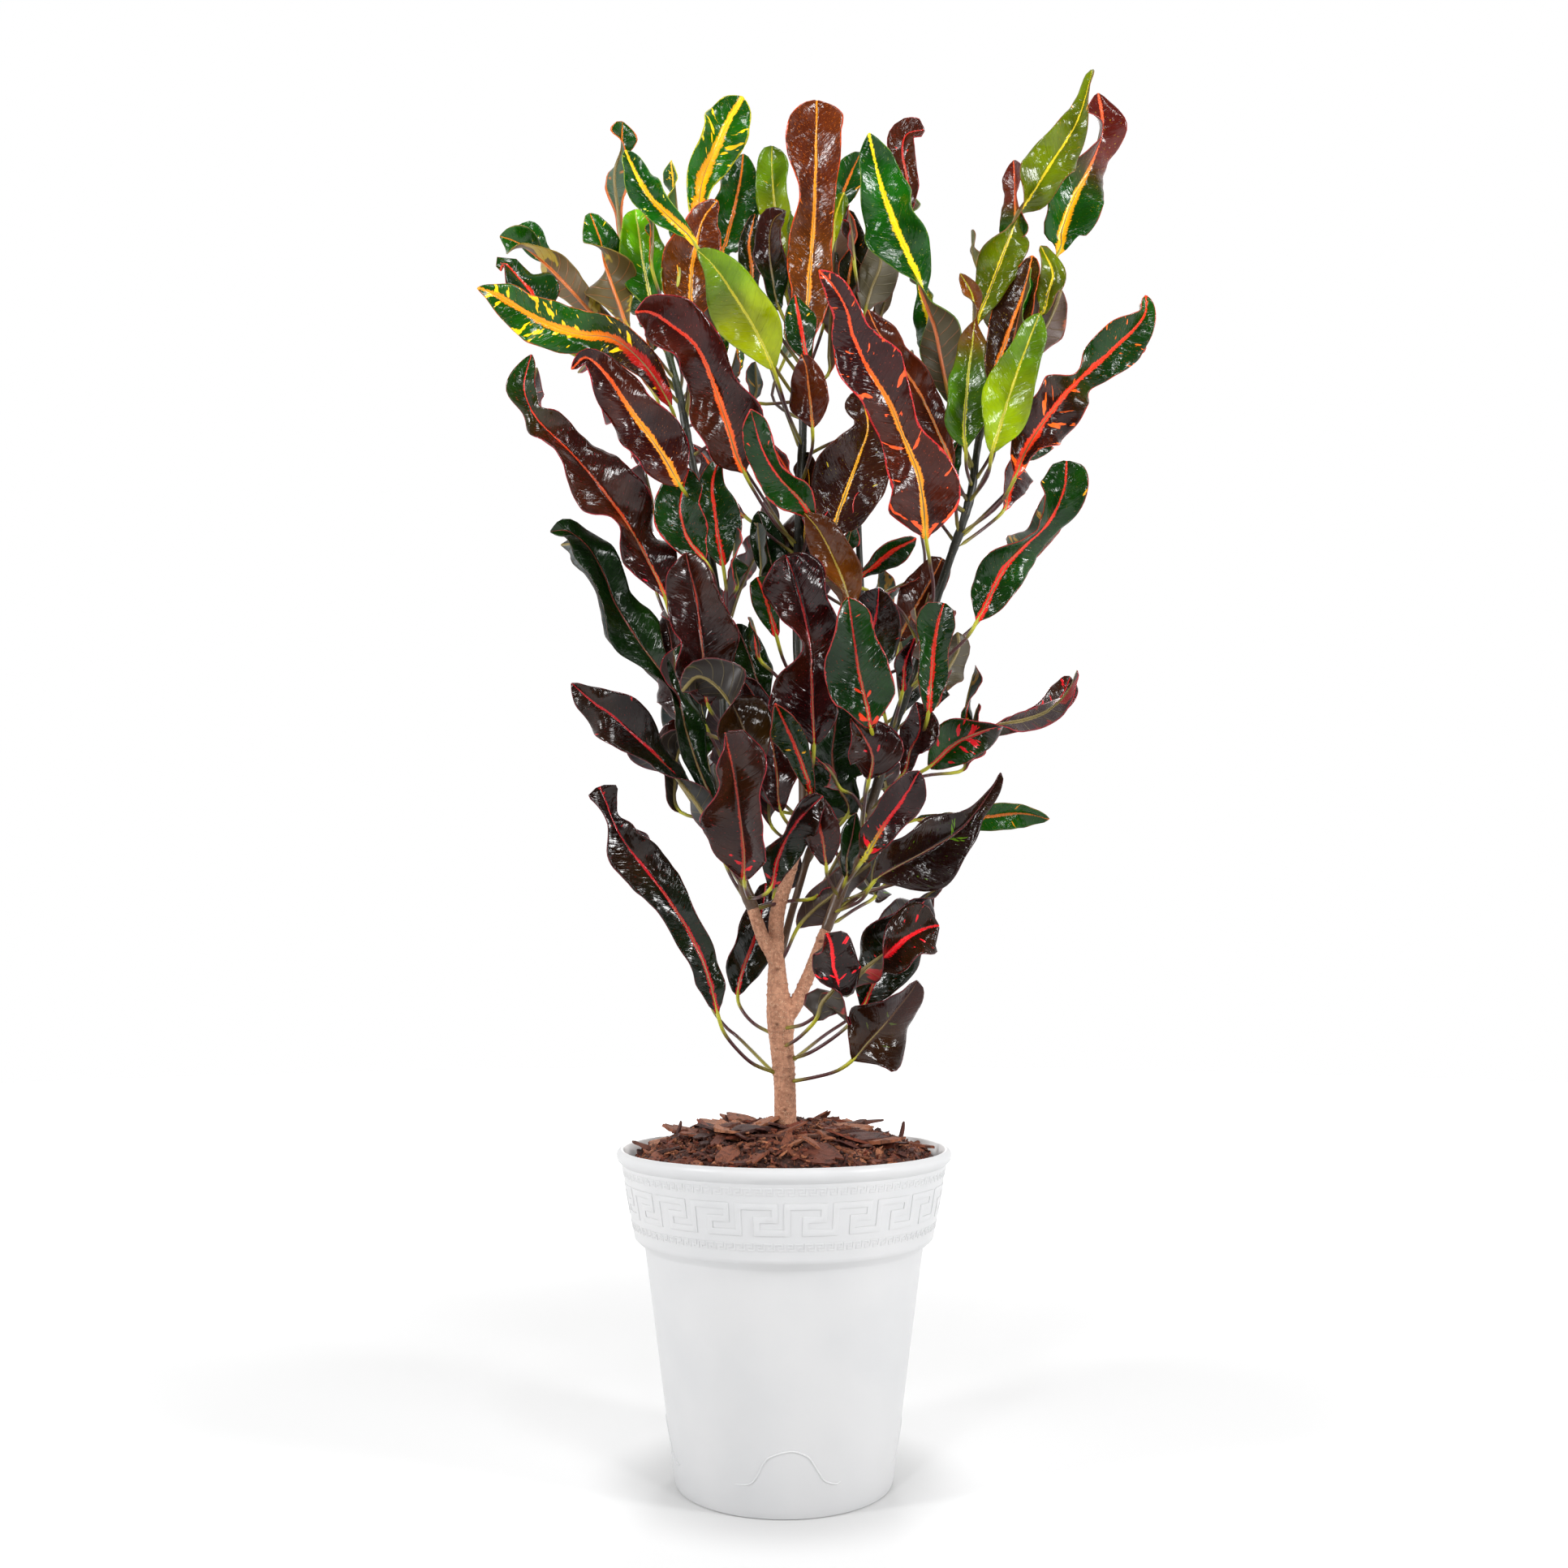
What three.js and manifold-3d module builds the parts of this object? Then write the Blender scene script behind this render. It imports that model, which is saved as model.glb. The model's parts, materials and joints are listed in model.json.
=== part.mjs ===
// Potted croton: a white plastic pot, soil, bark mulch and a woody trunk that carries four leafy stems.
// Millimetres, +Z up. The origin is the middle of the pot's flat bottom.
import * as THREE from "three";
import { mergeVertices } from "three/addons/utils/BufferGeometryUtils.js";
import Module from "manifold-3d";

const wasm = await Module();
wasm.setup();

// ---------------------------------------------------------------- driving dimensions
const CLEARANCE = 0.35; // gap between pieces that rest on each other
const FILL_GAP = 0.52; // between the pot's wall and what fills it
const FACET_TOLERANCE = 0.06; // facets flatter than this are merged
const POT = {
  rimRadius: 95.6,
  lipRadius: 92.6,
  height: 181.4,
  baseRadius: 61,
  shoulderRadius: 78.8,
  shoulderHeight: 126,
  bandRadius: 84.7,
  bandHeight: 132,
  lipHeight: 173.2,
  wall: 2,
  floor: 4,
  segments: 36,
};
const DRAIN = { count: 6, radius: 4, circle: 46, sides: 8 };
const MOUND = {
  heights: [199, 198, 196.5, 194, 191.5, 188, 184, 179, 174.5], // of its surface, from the middle to reach
  reach: 92,
  rings: [80, 58, 32], // radii at which its surface bends
  edge: 86.7,
  crust: 6, // thickness of the bark mulch, below its flakes
  segments: 18,
};
const CHIPS = {
  count: 26,
  length: [18, 36],
  width: [7, 14],
  thickness: 2.4,
  tilt: 0.42,
  inner: 13, // the flakes lie between this radius and inner + band
  band: 68,
  raised: 0.4,
  shortBeyond: 72, // flakes beyond this radius are shorter, so that they fit the pot
  shorter: 0.7,
  seed: 11,
};
// Upright slivers of bark: px and py of the foot, and the lean.
const SPLINTERS = [
  [835, 1402, 0.25],
  [898, 1393, -0.2],
  [1110, 1402, 0.3],
];
const SPLINTER = { length: 13, width: 3.4, depth: 4 };
const TRUNK = {
  foot: 118,
  footRadius: 4.9,
  soilRadius: 6.1,
  soilHeight: 160,
  sides: 9,
  branchSides: 7,
  steps: 13,
};
const SOCKET = { depth: 5, share: 0.55, inside: 3 }; // how a leafy stem's foot stands in its branch
const ROD = { sides: 6, steps: { left: 11, centre: 9, slim: 11, right: 14 } };
const BLADE = {
  thickness: 0.74,
  tipHalf: 0.9,
  ridge: 0.9, // how far the rib stands out below at the blade's base
  fold: 0.34,
  wave: 2.2,
  waveLength: 37,
  curl: 1.6, // how far the left edge's wave runs ahead of the right edge's
  near: { stride: 19, most: 7 }, // length of blade to each step, and the most steps
  far: { stride: 30, most: 5 },
  fewest: 4,
};
const PETIOLE = { halfWidth: 1.25, halfHeight: 1.0, start: 3.2 };
// Leaves of the far side, see farLeaf.
const BACK = { mirror: 30, shrink: 0.87, lower: 9, lean: 26, turn: 48 };
const TURN_STEP = 2.399963; // golden angle, so that no two neighbours wave or lie alike

// ---------------------------------------------------------------- the viewpoint
// Stems and leaves are described as a viewer in front of the pot sees them, on a picture of 1932 px: a
// point is (px, py) on that picture and a depth in mm, less than 0 towards the viewer. sight() turns it
// into a place on the plant.
const EYE = { y: -837, z: 280, pitch: 0.1325, focal: 1750, middle: 966 };

function sight(px, py, depth) {
  const across = (px - EYE.middle) / EYE.focal;
  const up = (EYE.middle - py) / EYE.focal;
  const way = (depth - EYE.y) / (Math.cos(EYE.pitch) - up * Math.sin(EYE.pitch));
  return new THREE.Vector3(
    way * across,
    depth,
    EYE.z + way * (Math.sin(EYE.pitch) + up * Math.cos(EYE.pitch)),
  );
}

const pixelSize = (depth) => (depth - EYE.y) / EYE.focal;

// ---------------------------------------------------------------- stems
// Way of each stem from its foot: [px, py, depth, radius in mm].
const WOOD = {
  trunk: [
    [968, 1395, 0, 6.5],
    [967, 1340, 0, 6.2],
    [963, 1290, 0, 6.4],
    [961, 1250, 0, 7.0],
    [958, 1215, 1, 5.2],
    [957, 1180, 2, 4.8],
    [957, 1130, 4, 4.3],
    [968, 1090, 6, 4.1],
    [981, 1045, 8, 4.0],
  ],
  leftBranch: [
    [957, 1205, 0, 3.2],
    [953, 1180, -1, 4.0],
    [940, 1155, -2, 3.9],
    [927, 1118, -3, 3.7],
  ],
  rightBranch: [
    [964, 1262, 0, 3.4],
    [974, 1248, 0, 4.3],
    [985, 1228, 0, 4.1],
    [1003, 1185, 1, 3.8],
    [1018, 1145, 2, 3.6],
  ],
};
const STEMS = {
  left: [
    [927, 1118, -3, 3.3],
    [915, 1085, -4, 3.2],
    [905, 1030, -5, 3.0],
    [895, 950, -6, 3.0],
    [893, 870, -6, 2.9],
    [890, 790, -6, 2.8],
    [877, 695, -7, 2.6],
    [866, 645, -8, 2.5],
    [858, 595, -8, 2.4],
    [848, 545, -9, 2.3],
    [838, 490, -10, 2.1],
    [825, 440, -10, 1.9],
    [817, 405, -10, 1.6],
  ],
  centre: [
    [981, 1045, 8, 3.4],
    [990, 1005, 8, 3.4],
    [990, 950, 8, 3.2],
    [985, 850, 8, 3.1],
    [983, 760, 8, 3.0],
    [984, 680, 9, 2.9],
    [986, 600, 9, 2.7],
    [989, 540, 10, 2.5],
    [990, 480, 10, 2.3],
    [991, 420, 9, 2.1],
    [991, 350, 8, 1.7],
  ],
  slim: [
    [963, 1173, 6.5, 2.3],
    [973, 1133, 17, 2.2],
    [986, 1088, 25, 2.2],
    [998, 1048, 26, 2.2],
    [1022, 990, 26, 2.2],
    [1032, 940, 27, 2.1],
    [1045, 895, 27, 2.1],
    [1060, 850, 27, 2.1],
    [1062, 760, 27, 2.0],
    [1058, 660, 27, 2.0],
    [1056, 560, 26, 1.9],
    [1057, 480, 25, 1.8],
    [1065, 395, 22, 1.6],
  ],
  right: [
    [1018, 1145, 2, 3.1],
    [1035, 1100, 3, 3.0],
    [1050, 1065, 3, 2.9],
    [1068, 1010, 3, 2.8],
    [1080, 970, 4, 2.8],
    [1100, 900, 4, 2.8],
    [1118, 850, 4, 2.7],
    [1135, 795, 4, 2.7],
    [1155, 735, 4, 2.6],
    [1170, 690, 5, 2.5],
    [1186, 645, 5, 2.4],
    [1197, 605, 5, 2.3],
    [1203, 560, 5, 2.2],
    [1212, 510, 7, 2.0],
    [1228, 455, 9, 1.9],
    [1246, 410, 11, 1.8],
    [1262, 372, 13, 1.6],
  ],
};

// ---------------------------------------------------------------- leaves
// root: where the petiole leaves its stem (py along the stem). via: petiole points [px, py, depth].
// blade: stations from base to tip [px, py, half width in px, roll in degrees]. Roll 0 shows the upper
// face to the viewer and 180 the underside; a station without one keeps the roll before it.
// depth: mm, spread evenly from the blade's base to its tip.
const LEAVES = {
  left: {
    topCurl: {
      root: 425,
      via: [[798, 350, -6]],
      blade: [[768, 300, 4, 160], [762, 262, 5], [757, 215, 17, 165], [766, 186, 11, 90],
        [766, 168, 17, 20],
        [767, 150, 6]],
      depth: [4, 2],
    },
    bronzeCurl: {
      root: 470,
      via: [[805, 435, -18]],
      blade: [[775, 405, 4, 180], [764, 378, 14], [752, 345, 33, 170], [745, 322, 25, 100],
        [740, 298, 22, 30],
        [727, 263, 6]],
      depth: [-22, -24],
    },
    limeFold: {
      root: 440,
      via: [[808, 412, -12]],
      blade: [[805, 385, 5, 0], [797, 345, 25], [789, 305, 28], [785, 275, 17], [783, 258, 5]],
      depth: [-13, -16],
    },
    bronzeTall: {
      root: 520,
      via: [[853, 450, -14]],
      blade: [[850, 400, 8, 0], [851, 365, 31], [853, 330, 35], [858, 298, 28], [866, 270, 18],
        [884, 247, 4]],
      depth: [-20, -24],
    },
    goldTall: {
      root: 412,
      via: [[842, 368, 2]],
      blade: [[860, 325, 4, 0], [860, 270, 10], [866, 222, 20], [880, 185, 27], [895, 155, 28],
        [908, 133, 18],
        [915, 119, 3]],
      depth: [7, 4],
    },
    farGreen: {
      root: 500,
      via: [[815, 474, -14]],
      blade: [[790, 450, 4, 175], [740, 398, 12], [710, 365, 17, 170], [682, 335, 23, 150],
        [657, 312, 20, 60],
        [634, 297, 16, 10], [616, 291, 3]],
      depth: [-14, -10],
    },
    farLobe: {
      root: 480,
      via: [[795, 440, 4], [735, 372, 8]],
      blade: [[690, 330, 4, 0], [664, 305, 15], [650, 286, 15], [642, 276, 4]],
      depth: [8, 8],
    },
    farRedRib: {
      root: 535,
      via: [[800, 490, -28], [745, 455, -31]],
      blade: [[692, 427, 6, 35], [665, 388, 20], [655, 362, 30], [638, 342, 24], [622, 325, 12],
        [617, 334, 3]],
      depth: [-30, -30],
    },
    farYellowTip: {
      root: 550,
      via: [[836, 530, -26]],
      blade: [[826, 500, 6, 15], [795, 450, 18], [757, 418, 22, 10], [720, 413, 24, 0], [690, 405, 28],
        [655, 388, 26], [625, 371, 19], [603, 360, 9], [588, 355, 3]],
      depth: [-38, -46],
    },
    maroonGoldRib: {
      root: 640,
      via: [[852, 618, -28]],
      blade: [[838, 598, 8, 0], [820, 567, 32], [793, 527, 33], [765, 487, 28], [742, 457, 19],
        [722, 441, 9],
        [704, 455, 3]],
      depth: [-44, -56],
    },
    maroonLong: {
      root: 860,
      via: [[848, 805, -14], [828, 765, -24]],
      blade: [[819, 735, 6, 30], [803, 700, 30], [775, 650, 38], [740, 600, 36], [705, 560, 30],
        [672, 528, 22],
        [655, 505, 12, 0], [646, 475, 17, -40], [655, 437, 4]],
      depth: [-27, -34],
    },
    hookGreen: {
      root: 1020,
      via: [],
      blade: [[885, 1000, 5, 20], [862, 950, 11], [845, 900, 22], [833, 855, 12, 60], [805, 815, 16, 20],
        [780, 780, 33, 0], [757, 742, 22, 40], [745, 710, 20], [725, 675, 21, 20], [700, 655, 14], [678, 655, 4]],
      depth: [-12, -24],
    },
    pinkMargin: {
      root: 745,
      via: [[880, 712, -22]],
      blade: [[868, 690, 6, 0], [848, 665, 26], [838, 630, 29], [842, 600, 23], [849, 577, 5]],
      depth: [-30, -32],
    },
    redRibShort: {
      root: 800,
      via: [[896, 745, -16]],
      blade: [[891, 697, 6, 0], [885, 665, 25], [881, 630, 28], [878, 598, 16], [885, 566, 4]],
      depth: [-20, -20],
    },
    maroonUpright: {
      root: 900,
      via: [],
      blade: [[872, 868, 8, 0], [868, 830, 33], [863, 780, 36], [858, 735, 31], [850, 703, 22],
        [845, 681, 4]],
      depth: [-40, -48],
    },
    tuckedMaroon: {
      root: 1000,
      via: [],
      blade: [[915, 982, 8, 0], [925, 930, 24], [908, 880, 38, 20], [885, 848, 34, 150],
        [860, 834, 20, 175],
        [840, 852, 4]],
      depth: [-48, -60],
    },
    greyFront: {
      root: 1108,
      via: [[919, 1098, -40]],
      blade: [[917, 1084, 5, -15], [917, 1050, 30], [913, 1010, 36], [906, 965, 27], [898, 930, 28],
        [893, 903, 16]],
      depth: [-72, -118],
    },
    redRibWide: {
      root: 1095,
      via: [[903, 1072, -14]],
      blade: [[889, 1040, 5, 150], [865, 1000, 15], [838, 962, 17, 120], [812, 935, 16, 50],
        [785, 910, 28, 0],
        [755, 882, 30], [730, 864, 17], [704, 842, 3]],
      depth: [-20, -34],
    },
    darkBehind: {
      root: 930,
      via: [],
      blade: [[938, 875, 6, 0], [930, 830, 21], [918, 795, 19], [908, 769, 4]],
      depth: [22, 30],
    },
  },
  centre: {
    limeUpright: {
      root: 430,
      via: [[976, 372, 22]],
      blade: [[965, 330, 6, 0], [958, 280, 17], [953, 235, 20], [951, 200, 17], [951, 180, 7]],
      depth: [28, 24],
    },
    bronzeTower: {
      root: 470,
      via: [],
      blade: [[990, 430, 6, 0], [993, 395, 20], [997, 345, 27], [1001, 300, 27], [1003, 262, 23],
        [1004, 228, 24], [1006, 190, 33], [1006, 150, 30], [1006, 124, 12]],
      depth: [-12, -26],
      wave: 1.2,
    },
    greenBehind: {
      root: 380,
      via: [[1008, 318, 22]],
      blade: [[1028, 264, 5, 0], [1041, 232, 21], [1051, 208, 18], [1060, 188, 4]],
      depth: [28, 26],
    },
    limeSmall: {
      root: 400,
      via: [[1012, 345, 8]],
      blade: [[1026, 300, 3, 0], [1029, 272, 9], [1035, 250, 9], [1040, 237, 3]],
      depth: [4, 2],
    },
    blackCurl: {
      root: 440,
      via: [],
      blade: [[961, 382, 5, 0], [952, 345, 18], [948, 300, 19], [953, 272, 18, -40], [968, 260, 5, -80]],
      depth: [-2, -2],
    },
    darkNarrow: {
      root: 455,
      via: [[955, 405, 16]],
      blade: [[931, 362, 5, 0], [926, 330, 13], [923, 300, 13], [930, 264, 3]],
      depth: [18, 18],
    },
    greenGold: {
      root: 470,
      via: [[935, 395, 30]],
      blade: [[892, 322, 7, 0], [896, 295, 26], [905, 255, 29], [913, 215, 19], [916, 190, 4]],
      depth: [34, 32],
    },
    goldRibGloss: {
      root: 505,
      via: [[920, 400, -37]],
      blade: [[858, 303, 4, 10], [838, 280, 10], [815, 258, 17], [797, 238, 20], [783, 215, 19],
        [776, 200, 13],
        [770, 185, 3]],
      depth: [-42, -58],
    },
    limeFront: {
      root: 550,
      via: [[972, 512, -20], [962, 482, -42]],
      blade: [[953, 455, 5, 0], [940, 425, 25], [920, 388, 37], [897, 352, 31], [877, 325, 17],
        [859, 308, 4]],
      depth: [-62, -108],
      wave: 0.8,
    },
    maroonHeavy: {
      root: 672,
      via: [[955, 645, -6], [928, 603, -20]],
      blade: [[917, 582, 6, 0], [905, 555, 30], [893, 515, 42], [878, 470, 30], [860, 430, 30],
        [830, 403, 33],
        [802, 385, 24], [783, 384, 9]],
      depth: [-28, -84],
    },
    redRibSmall: {
      root: 480,
      via: [],
      blade: [[994, 448, 4, 0], [990, 420, 18], [985, 393, 19], [979, 364, 4]],
      depth: [-32, -38],
    },
    brownSmall: {
      root: 600,
      via: [[1000, 556, -18]],
      blade: [[1001, 527, 5, 0], [999, 500, 26], [996, 470, 22], [992, 448, 11], [987, 437, 3]],
      depth: [-34, -44],
    },
    crossingGreen: {
      root: 700,
      via: [[994, 665, -10]],
      blade: [[1000, 640, 5, -20], [985, 615, 19], [962, 590, 23], [940, 555, 21], [929, 520, 13],
        [925, 504, 3]],
      depth: [-36, -68],
    },
    greenGap: {
      root: 785,
      via: [],
      blade: [[960, 728, 5, 0], [949, 690, 20], [942, 655, 17], [934, 630, 3]],
      depth: [22, 26],
    },
    redRibRound: {
      root: 850,
      via: [[966, 815, -8]],
      blade: [[957, 785, 4, 0], [950, 760, 13], [942, 735, 18], [936, 719, 14], [933, 711, 6]],
      depth: [-20, -22],
      wave: 1,
    },
    greatMaroon: {
      root: 1000,
      via: [[1000, 955, -20]],
      blade: [[1003, 918, 6, 0], [1002, 880, 36], [1000, 840, 44], [998, 800, 32, 25], [990, 755, 30, 20],
        [980, 715, 36, 0], [968, 684, 16]],
      depth: [-52, -66],
      fold: 0.45,
    },
    redSplash: {
      root: 1005,
      via: [],
      blade: [[999, 980, 4, -20], [990, 945, 13], [977, 912, 18], [964, 885, 15], [955, 867, 3]],
      depth: [-44, -84],
    },
    darkGreenGap: {
      root: 760,
      via: [],
      blade: [[978, 722, 5, 0], [984, 690, 20], [992, 655, 19], [996, 625, 4]],
      depth: [34, 40],
    },
    darkMaroon: {
      root: 1030,
      via: [],
      blade: [[962, 1000, 6, 0], [957, 950, 24], [945, 890, 21], [925, 850, 13], [912, 836, 3]],
      depth: [-20, -34],
    },
  },
  slim: {
    topHook: {
      root: 430,
      via: [[1095, 330, 20]],
      blade: [[1118, 260, 6, 0], [1118, 225, 13], [1112, 190, 15], [1116, 168, 15, -40],
        [1143, 158, 4, -60]],
      depth: [14, 8],
    },
    blackOrange: {
      root: 460,
      via: [],
      blade: [[1040, 402, 6, 0], [1045, 350, 17], [1050, 310, 21], [1046, 259, 4]],
      depth: [26, 24],
    },
    greyUnderside: {
      root: 425,
      via: [],
      blade: [[1066, 384, 5, 180], [1074, 355, 21], [1085, 325, 23], [1082, 287, 4]],
      depth: [10, 4],
    },
    goldRibBrown: {
      root: 745,
      via: [[1042, 705, -4]],
      blade: [[1028, 665, 8, 0], [1031, 640, 30], [1045, 600, 44], [1060, 558, 37], [1069, 525, 20, 25],
        [1064, 495, 20, 0], [1061, 478, 8]],
      depth: [-16, -22],
      fold: 0.24,
    },
    oliveBrown: {
      root: 830,
      via: [[1056, 795, -14]],
      blade: [[1050, 765, 5, 20], [1043, 730, 19], [1028, 690, 23], [1010, 655, 19], [991, 633, 4]],
      depth: [-32, -44],
    },
    darkPinkRib: {
      root: 905,
      via: [],
      blade: [[1060, 852, 6, 0], [1070, 800, 31], [1080, 755, 29], [1083, 724, 9]],
      depth: [-16, -34],
    },
    whiteGlare: {
      root: 1050,
      via: [],
      blade: [[1045, 1003, 8, 0], [1031, 965, 32], [1025, 930, 33], [1030, 890, 26], [1035, 862, 5]],
      depth: [2, -6],
    },
    orangeTip: {
      root: 770,
      via: [[1057, 735, 16]],
      blade: [[1059, 713, 4, 40], [1078, 696, 13], [1100, 678, 17], [1129, 663, 3]],
      depth: [6, -14],
    },
  },
  right: {
    glossyYellowRib: {
      root: 580,
      via: [[1184, 538, -10]],
      blade: [[1172, 500, 4, 170], [1160, 445, 22], [1152, 405, 26], [1140, 370, 9, 100],
        [1128, 335, 21, 20],
        [1112, 298, 33, 0], [1098, 262, 34], [1085, 228, 27], [1077, 195, 18], [1071, 164, 4]],
      depth: [-16, -46],
      wave: 1.4,
    },
    maroonOrange: {
      root: 790,
      via: [[1150, 735, -16], [1146, 695, -38]],
      blade: [[1141, 664, 6, 0], [1138, 625, 42], [1130, 580, 38], [1112, 535, 26], [1095, 495, 29],
        [1070, 455, 37], [1052, 415, 26], [1045, 385, 17], [1028, 355, 13], [1009, 333, 4]],
      depth: [-58, -112],
    },
    brownBehind: {
      root: 660,
      via: [],
      blade: [[1172, 577, 6, 0], [1155, 530, 16], [1130, 480, 21], [1100, 435, 23], [1080, 405, 15],
        [1069, 382, 3]],
      depth: [-22, -26],
    },
    topOlive: {
      root: 535,
      via: [[1200, 470, -2]],
      blade: [[1203, 400, 6, 0], [1218, 362, 18], [1232, 325, 25], [1244, 290, 21, 30], [1255, 262, 10, 80],
        [1272, 235, 26, 20], [1290, 205, 32, 0], [1308, 178, 25], [1325, 145, 18], [1336, 115, 13],
        [1341, 84, 4]],
      depth: [-14, -34],
    },
    topMaroonFlank: {
      root: 385,
      via: [],
      blade: [[1303, 314, 4, 0], [1308, 285, 28], [1320, 252, 35, 15], [1335, 220, 26, 40],
        [1350, 185, 30, 50],
        [1357, 150, 26, 45], [1353, 115, 4]],
      depth: [10, 6],
    },
    darkOrangeRib: {
      root: 520,
      via: [],
      blade: [[1219, 482, 6, -25], [1232, 440, 19], [1247, 400, 26], [1262, 360, 27], [1272, 315, 4]],
      depth: [-12, -22],
    },
    oliveSpots: {
      root: 415,
      via: [],
      blade: [[1282, 388, 4, 0], [1292, 360, 15], [1297, 335, 15], [1282, 303, 3]],
      depth: [-26, -32],
    },
    brownUnder: {
      root: 470,
      via: [],
      blade: [[1270, 440, 5, 180], [1285, 410, 19], [1298, 385, 17], [1308, 357, 3]],
      depth: [12, 16],
    },
    limeMatte: {
      root: 620,
      via: [[1216, 588, -22]],
      blade: [[1222, 558, 5, 0], [1232, 525, 25], [1245, 485, 31], [1260, 440, 21], [1272, 408, 16],
        [1281, 386, 3]],
      depth: [-44, -52],
      wave: 0.8,
    },
    oliveTwist: {
      root: 600,
      via: [[1191, 578, -18]],
      blade: [[1190, 552, 5, 0], [1188, 520, 26], [1192, 470, 23], [1198, 425, 17], [1200, 390, 8, 60],
        [1197, 362, 10, 0], [1183, 337, 3]],
      depth: [-34, -40],
    },
    splitLobes: {
      root: 660,
      via: [[1228, 625, -10]],
      blade: [[1251, 588, 5, -20], [1262, 560, 16], [1282, 525, 33, 0], [1308, 492, 31],
        [1329, 468, 17, 50],
        [1352, 448, 23, 10], [1380, 422, 27, 0], [1402, 400, 18], [1411, 366, 4]],
      depth: [-22, -34],
    },
    greenTwist: {
      root: 850,
      via: [[1160, 815, -10], [1190, 787, -18]],
      blade: [[1204, 765, 5, 0], [1220, 735, 25], [1238, 700, 27, 20], [1262, 670, 20, 110],
        [1286, 652, 17, 150],
        [1303, 630, 26, 60], [1312, 600, 27, 20], [1311, 570, 8, 0]],
      depth: [-22, -34],
    },
    brownOrangeRib: {
      root: 870,
      via: [[1106, 830, 14]],
      blade: [[1107, 790, 6, 0], [1121, 760, 21], [1142, 725, 24], [1161, 688, 10]],
      depth: [26, 24],
    },
    redRibFront: {
      root: 930,
      via: [[1132, 908, -20]],
      blade: [[1144, 878, 5, 0], [1147, 840, 17], [1151, 800, 17], [1155, 770, 22], [1163, 743, 12]],
      depth: [-54, -66],
    },
    oliveGrey: {
      root: 905,
      via: [],
      blade: [[1150, 858, 5, 180], [1165, 830, 21], [1181, 800, 19], [1180, 779, 4]],
      depth: [-4, 2],
    },
    blackSliver: {
      root: 900,
      via: [],
      blade: [[1112, 852, 4, 0], [1115, 820, 9], [1127, 786, 3]],
      depth: [-30, -42],
    },
    greenRedMargin: {
      root: 960,
      via: [[1080, 925, -44]],
      blade: [[1073, 897, 5, 0], [1066, 862, 35], [1058, 822, 38], [1052, 788, 26], [1048, 757, 18],
        [1045, 736, 5]],
      depth: [-84, -98],
    },
    greySliver: {
      root: 620,
      via: [],
      blade: [[1178, 590, 4, 0], [1173, 567, 12], [1180, 545, 4]],
      depth: [-14, -18],
    },
    frontBrown: {
      root: 1030,
      via: [[1066, 985, -38]],
      blade: [[1071, 960, 5, 20], [1075, 932, 30], [1062, 905, 26], [1048, 886, 4]],
      depth: [-66, -84],
    },
    brownRedRib: {
      root: 1000,
      via: [],
      blade: [[1112, 955, 5, 0], [1122, 925, 16], [1134, 898, 23], [1129, 865, 4]],
      depth: [-26, -32],
    },
    hookRight: {
      root: 1000,
      via: [[1115, 962, -4]],
      blade: [[1145, 945, 8, 0], [1175, 918, 27], [1205, 903, 20, 40], [1235, 893, 14, 90],
        [1262, 887, 12, 130],
        [1290, 876, 15, 150], [1315, 853, 17, 120], [1327, 826, 7, 90]],
      depth: [-14, -34],
    },
    lowRightGreen: {
      root: 1075,
      via: [[1090, 1028, 12]],
      blade: [[1130, 1010, 5, 30], [1175, 1010, 11], [1220, 1006, 16], [1260, 1002, 14], [1293, 1009, 3]],
      depth: [18, 10],
    },
    foldedMaroon: {
      root: 1125,
      via: [[1060, 1110, -22]],
      blade: [[1078, 1085, 5, 0], [1120, 1052, 33], [1165, 1022, 30], [1198, 990, 17], [1232, 955, 3]],
      depth: [-42, -48],
      fold: 0.6,
    },
    redPatch: {
      root: 1095,
      via: [],
      blade: [[1062, 1062, 6, 0], [1078, 1035, 18], [1095, 1008, 19], [1115, 980, 25], [1133, 950, 6]],
      depth: [-60, -78],
    },
    greyLow: {
      root: 1105,
      via: [[1020, 1082, -22]],
      blade: [[1018, 1066, 5, 0], [1015, 1040, 19], [1010, 1015, 23], [1005, 977, 4]],
      depth: [-44, -58],
    },
    blackLow: {
      root: 1110,
      via: [],
      blade: [[1043, 1082, 4, 0], [1043, 1058, 11], [1050, 1030, 13], [1055, 1002, 3]],
      depth: [-22, -30],
    },
  },
};

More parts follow.
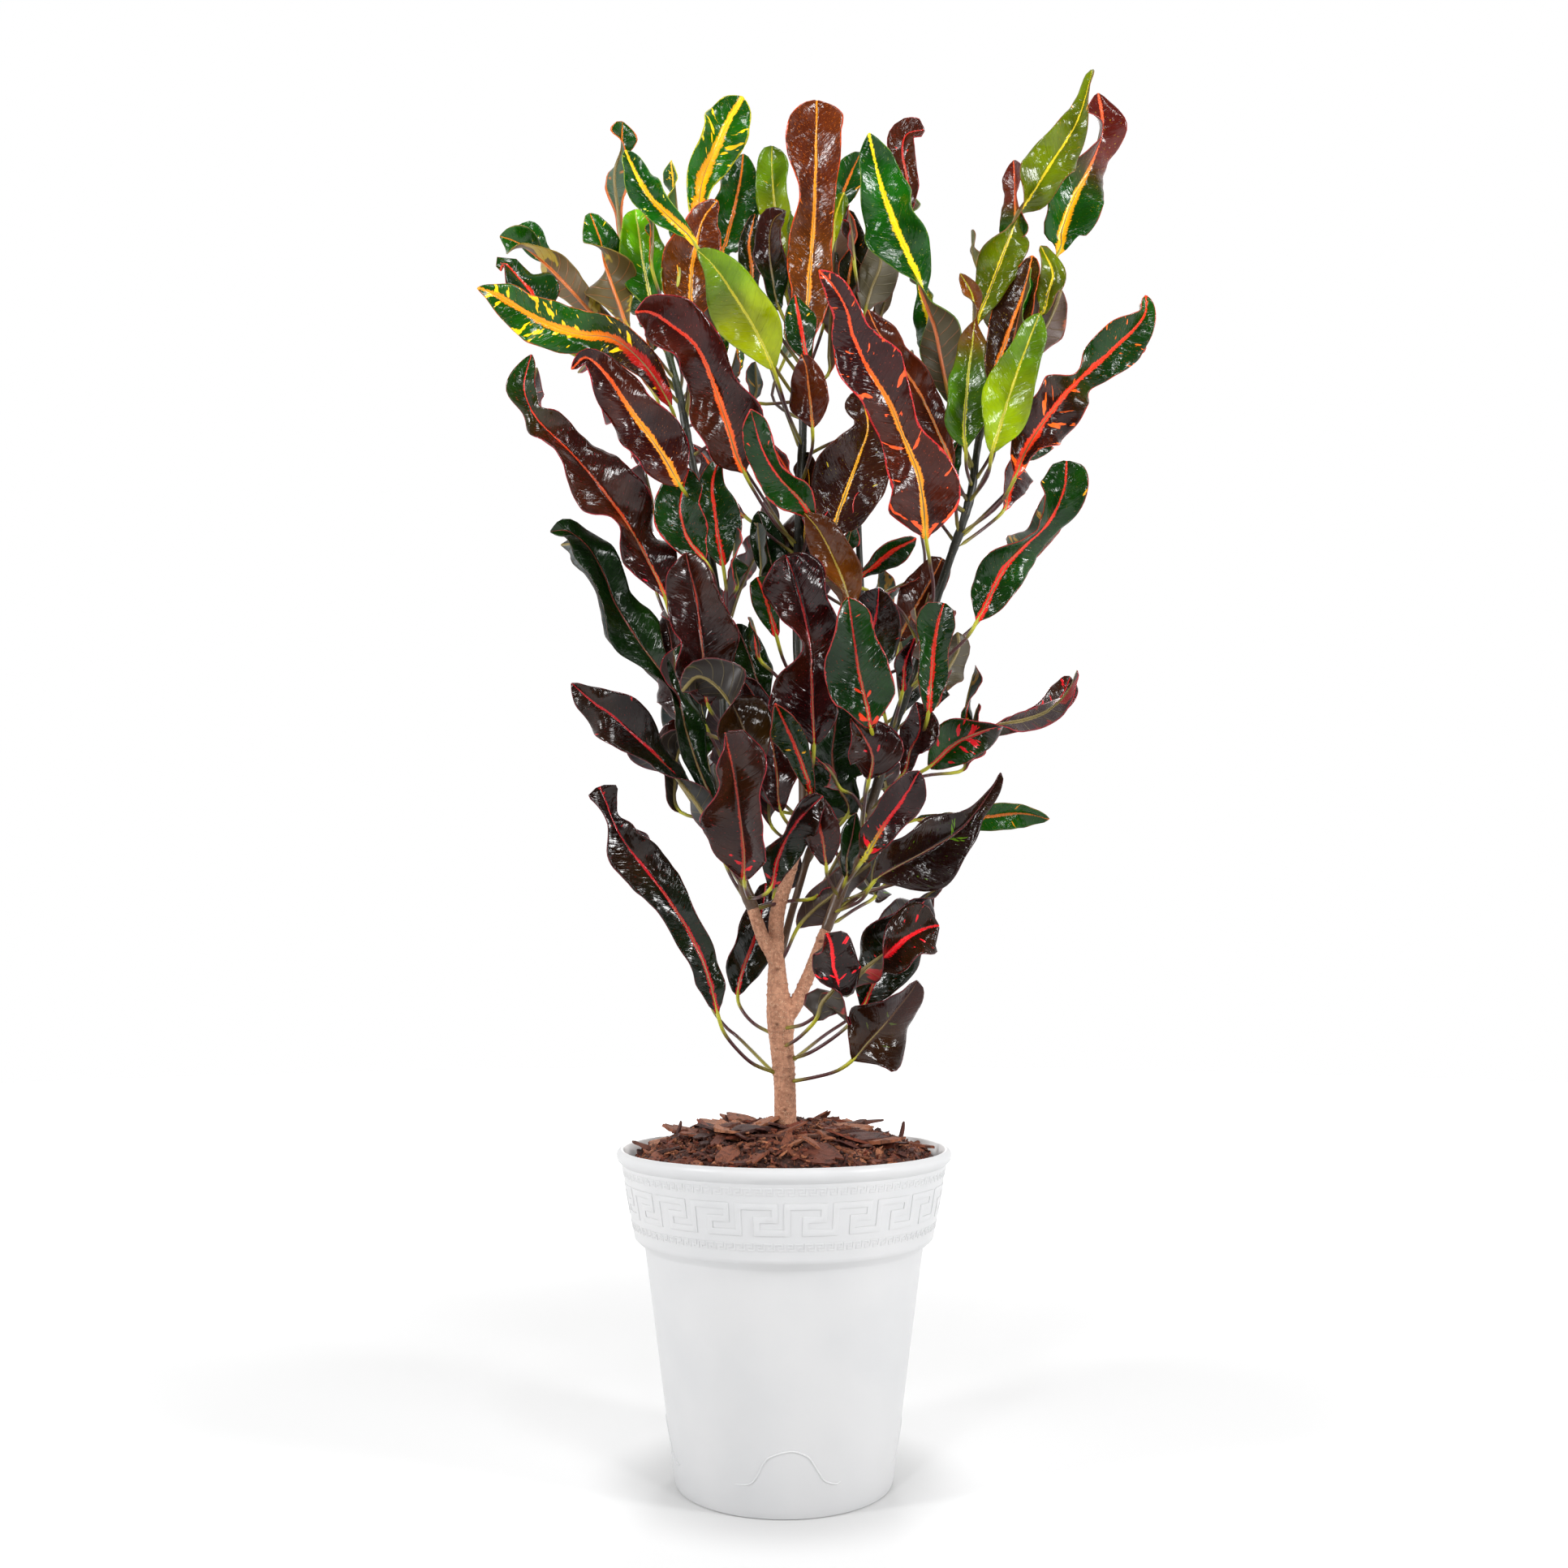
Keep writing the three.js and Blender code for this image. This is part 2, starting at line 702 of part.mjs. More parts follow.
// Leaves that grow straight from the woody trunk: root is [px, py, depth] on the trunk's axis.
const LOW_LEAVES = {
  low_leaf_left: {
    root: [965, 1325, 0],
    via: [[930, 1312, -8], [910, 1295, -14], [892, 1272, -20]],
    blade: [[884, 1248, 6, 0], [868, 1212, 20], [848, 1168, 22], [822, 1122, 23], [795, 1075, 31],
      [772, 1035, 24], [757, 1010, 12, 60], [744, 985, 15, 120], [738, 968, 14, 150]],
    depth: [-24, -36],
  },
  low_leaf_upright: {
    root: [961, 1278, 0],
    via: [[930, 1262, 5], [914, 1244, 8]],
    blade: [[909, 1226, 5, 0], [915, 1195, 20], [928, 1160, 24], [939, 1122, 17], [944, 1088, 4]],
    depth: [20, 34],
  },
  low_leaf_front: {
    root: [962, 1292, -1],
    via: [[984, 1279, -22]],
    blade: [[1006, 1256, 5, 170], [1010, 1235, 25], [1018, 1212, 22, 90], [1023, 1188, 28, 10],
      [1020, 1158, 20, 0]],
    depth: [-44, -62],
  },
  low_leaf_dark: {
    root: [964, 1308, 0],
    via: [[1000, 1296, -6], [1038, 1270, -12]],
    blade: [[1062, 1243, 5, 0], [1075, 1215, 23], [1092, 1185, 33], [1108, 1150, 29], [1132, 1118, 17],
      [1159, 1093, 4]],
    depth: [-14, -20],
  },
  low_leaf_red: {
    root: [961, 1268, -1],
    via: [[990, 1262, -22], [1015, 1244, -34]],
    blade: [[1041, 1222, 4, 0], [1070, 1192, 14], [1105, 1170, 23], [1135, 1148, 29], [1157, 1143, 12]],
    depth: [-42, -52],
  },
  low_leaf_small: {
    root: [966, 1334, 0],
    via: [[1000, 1328, -10], [1030, 1320, -22]],
    blade: [[1051, 1306, 5, 20], [1070, 1284, 27], [1092, 1260, 33], [1112, 1236, 22], [1127, 1212, 5]],
    depth: [-34, -46],
  },
  fork_leaf: {
    root: [957, 1195, 2],
    via: [[970, 1171, 0]],
    blade: [[983, 1143, 4, 180], [1002, 1122, 20], [1026, 1103, 20], [1050, 1081, 15], [1073, 1064, 3]],
    depth: [7, 9],
  },
};

// The plant is as full on its far side, where these leaves have a like one behind them.
const FAR_LEAVES = {
  left: ["limeFold", "bronzeTall", "farYellowTip", "maroonGoldRib", "maroonLong", "hookGreen",
    "maroonUpright", "greyFront", "tuckedMaroon", "redRibWide"],
  centre: ["bronzeTower", "limeFront", "maroonHeavy", "crossingGreen", "greatMaroon", "redSplash"],
  slim: ["goldRibBrown", "oliveBrown"],
  right: ["glossyYellowRib", "maroonOrange", "darkOrangeRib", "limeMatte", "splitLobes", "greenTwist",
    "redRibFront", "frontBrown", "hookRight", "brownRedRib"],
  low: ["low_leaf_left", "low_leaf_dark"],
};

// ---------------------------------------------------------------- small maths
const lerp = (a, b, t) => a + (b - a) * t;

// Value at place t (0 to 1) of numbers that are spread evenly.
function spread(values, t) {
  const at = Math.min(t, 1) * (values.length - 1);
  const low = Math.min(Math.floor(at), values.length - 1);
  return lerp(values[low], values[Math.min(low + 1, values.length - 1)], at - low);
}

// Smooth curve through numbers at u = 0, 1, 2...
function through(values, u) {
  const last = values.length - 1;
  const i = Math.min(Math.floor(u), last - 1);
  const t = u - i;
  const [p1, p2] = [values[i], values[i + 1]];
  const p0 = i > 0 ? values[i - 1] : 2 * p1 - p2;
  const p3 = i + 2 <= last ? values[i + 2] : 2 * p2 - p1;
  const square = (2 * p0 - 5 * p1 + 4 * p2 - p3) * t * t;
  const cube = (3 * p1 - p0 - 3 * p2 + p3) * t * t * t;
  return 0.5 * (2 * p1 + (p2 - p0) * t + square + cube);
}

const pointThrough = (points, u) =>
  new THREE.Vector3(...["x", "y", "z"].map((axis) => through(points.map((p) => p[axis]), u)));

// Frame at u on a way: tangent T, normal N towards the viewer turned by roll, and side W = T x N.
function frameAt(points, u, roll) {
  const step = 0.02;
  const last = points.length - 1;
  const at = pointThrough(points, u);
  const tangent = pointThrough(points, Math.min(u + step, last))
    .sub(pointThrough(points, Math.max(u - step, 0)))
    .normalize();
  const toEye = new THREE.Vector3(0, EYE.y, EYE.z).sub(at);
  const facing = toEye.addScaledVector(tangent, -toEye.dot(tangent)).normalize();
  const side = new THREE.Vector3().crossVectors(tangent, facing);
  const [c, s] = [Math.cos(roll), Math.sin(roll)];
  return {
    at,
    tangent,
    normal: facing.clone().multiplyScalar(c).addScaledVector(side, s),
    side: side.clone().multiplyScalar(c).addScaledVector(facing, -s),
  };
}

function seededRandom(seed) {
  let state = seed;
  return () => {
    state = (state * 1664525 + 1013904223) % 4294967296;
    return state / 4294967296;
  };
}

// ---------------------------------------------------------------- solids
function toSolid(positions, triangles) {
  return new wasm.Manifold(
    new wasm.Mesh({
      numProp: 3,
      vertProperties: new Float32Array(positions),
      triVerts: new Uint32Array(triangles),
    }),
  );
}

function geometrySolid(geometry) {
  geometry.deleteAttribute("normal");
  geometry.deleteAttribute("uv");
  const merged = mergeVertices(geometry, 1e-4);
  return toSolid(merged.attributes.position.array, merged.index.array);
}

// Closed solid over rings of points that run anticlockwise round the way. flipped names the sides
// whose quads are split along the other diagonal.
function sweep(rings, flipped = []) {
  const sides = rings[0].length;
  const positions = rings.flat().flatMap((p) => [p.x, p.y, p.z]);
  const triangles = [];
  for (let ring = 0; ring + 1 < rings.length; ring += 1) {
    for (let i = 0; i < sides; i += 1) {
      const a = ring * sides + i;
      const b = ring * sides + ((i + 1) % sides);
      const [c, d] = [b + sides, a + sides];
      if (flipped.includes(i)) triangles.push(a, b, d, b, c, d);
      else triangles.push(a, b, c, a, c, d);
    }
  }
  const top = (rings.length - 1) * sides;
  for (let i = 1; i + 1 < sides; i += 1) {
    triangles.push(0, i + 1, i);
    triangles.push(top, top + i, top + i + 1);
  }
  return toSolid(positions, triangles);
}

// Round rod along a way of points with a radius at each.
function rod(points, radii, sides, steps) {
  const rings = [];
  const last = points.length - 1;
  for (let k = 0; k <= steps; k += 1) {
    const u = (last * k) / steps;
    const { at, normal, side } = frameAt(points, u, 0);
    const radius = through(radii, u);
    rings.push(
      Array.from({ length: sides }, (_, i) => {
        const angle = (2 * Math.PI * i) / sides;
        return at
          .clone()
          .addScaledVector(normal, radius * Math.cos(angle))
          .addScaledVector(side, radius * Math.sin(angle));
      }),
    );
  }
  return sweep(rings);
}

const stemPoints = (way) => way.map(([px, py, depth]) => sight(px, py, depth));
const stemRadii = (way, extra = 0) => way.map(([, , , radius]) => radius + extra);

// Place on a stem at height py of the picture.
function onStem(way, py) {
  let i = 0;
  while (i + 2 < way.length && way[i + 1][1] > py) i += 1;
  const t = (way[i][1] - py) / (way[i][1] - way[i + 1][1]);
  return [0, 1, 2, 3].map((k) => lerp(way[i][k], way[i + 1][k], t));
}

// ---------------------------------------------------------------- leaves
const HEXAGON_FLIPS = [2, 5]; // so that the blade's upper and lower faces are split alike
const HOLE_OVERRUN = 0.05; // a petiole's hole goes on past its root by this share of the first stretch

// The far side's leaf behind a near one: mirrored in depth, leaning back, turned and smaller.
function farLeaf(leaf, index) {
  const turn = index % 2 ? BACK.turn : -BACK.turn; // in degrees, and every other one the other way
  const middle = leaf.blade[Math.floor(leaf.blade.length / 2)];
  const shrink = ([px, py]) => [lerp(middle[0], px, BACK.shrink), lerp(middle[1], py, BACK.shrink)];
  return {
    ...leaf,
    root: Array.isArray(leaf.root) ? [leaf.root[0], leaf.root[1] + BACK.lower, 0] : leaf.root + BACK.lower,
    via: leaf.via.map((v) => [...shrink(v), BACK.mirror - v[2]]),
    blade: leaf.blade.map(([px, py, half, roll]) => [
      ...shrink([px, py]),
      half * BACK.shrink,
      roll === undefined ? undefined : 180 - roll + turn,
    ]),
    depth: leaf.depth.map((d, i) => BACK.mirror - d + i * BACK.lean),
    far: true,
  };
}

// Way, half widths and rolls of a leaf from its root to its tip.
function leafWay(leaf, root) {
  const last = leaf.blade.length - 1;
  const points = [sight(...root), ...leaf.via.map((v) => sight(...v))];
  const halves = points.map(() => PETIOLE.halfWidth);
  let roll = leaf.blade[0][3] ?? 0;
  const rolls = points.map(() => THREE.MathUtils.degToRad(roll));
  leaf.blade.forEach(([px, py, half, turned], i) => {
    const depth = spread(leaf.depth, i / last);
    roll = turned ?? roll;
    points.push(sight(px, py, depth));
    halves.push(half * pixelSize(depth));
    rolls.push(THREE.MathUtils.degToRad(roll));
  });
  return { points, halves, rolls, bladeStart: points.length - leaf.blade.length };
}

// Six points round a leaf's section: rib, right edge, left edge, each above and below.
function leafRing(frame, half, rib, fold, [liftRight, liftLeft], grow) {
  const point = (across, up) =>
    frame.at.clone().addScaledVector(frame.side, across).addScaledVector(frame.normal, up);
  const thin = BLADE.thickness / 2 + grow;
  const out = half + grow;
  const rise = half * Math.tan(fold);
  return [
    point(0, thin + rib.up),
    point(out, rise + liftRight + thin),
    point(out, rise + liftRight - thin),
    point(0, -thin - rib.down),
    point(-out, rise + liftLeft - thin),
    point(-out, rise + liftLeft + thin),
  ];
}

// Rings of the whole leaf. grow fattens it, for the hole that its petiole stands in.
function leafRings(leaf, root, phase, grow = 0) {
  const { points, halves, rolls, bladeStart } = leafWay(leaf, root);
  const last = points.length - 1;
  const lengths = points.map((p, i) => (i < bladeStart + 1 ? 0 : p.distanceTo(points[i - 1])));
  const upTo = (u) => {
    let sum = 0;
    for (let i = bladeStart + 1; i <= last; i += 1) sum += lengths[i] * Math.min(Math.max(u - i + 1, 0), 1);
    return sum;
  };
  const stops = [];
  for (let i = 0; i < bladeStart; i += 1) stops.push(i);
  const { stride, most } = leaf.far ? BLADE.far : BLADE.near;
  const bladeSteps = THREE.MathUtils.clamp(Math.round(upTo(last) / stride), BLADE.fewest, most);
  for (let k = 0; k <= bladeSteps; k += 1) stops.push(lerp(bladeStart, last, k / bladeSteps));
  const widest = Math.max(...halves);
  return stops.map((u) => {
    const frame = frameAt(points, u, through(rolls, u));
    const half = Math.max(BLADE.tipHalf, through(halves, u));
    const onBlade = THREE.MathUtils.clamp((u - bladeStart) / 0.8, 0, 1);
    const along = upTo(u);
    const reach = onBlade * (half / widest);
    const swing = (2 * Math.PI * along) / BLADE.waveLength + phase;
    const wave = (leaf.wave ?? BLADE.wave) * reach;
    const stout = lerp(PETIOLE.halfHeight - BLADE.thickness / 2, 0, onBlade);
    const ridge = onBlade * BLADE.ridge * (1 - (u - bladeStart) / (last - bladeStart));
    const rib = { up: stout, down: Math.max(stout, ridge) };
    const fold = onBlade * (leaf.fold ?? BLADE.fold);
    const lift = [swing, swing + BLADE.curl].map((angle) => wave * Math.sin(angle));
    return leafRing(frame, half, rib, fold, lift, grow);
  });
}

const leafPhase = (index) => (index * TURN_STEP) % (2 * Math.PI);
const leafSolid = (leaf, root, index) => sweep(leafRings(leaf, root, leafPhase(index)), HEXAGON_FLIPS);

// Every leaf of one stem, near ones and then far ones: [name, leaf, root].
function leavesOf(stem) {
  const near = Object.entries(LEAVES[stem]);
  const far = FAR_LEAVES[stem].map((name, i) => [`${name}Far`, farLeaf(LEAVES[stem][name], i)]);
  return [...near, ...far].map(([name, leaf]) => [name, leaf, onStem(STEMS[stem], leaf.root).slice(0, 3)]);
}

// A low leaf's root is sunk in the trunk's bark and starts a little off the trunk's axis.
function sunkRoot(leaf) {
  const share = PETIOLE.start / sight(...leaf.root).distanceTo(sight(...leaf.via[0]));
  return leaf.root.map((v, k) => lerp(v, leaf.via[0][k], share));
}

function lowLeaves() {
  const far = FAR_LEAVES.low.map((name, i) => [
    name.replace("low_leaf", "low_back_leaf"),
    farLeaf(LOW_LEAVES[name], i),
  ]);
  return [...Object.entries(LOW_LEAVES), ...far].map(([name, leaf], index) => {
    const root = sunkRoot(leaf);
    const [first, second] = leafRings(leaf, root, leafPhase(index), CLEARANCE);
    const behind = first.map((p, i) => p.clone().lerp(second[i], -HOLE_OVERRUN));
    return { name, solid: leafSolid(leaf, root, index), hole: sweep([behind, second], HEXAGON_FLIPS) };
  });
}

// ---------------------------------------------------------------- pot, soil and mulch
function turned(profile, segments = POT.segments) {
  const points = profile.map(([r, z]) => new THREE.Vector2(r, z));
  const lathe = new THREE.LatheGeometry(points, segments);
  lathe.rotateX(Math.PI / 2);
  return geometrySolid(lathe);
}

// The pot's inner radius at height z.
function innerRadius(z) {
  const { shoulderHeight, bandHeight } = POT;
  const between = (low, high, r0, r1) => lerp(r0, r1, (z - low) / (high - low)) - POT.wall;
  if (z <= shoulderHeight) return between(0, shoulderHeight, POT.baseRadius, POT.shoulderRadius);
  if (z <= bandHeight) return between(shoulderHeight, bandHeight, POT.shoulderRadius, POT.bandRadius);
  return between(bandHeight, POT.lipHeight, POT.bandRadius, POT.lipRadius);
}

// Radius of what fills the pot at height z: clear of the wall, also where the wall's facets are flat.
const fillRadius = (z) => innerRadius(z) * Math.cos(Math.PI / POT.segments) - FILL_GAP;

function pot() {
  const body = turned([
    [0, 0],
    [POT.baseRadius - 2, 0],
    [POT.baseRadius, 3],
    [POT.shoulderRadius, POT.shoulderHeight],
    [POT.bandRadius - 0.7, POT.bandHeight - 1.6],
    [POT.bandRadius, POT.bandHeight],
    [POT.lipRadius, POT.lipHeight],
    [POT.rimRadius - 0.6, POT.height - 5.4],
    [POT.rimRadius, POT.height - 3.4],
    [POT.rimRadius - 0.7, POT.height - 1.1],
    [POT.rimRadius - 2.4, POT.height],
    [POT.rimRadius - 3.8, POT.height - 0.6],
    [innerRadius(POT.lipHeight), POT.lipHeight],
    [innerRadius(POT.bandHeight), POT.bandHeight],
    [innerRadius(POT.shoulderHeight), POT.shoulderHeight],
    [innerRadius(POT.floor), POT.floor],
    [0, POT.floor],
  ]);
  return Array.from({ length: DRAIN.count }).reduce((solid, _, i) => {
    const hole = new THREE.CylinderGeometry(DRAIN.radius, DRAIN.radius, 3 * POT.floor, DRAIN.sides);
    hole.rotateX(Math.PI / 2);
    const angle = ((i + 0.5) * 2 * Math.PI) / DRAIN.count;
    hole.translate(DRAIN.circle * Math.cos(angle), DRAIN.circle * Math.sin(angle), POT.floor / 2);
    return solid.subtract(geometrySolid(hole));
  }, body);
}

const SOIL_EDGE = 167; // height of the soil at the pot's wall

// Height of the mulch's mean surface at a distance from the trunk.
const moundHeight = (r) => spread(MOUND.heights, r / MOUND.reach);

function soil() {
  const under = CLEARANCE + MOUND.crust;
  const low = POT.floor + CLEARANCE;
  const top = MOUND.rings.map((r) => [r, moundHeight(r) - under]);
  const wall = [low, POT.shoulderHeight, POT.bandHeight, SOIL_EDGE].map((z) => [fillRadius(z), z]);
  const body = turned([[0, low], ...wall, ...top, [0, moundHeight(0) - under]], MOUND.segments);
  return body.subtract(trunkHole());
}

const FLAKE_CORNERS = 5;
const FLAKE_UNEVEN = 0.35; // how far a corner may move, as a share of the way to the next

// A bark flake: an uneven five-sided plate, laid on the mound with its own turn and tilt.
function flake([length, width], place, { turn, tilt, lean }, random) {
  const outline = Array.from({ length: FLAKE_CORNERS }, (_, i) => {
    const angle = (2 * Math.PI * (i + FLAKE_UNEVEN * random())) / FLAKE_CORNERS;
    return new THREE.Vector3((length / 2) * Math.cos(angle), (width / 2) * Math.sin(angle), 0);
  });
  const set = new THREE.Matrix4()
    .makeRotationFromEuler(new THREE.Euler(tilt, lean, turn, "ZYX"))
    .setPosition(place);
  const ring = (z) => outline.map((p) => p.clone().setZ(z).applyMatrix4(set));
  return sweep([ring(-CHIPS.thickness / 2), ring(CHIPS.thickness / 2)]);
}

function mulchFlakes() {
  const random = seededRandom(CHIPS.seed);
  const flakes = [];
  for (let i = 0; i < CHIPS.count; i += 1) {
    const r = CHIPS.inner + CHIPS.band * Math.sqrt((i + random()) / CHIPS.count);
    const angle = i * TURN_STEP;
    const length = lerp(...CHIPS.length, random()) * (r > CHIPS.shortBeyond ? CHIPS.shorter : 1);
    const size = [length, lerp(...CHIPS.width, random())];
    const height = moundHeight(r) + CHIPS.raised;
    const place = new THREE.Vector3(r * Math.cos(angle), r * Math.sin(angle), height);
    const tilt = CHIPS.tilt * (random() - 0.5);
    const lean = CHIPS.tilt * (random() - 0.5);
    flakes.push(flake(size, place, { turn: random() * Math.PI, tilt, lean }, random));
  }
  SPLINTERS.forEach(([px, py, lean]) => {
    const place = sight(px, py, SPLINTER.depth);
    const set = { turn: 0, tilt: 0, lean: Math.PI / 2 + lean };
    flakes.push(flake([SPLINTER.length, SPLINTER.width], place, set, random));
  });
  return flakes;
}

function mulch() {
  const { rings, crust, edge, segments } = MOUND;
  const top = rings.map((r) => [r, moundHeight(r)]);
  const low = rings.map((r) => [r, moundHeight(r) - crust]).reverse();
  const under = [[0, moundHeight(0) - crust], ...low, [edge - 0.3, moundHeight(edge) - crust + 1]];
  const bed = turned([...under, [edge, moundHeight(edge)], ...top, [0, moundHeight(0)]], segments);
  const over = moundHeight(0) + SPLINTER.length;
  const lip = fillRadius(POT.lipHeight);
  const room = turned([...under, [lip, POT.lipHeight], [lip, over], [0, over]], segments);
  return wasm.Manifold.union([bed, ...mulchFlakes()]).intersect(room).subtract(trunkHole());
}

// ---------------------------------------------------------------- trunk and stems
function trunkRod(extra) {
  const way = WOOD.trunk;
  const foot = sight(...way[0].slice(0, 3));
  const low = [foot.clone().setZ(TRUNK.foot - extra), foot.clone().setZ(TRUNK.soilHeight)];
  const radii = [TRUNK.footRadius + extra, TRUNK.soilRadius + extra, ...stemRadii(way, extra)];
  return rod([...low, ...stemPoints(way)], radii, TRUNK.sides, TRUNK.steps);
}

// The plain hole in the soil and mulch that the trunk stands in.
const trunkHole = () => trunkRod(CLEARANCE);

const stemRod = (stem) => rod(stemPoints(STEMS[stem]), stemRadii(STEMS[stem]), ROD.sides, ROD.steps[stem]);

// The foot of a leafy stem goes on down into the branch that carries it, along the stem's own line.
function footRod(stem, extra) {
  const [first, second] = stemPoints(STEMS[stem]).slice(0, 2);
  const down = first.clone().sub(second).normalize();
  const radius = STEMS[stem][0][3] * SOCKET.share + extra;
  const deep = first.clone().addScaledVector(down, SOCKET.depth + extra);
  const high = first.clone().addScaledVector(down, -SOCKET.inside);
  return rod([deep, high], [radius, radius], ROD.sides, 1);
}

// What a leafy stem keeps clear of: the wood round its foot.
function woodBlock(extra) {
  const parts = [trunkRod(extra)];
  for (const name of ["leftBranch", "rightBranch"]) {
    const way = WOOD[name];
    parts.push(rod(stemPoints(way), stemRadii(way, extra), TRUNK.branchSides, way.length));
  }
  return wasm.Manifold.union(parts);
}

function trunk(low) {
  const holes = [
    ...Object.keys(STEMS).map((stem) => footRod(stem, CLEARANCE)),
    ...low.map((leaf) => leaf.hole),
  ];
  return woodBlock(0).subtract(wasm.Manifold.union(holes));
}

function leafyStem(stem) {
  const leaves = leavesOf(stem).map(([, leaf, root], index) => leafSolid(leaf, root, index));
  const clear = wasm.Manifold.union([stemRod(stem), ...leaves]).subtract(woodBlock(CLEARANCE));
  return clear.add(footRod(stem, 0));
}

// ---------------------------------------------------------------- the plant in its pot
const COLOURS = {
  pot: [0xecebed, 0.32],
  soil: [0x2e1d14, 0.95],
  bark_mulch: [0x6b3a26, 0.85],
  trunk: [0x9a7058, 0.8],
  left_stem: [0x3f4a1a, 0.3],
  centre_stem: [0x4a2a22, 0.3],
  slim_stem: [0x2a2420, 0.3],
  right_stem: [0x55601a, 0.3],
  low_leaf: [0x33201f, 0.3],
};

function largestPiece(solid) {
  return solid.decompose().sort((a, b) => b.volume() - a.volume())[0];
}

function toMesh(name, solid, [colour, roughness]) {
  const { vertProperties, triVerts } = largestPiece(solid).simplify(FACET_TOLERANCE).getMesh();
  const geometry = new THREE.BufferGeometry();
  geometry.setAttribute("position", new THREE.BufferAttribute(vertProperties, 3));
  geometry.setIndex(new THREE.BufferAttribute(triVerts, 1));
  const finish = new THREE.MeshStandardMaterial({ color: colour, roughness, metalness: 0 });
  const mesh = new THREE.Mesh(geometry, finish);
  mesh.name = name;
  return mesh;
}

const plant = new THREE.Group();
const low = lowLeaves();
plant.add(toMesh("pot", pot(), COLOURS.pot));
plant.add(toMesh("soil", soil(), COLOURS.soil));
plant.add(toMesh("bark_mulch", mulch(), COLOURS.bark_mulch));
plant.add(toMesh("trunk", trunk(low), COLOURS.trunk));
for (const stem of Object.keys(STEMS)) {
  plant.add(toMesh(`${stem}_stem`, leafyStem(stem), COLOURS[`${stem}_stem`]));
}
low.forEach((leaf) => plant.add(toMesh(leaf.name, leaf.solid, COLOURS.low_leaf)));

export default plant;
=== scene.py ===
"""Potted croton: the looks of every piece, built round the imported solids.

Lengths are in millimetres until a mesh is written, which is in metres. Stems and leaves are described as a
viewer in front of the pot sees them: px and py on a picture of 1932 px, and a depth in mm that is negative
towards the viewer. Eye.sight() turns such a station into a place on the plant.
"""

from __future__ import annotations

import json
import logging
import math
from collections.abc import Callable, Iterator, Sequence
from contextlib import contextmanager
from dataclasses import dataclass, field
from enum import Enum
from typing import Any

import bpy
import numpy as np
from mathutils import Euler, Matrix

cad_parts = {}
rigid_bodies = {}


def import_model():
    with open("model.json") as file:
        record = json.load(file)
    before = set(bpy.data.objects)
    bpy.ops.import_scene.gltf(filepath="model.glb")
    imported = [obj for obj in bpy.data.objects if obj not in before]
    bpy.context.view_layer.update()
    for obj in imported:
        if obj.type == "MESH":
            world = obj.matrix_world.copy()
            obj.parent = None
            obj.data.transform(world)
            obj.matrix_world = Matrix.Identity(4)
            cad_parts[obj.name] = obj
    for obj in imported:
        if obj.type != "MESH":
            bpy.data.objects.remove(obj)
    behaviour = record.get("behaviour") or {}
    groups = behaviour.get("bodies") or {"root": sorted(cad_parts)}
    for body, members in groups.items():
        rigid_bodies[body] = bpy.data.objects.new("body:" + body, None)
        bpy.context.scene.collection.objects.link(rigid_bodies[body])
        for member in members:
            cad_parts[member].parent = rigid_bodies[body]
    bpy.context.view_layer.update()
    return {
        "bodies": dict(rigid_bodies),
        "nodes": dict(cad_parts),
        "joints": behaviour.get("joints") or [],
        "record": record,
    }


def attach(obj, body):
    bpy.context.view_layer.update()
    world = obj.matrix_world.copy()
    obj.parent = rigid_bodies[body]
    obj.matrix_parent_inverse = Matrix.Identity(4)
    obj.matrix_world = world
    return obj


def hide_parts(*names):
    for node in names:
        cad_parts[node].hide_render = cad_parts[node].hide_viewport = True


LOG = logging.getLogger("croton")
MM = 0.001  # a millimetre in metres
BODY = "root"
GOLDEN = 2.399963  # turn between one leaf and the next, so that no two neighbours wave alike
STORED = 10.0  # a width of 10 mm is stored as 1 in the fourth number of a colour

Thing = bpy.types.Object
Array = np.ndarray
Pair = tuple[Array, Array]
Rgb = tuple[float, float, float]
Station = tuple[float, ...]
Shade = Callable[[Array], list[Array]]


def linear(colour: Rgb) -> Rgb:
    """Turn a colour as a screen shows it, 0 to 255, into linear light, 0 to 1.

    Args:
        colour: red, green and blue from 0 to 255.

    Returns:
        The same colour in linear light.
    """
    return tuple((c / 255 / 12.92) if c <= 10 else ((c / 255 + 0.055) / 1.055) ** 2.4 for c in colour)


def smoothstep(value: Array | float, low: float, high: float) -> Array:
    """Ease a value from 0 at low to 1 at high.

    Args:
        value: what is eased.
        low: where the result is 0.
        high: where the result is 1.

    Returns:
        The eased value, from 0 to 1.
    """
    t = np.clip((np.asarray(value, float) - low) / (high - low), 0, 1)
    return t * t * (3 - 2 * t)


def through(values: Array, u: Array) -> Array:
    """Evaluate the smooth curve through values that stand at u = 0, 1, 2...

    Args:
        values: one row for each station.
        u: where the curve is read.

    Returns:
        One row for each u.
    """
    values = np.asarray(values, float)
    if values.ndim == 1:
        return through(values[:, None], u)[:, 0]
    padded = np.vstack([2 * values[:1] - values[1:2], values, 2 * values[-1:] - values[-2:-1]])
    i = np.minimum(np.floor(u).astype(int), len(values) - 2)
    t = (u - i)[:, None]
    p0, p1, p2, p3 = (padded[i + k] for k in range(4))
    square = (2 * p0 - 5 * p1 + 4 * p2 - p3) * t * t
    cube = (3 * p1 - p0 - 3 * p2 + p3) * t * t * t
    return 0.5 * (2 * p1 + (p2 - p0) * t + square + cube)


def unit(vectors: Array) -> Array:
    """Scale each row to length 1."""
    return vectors / np.maximum(np.linalg.norm(vectors, axis=-1, keepdims=True), 1e-12)


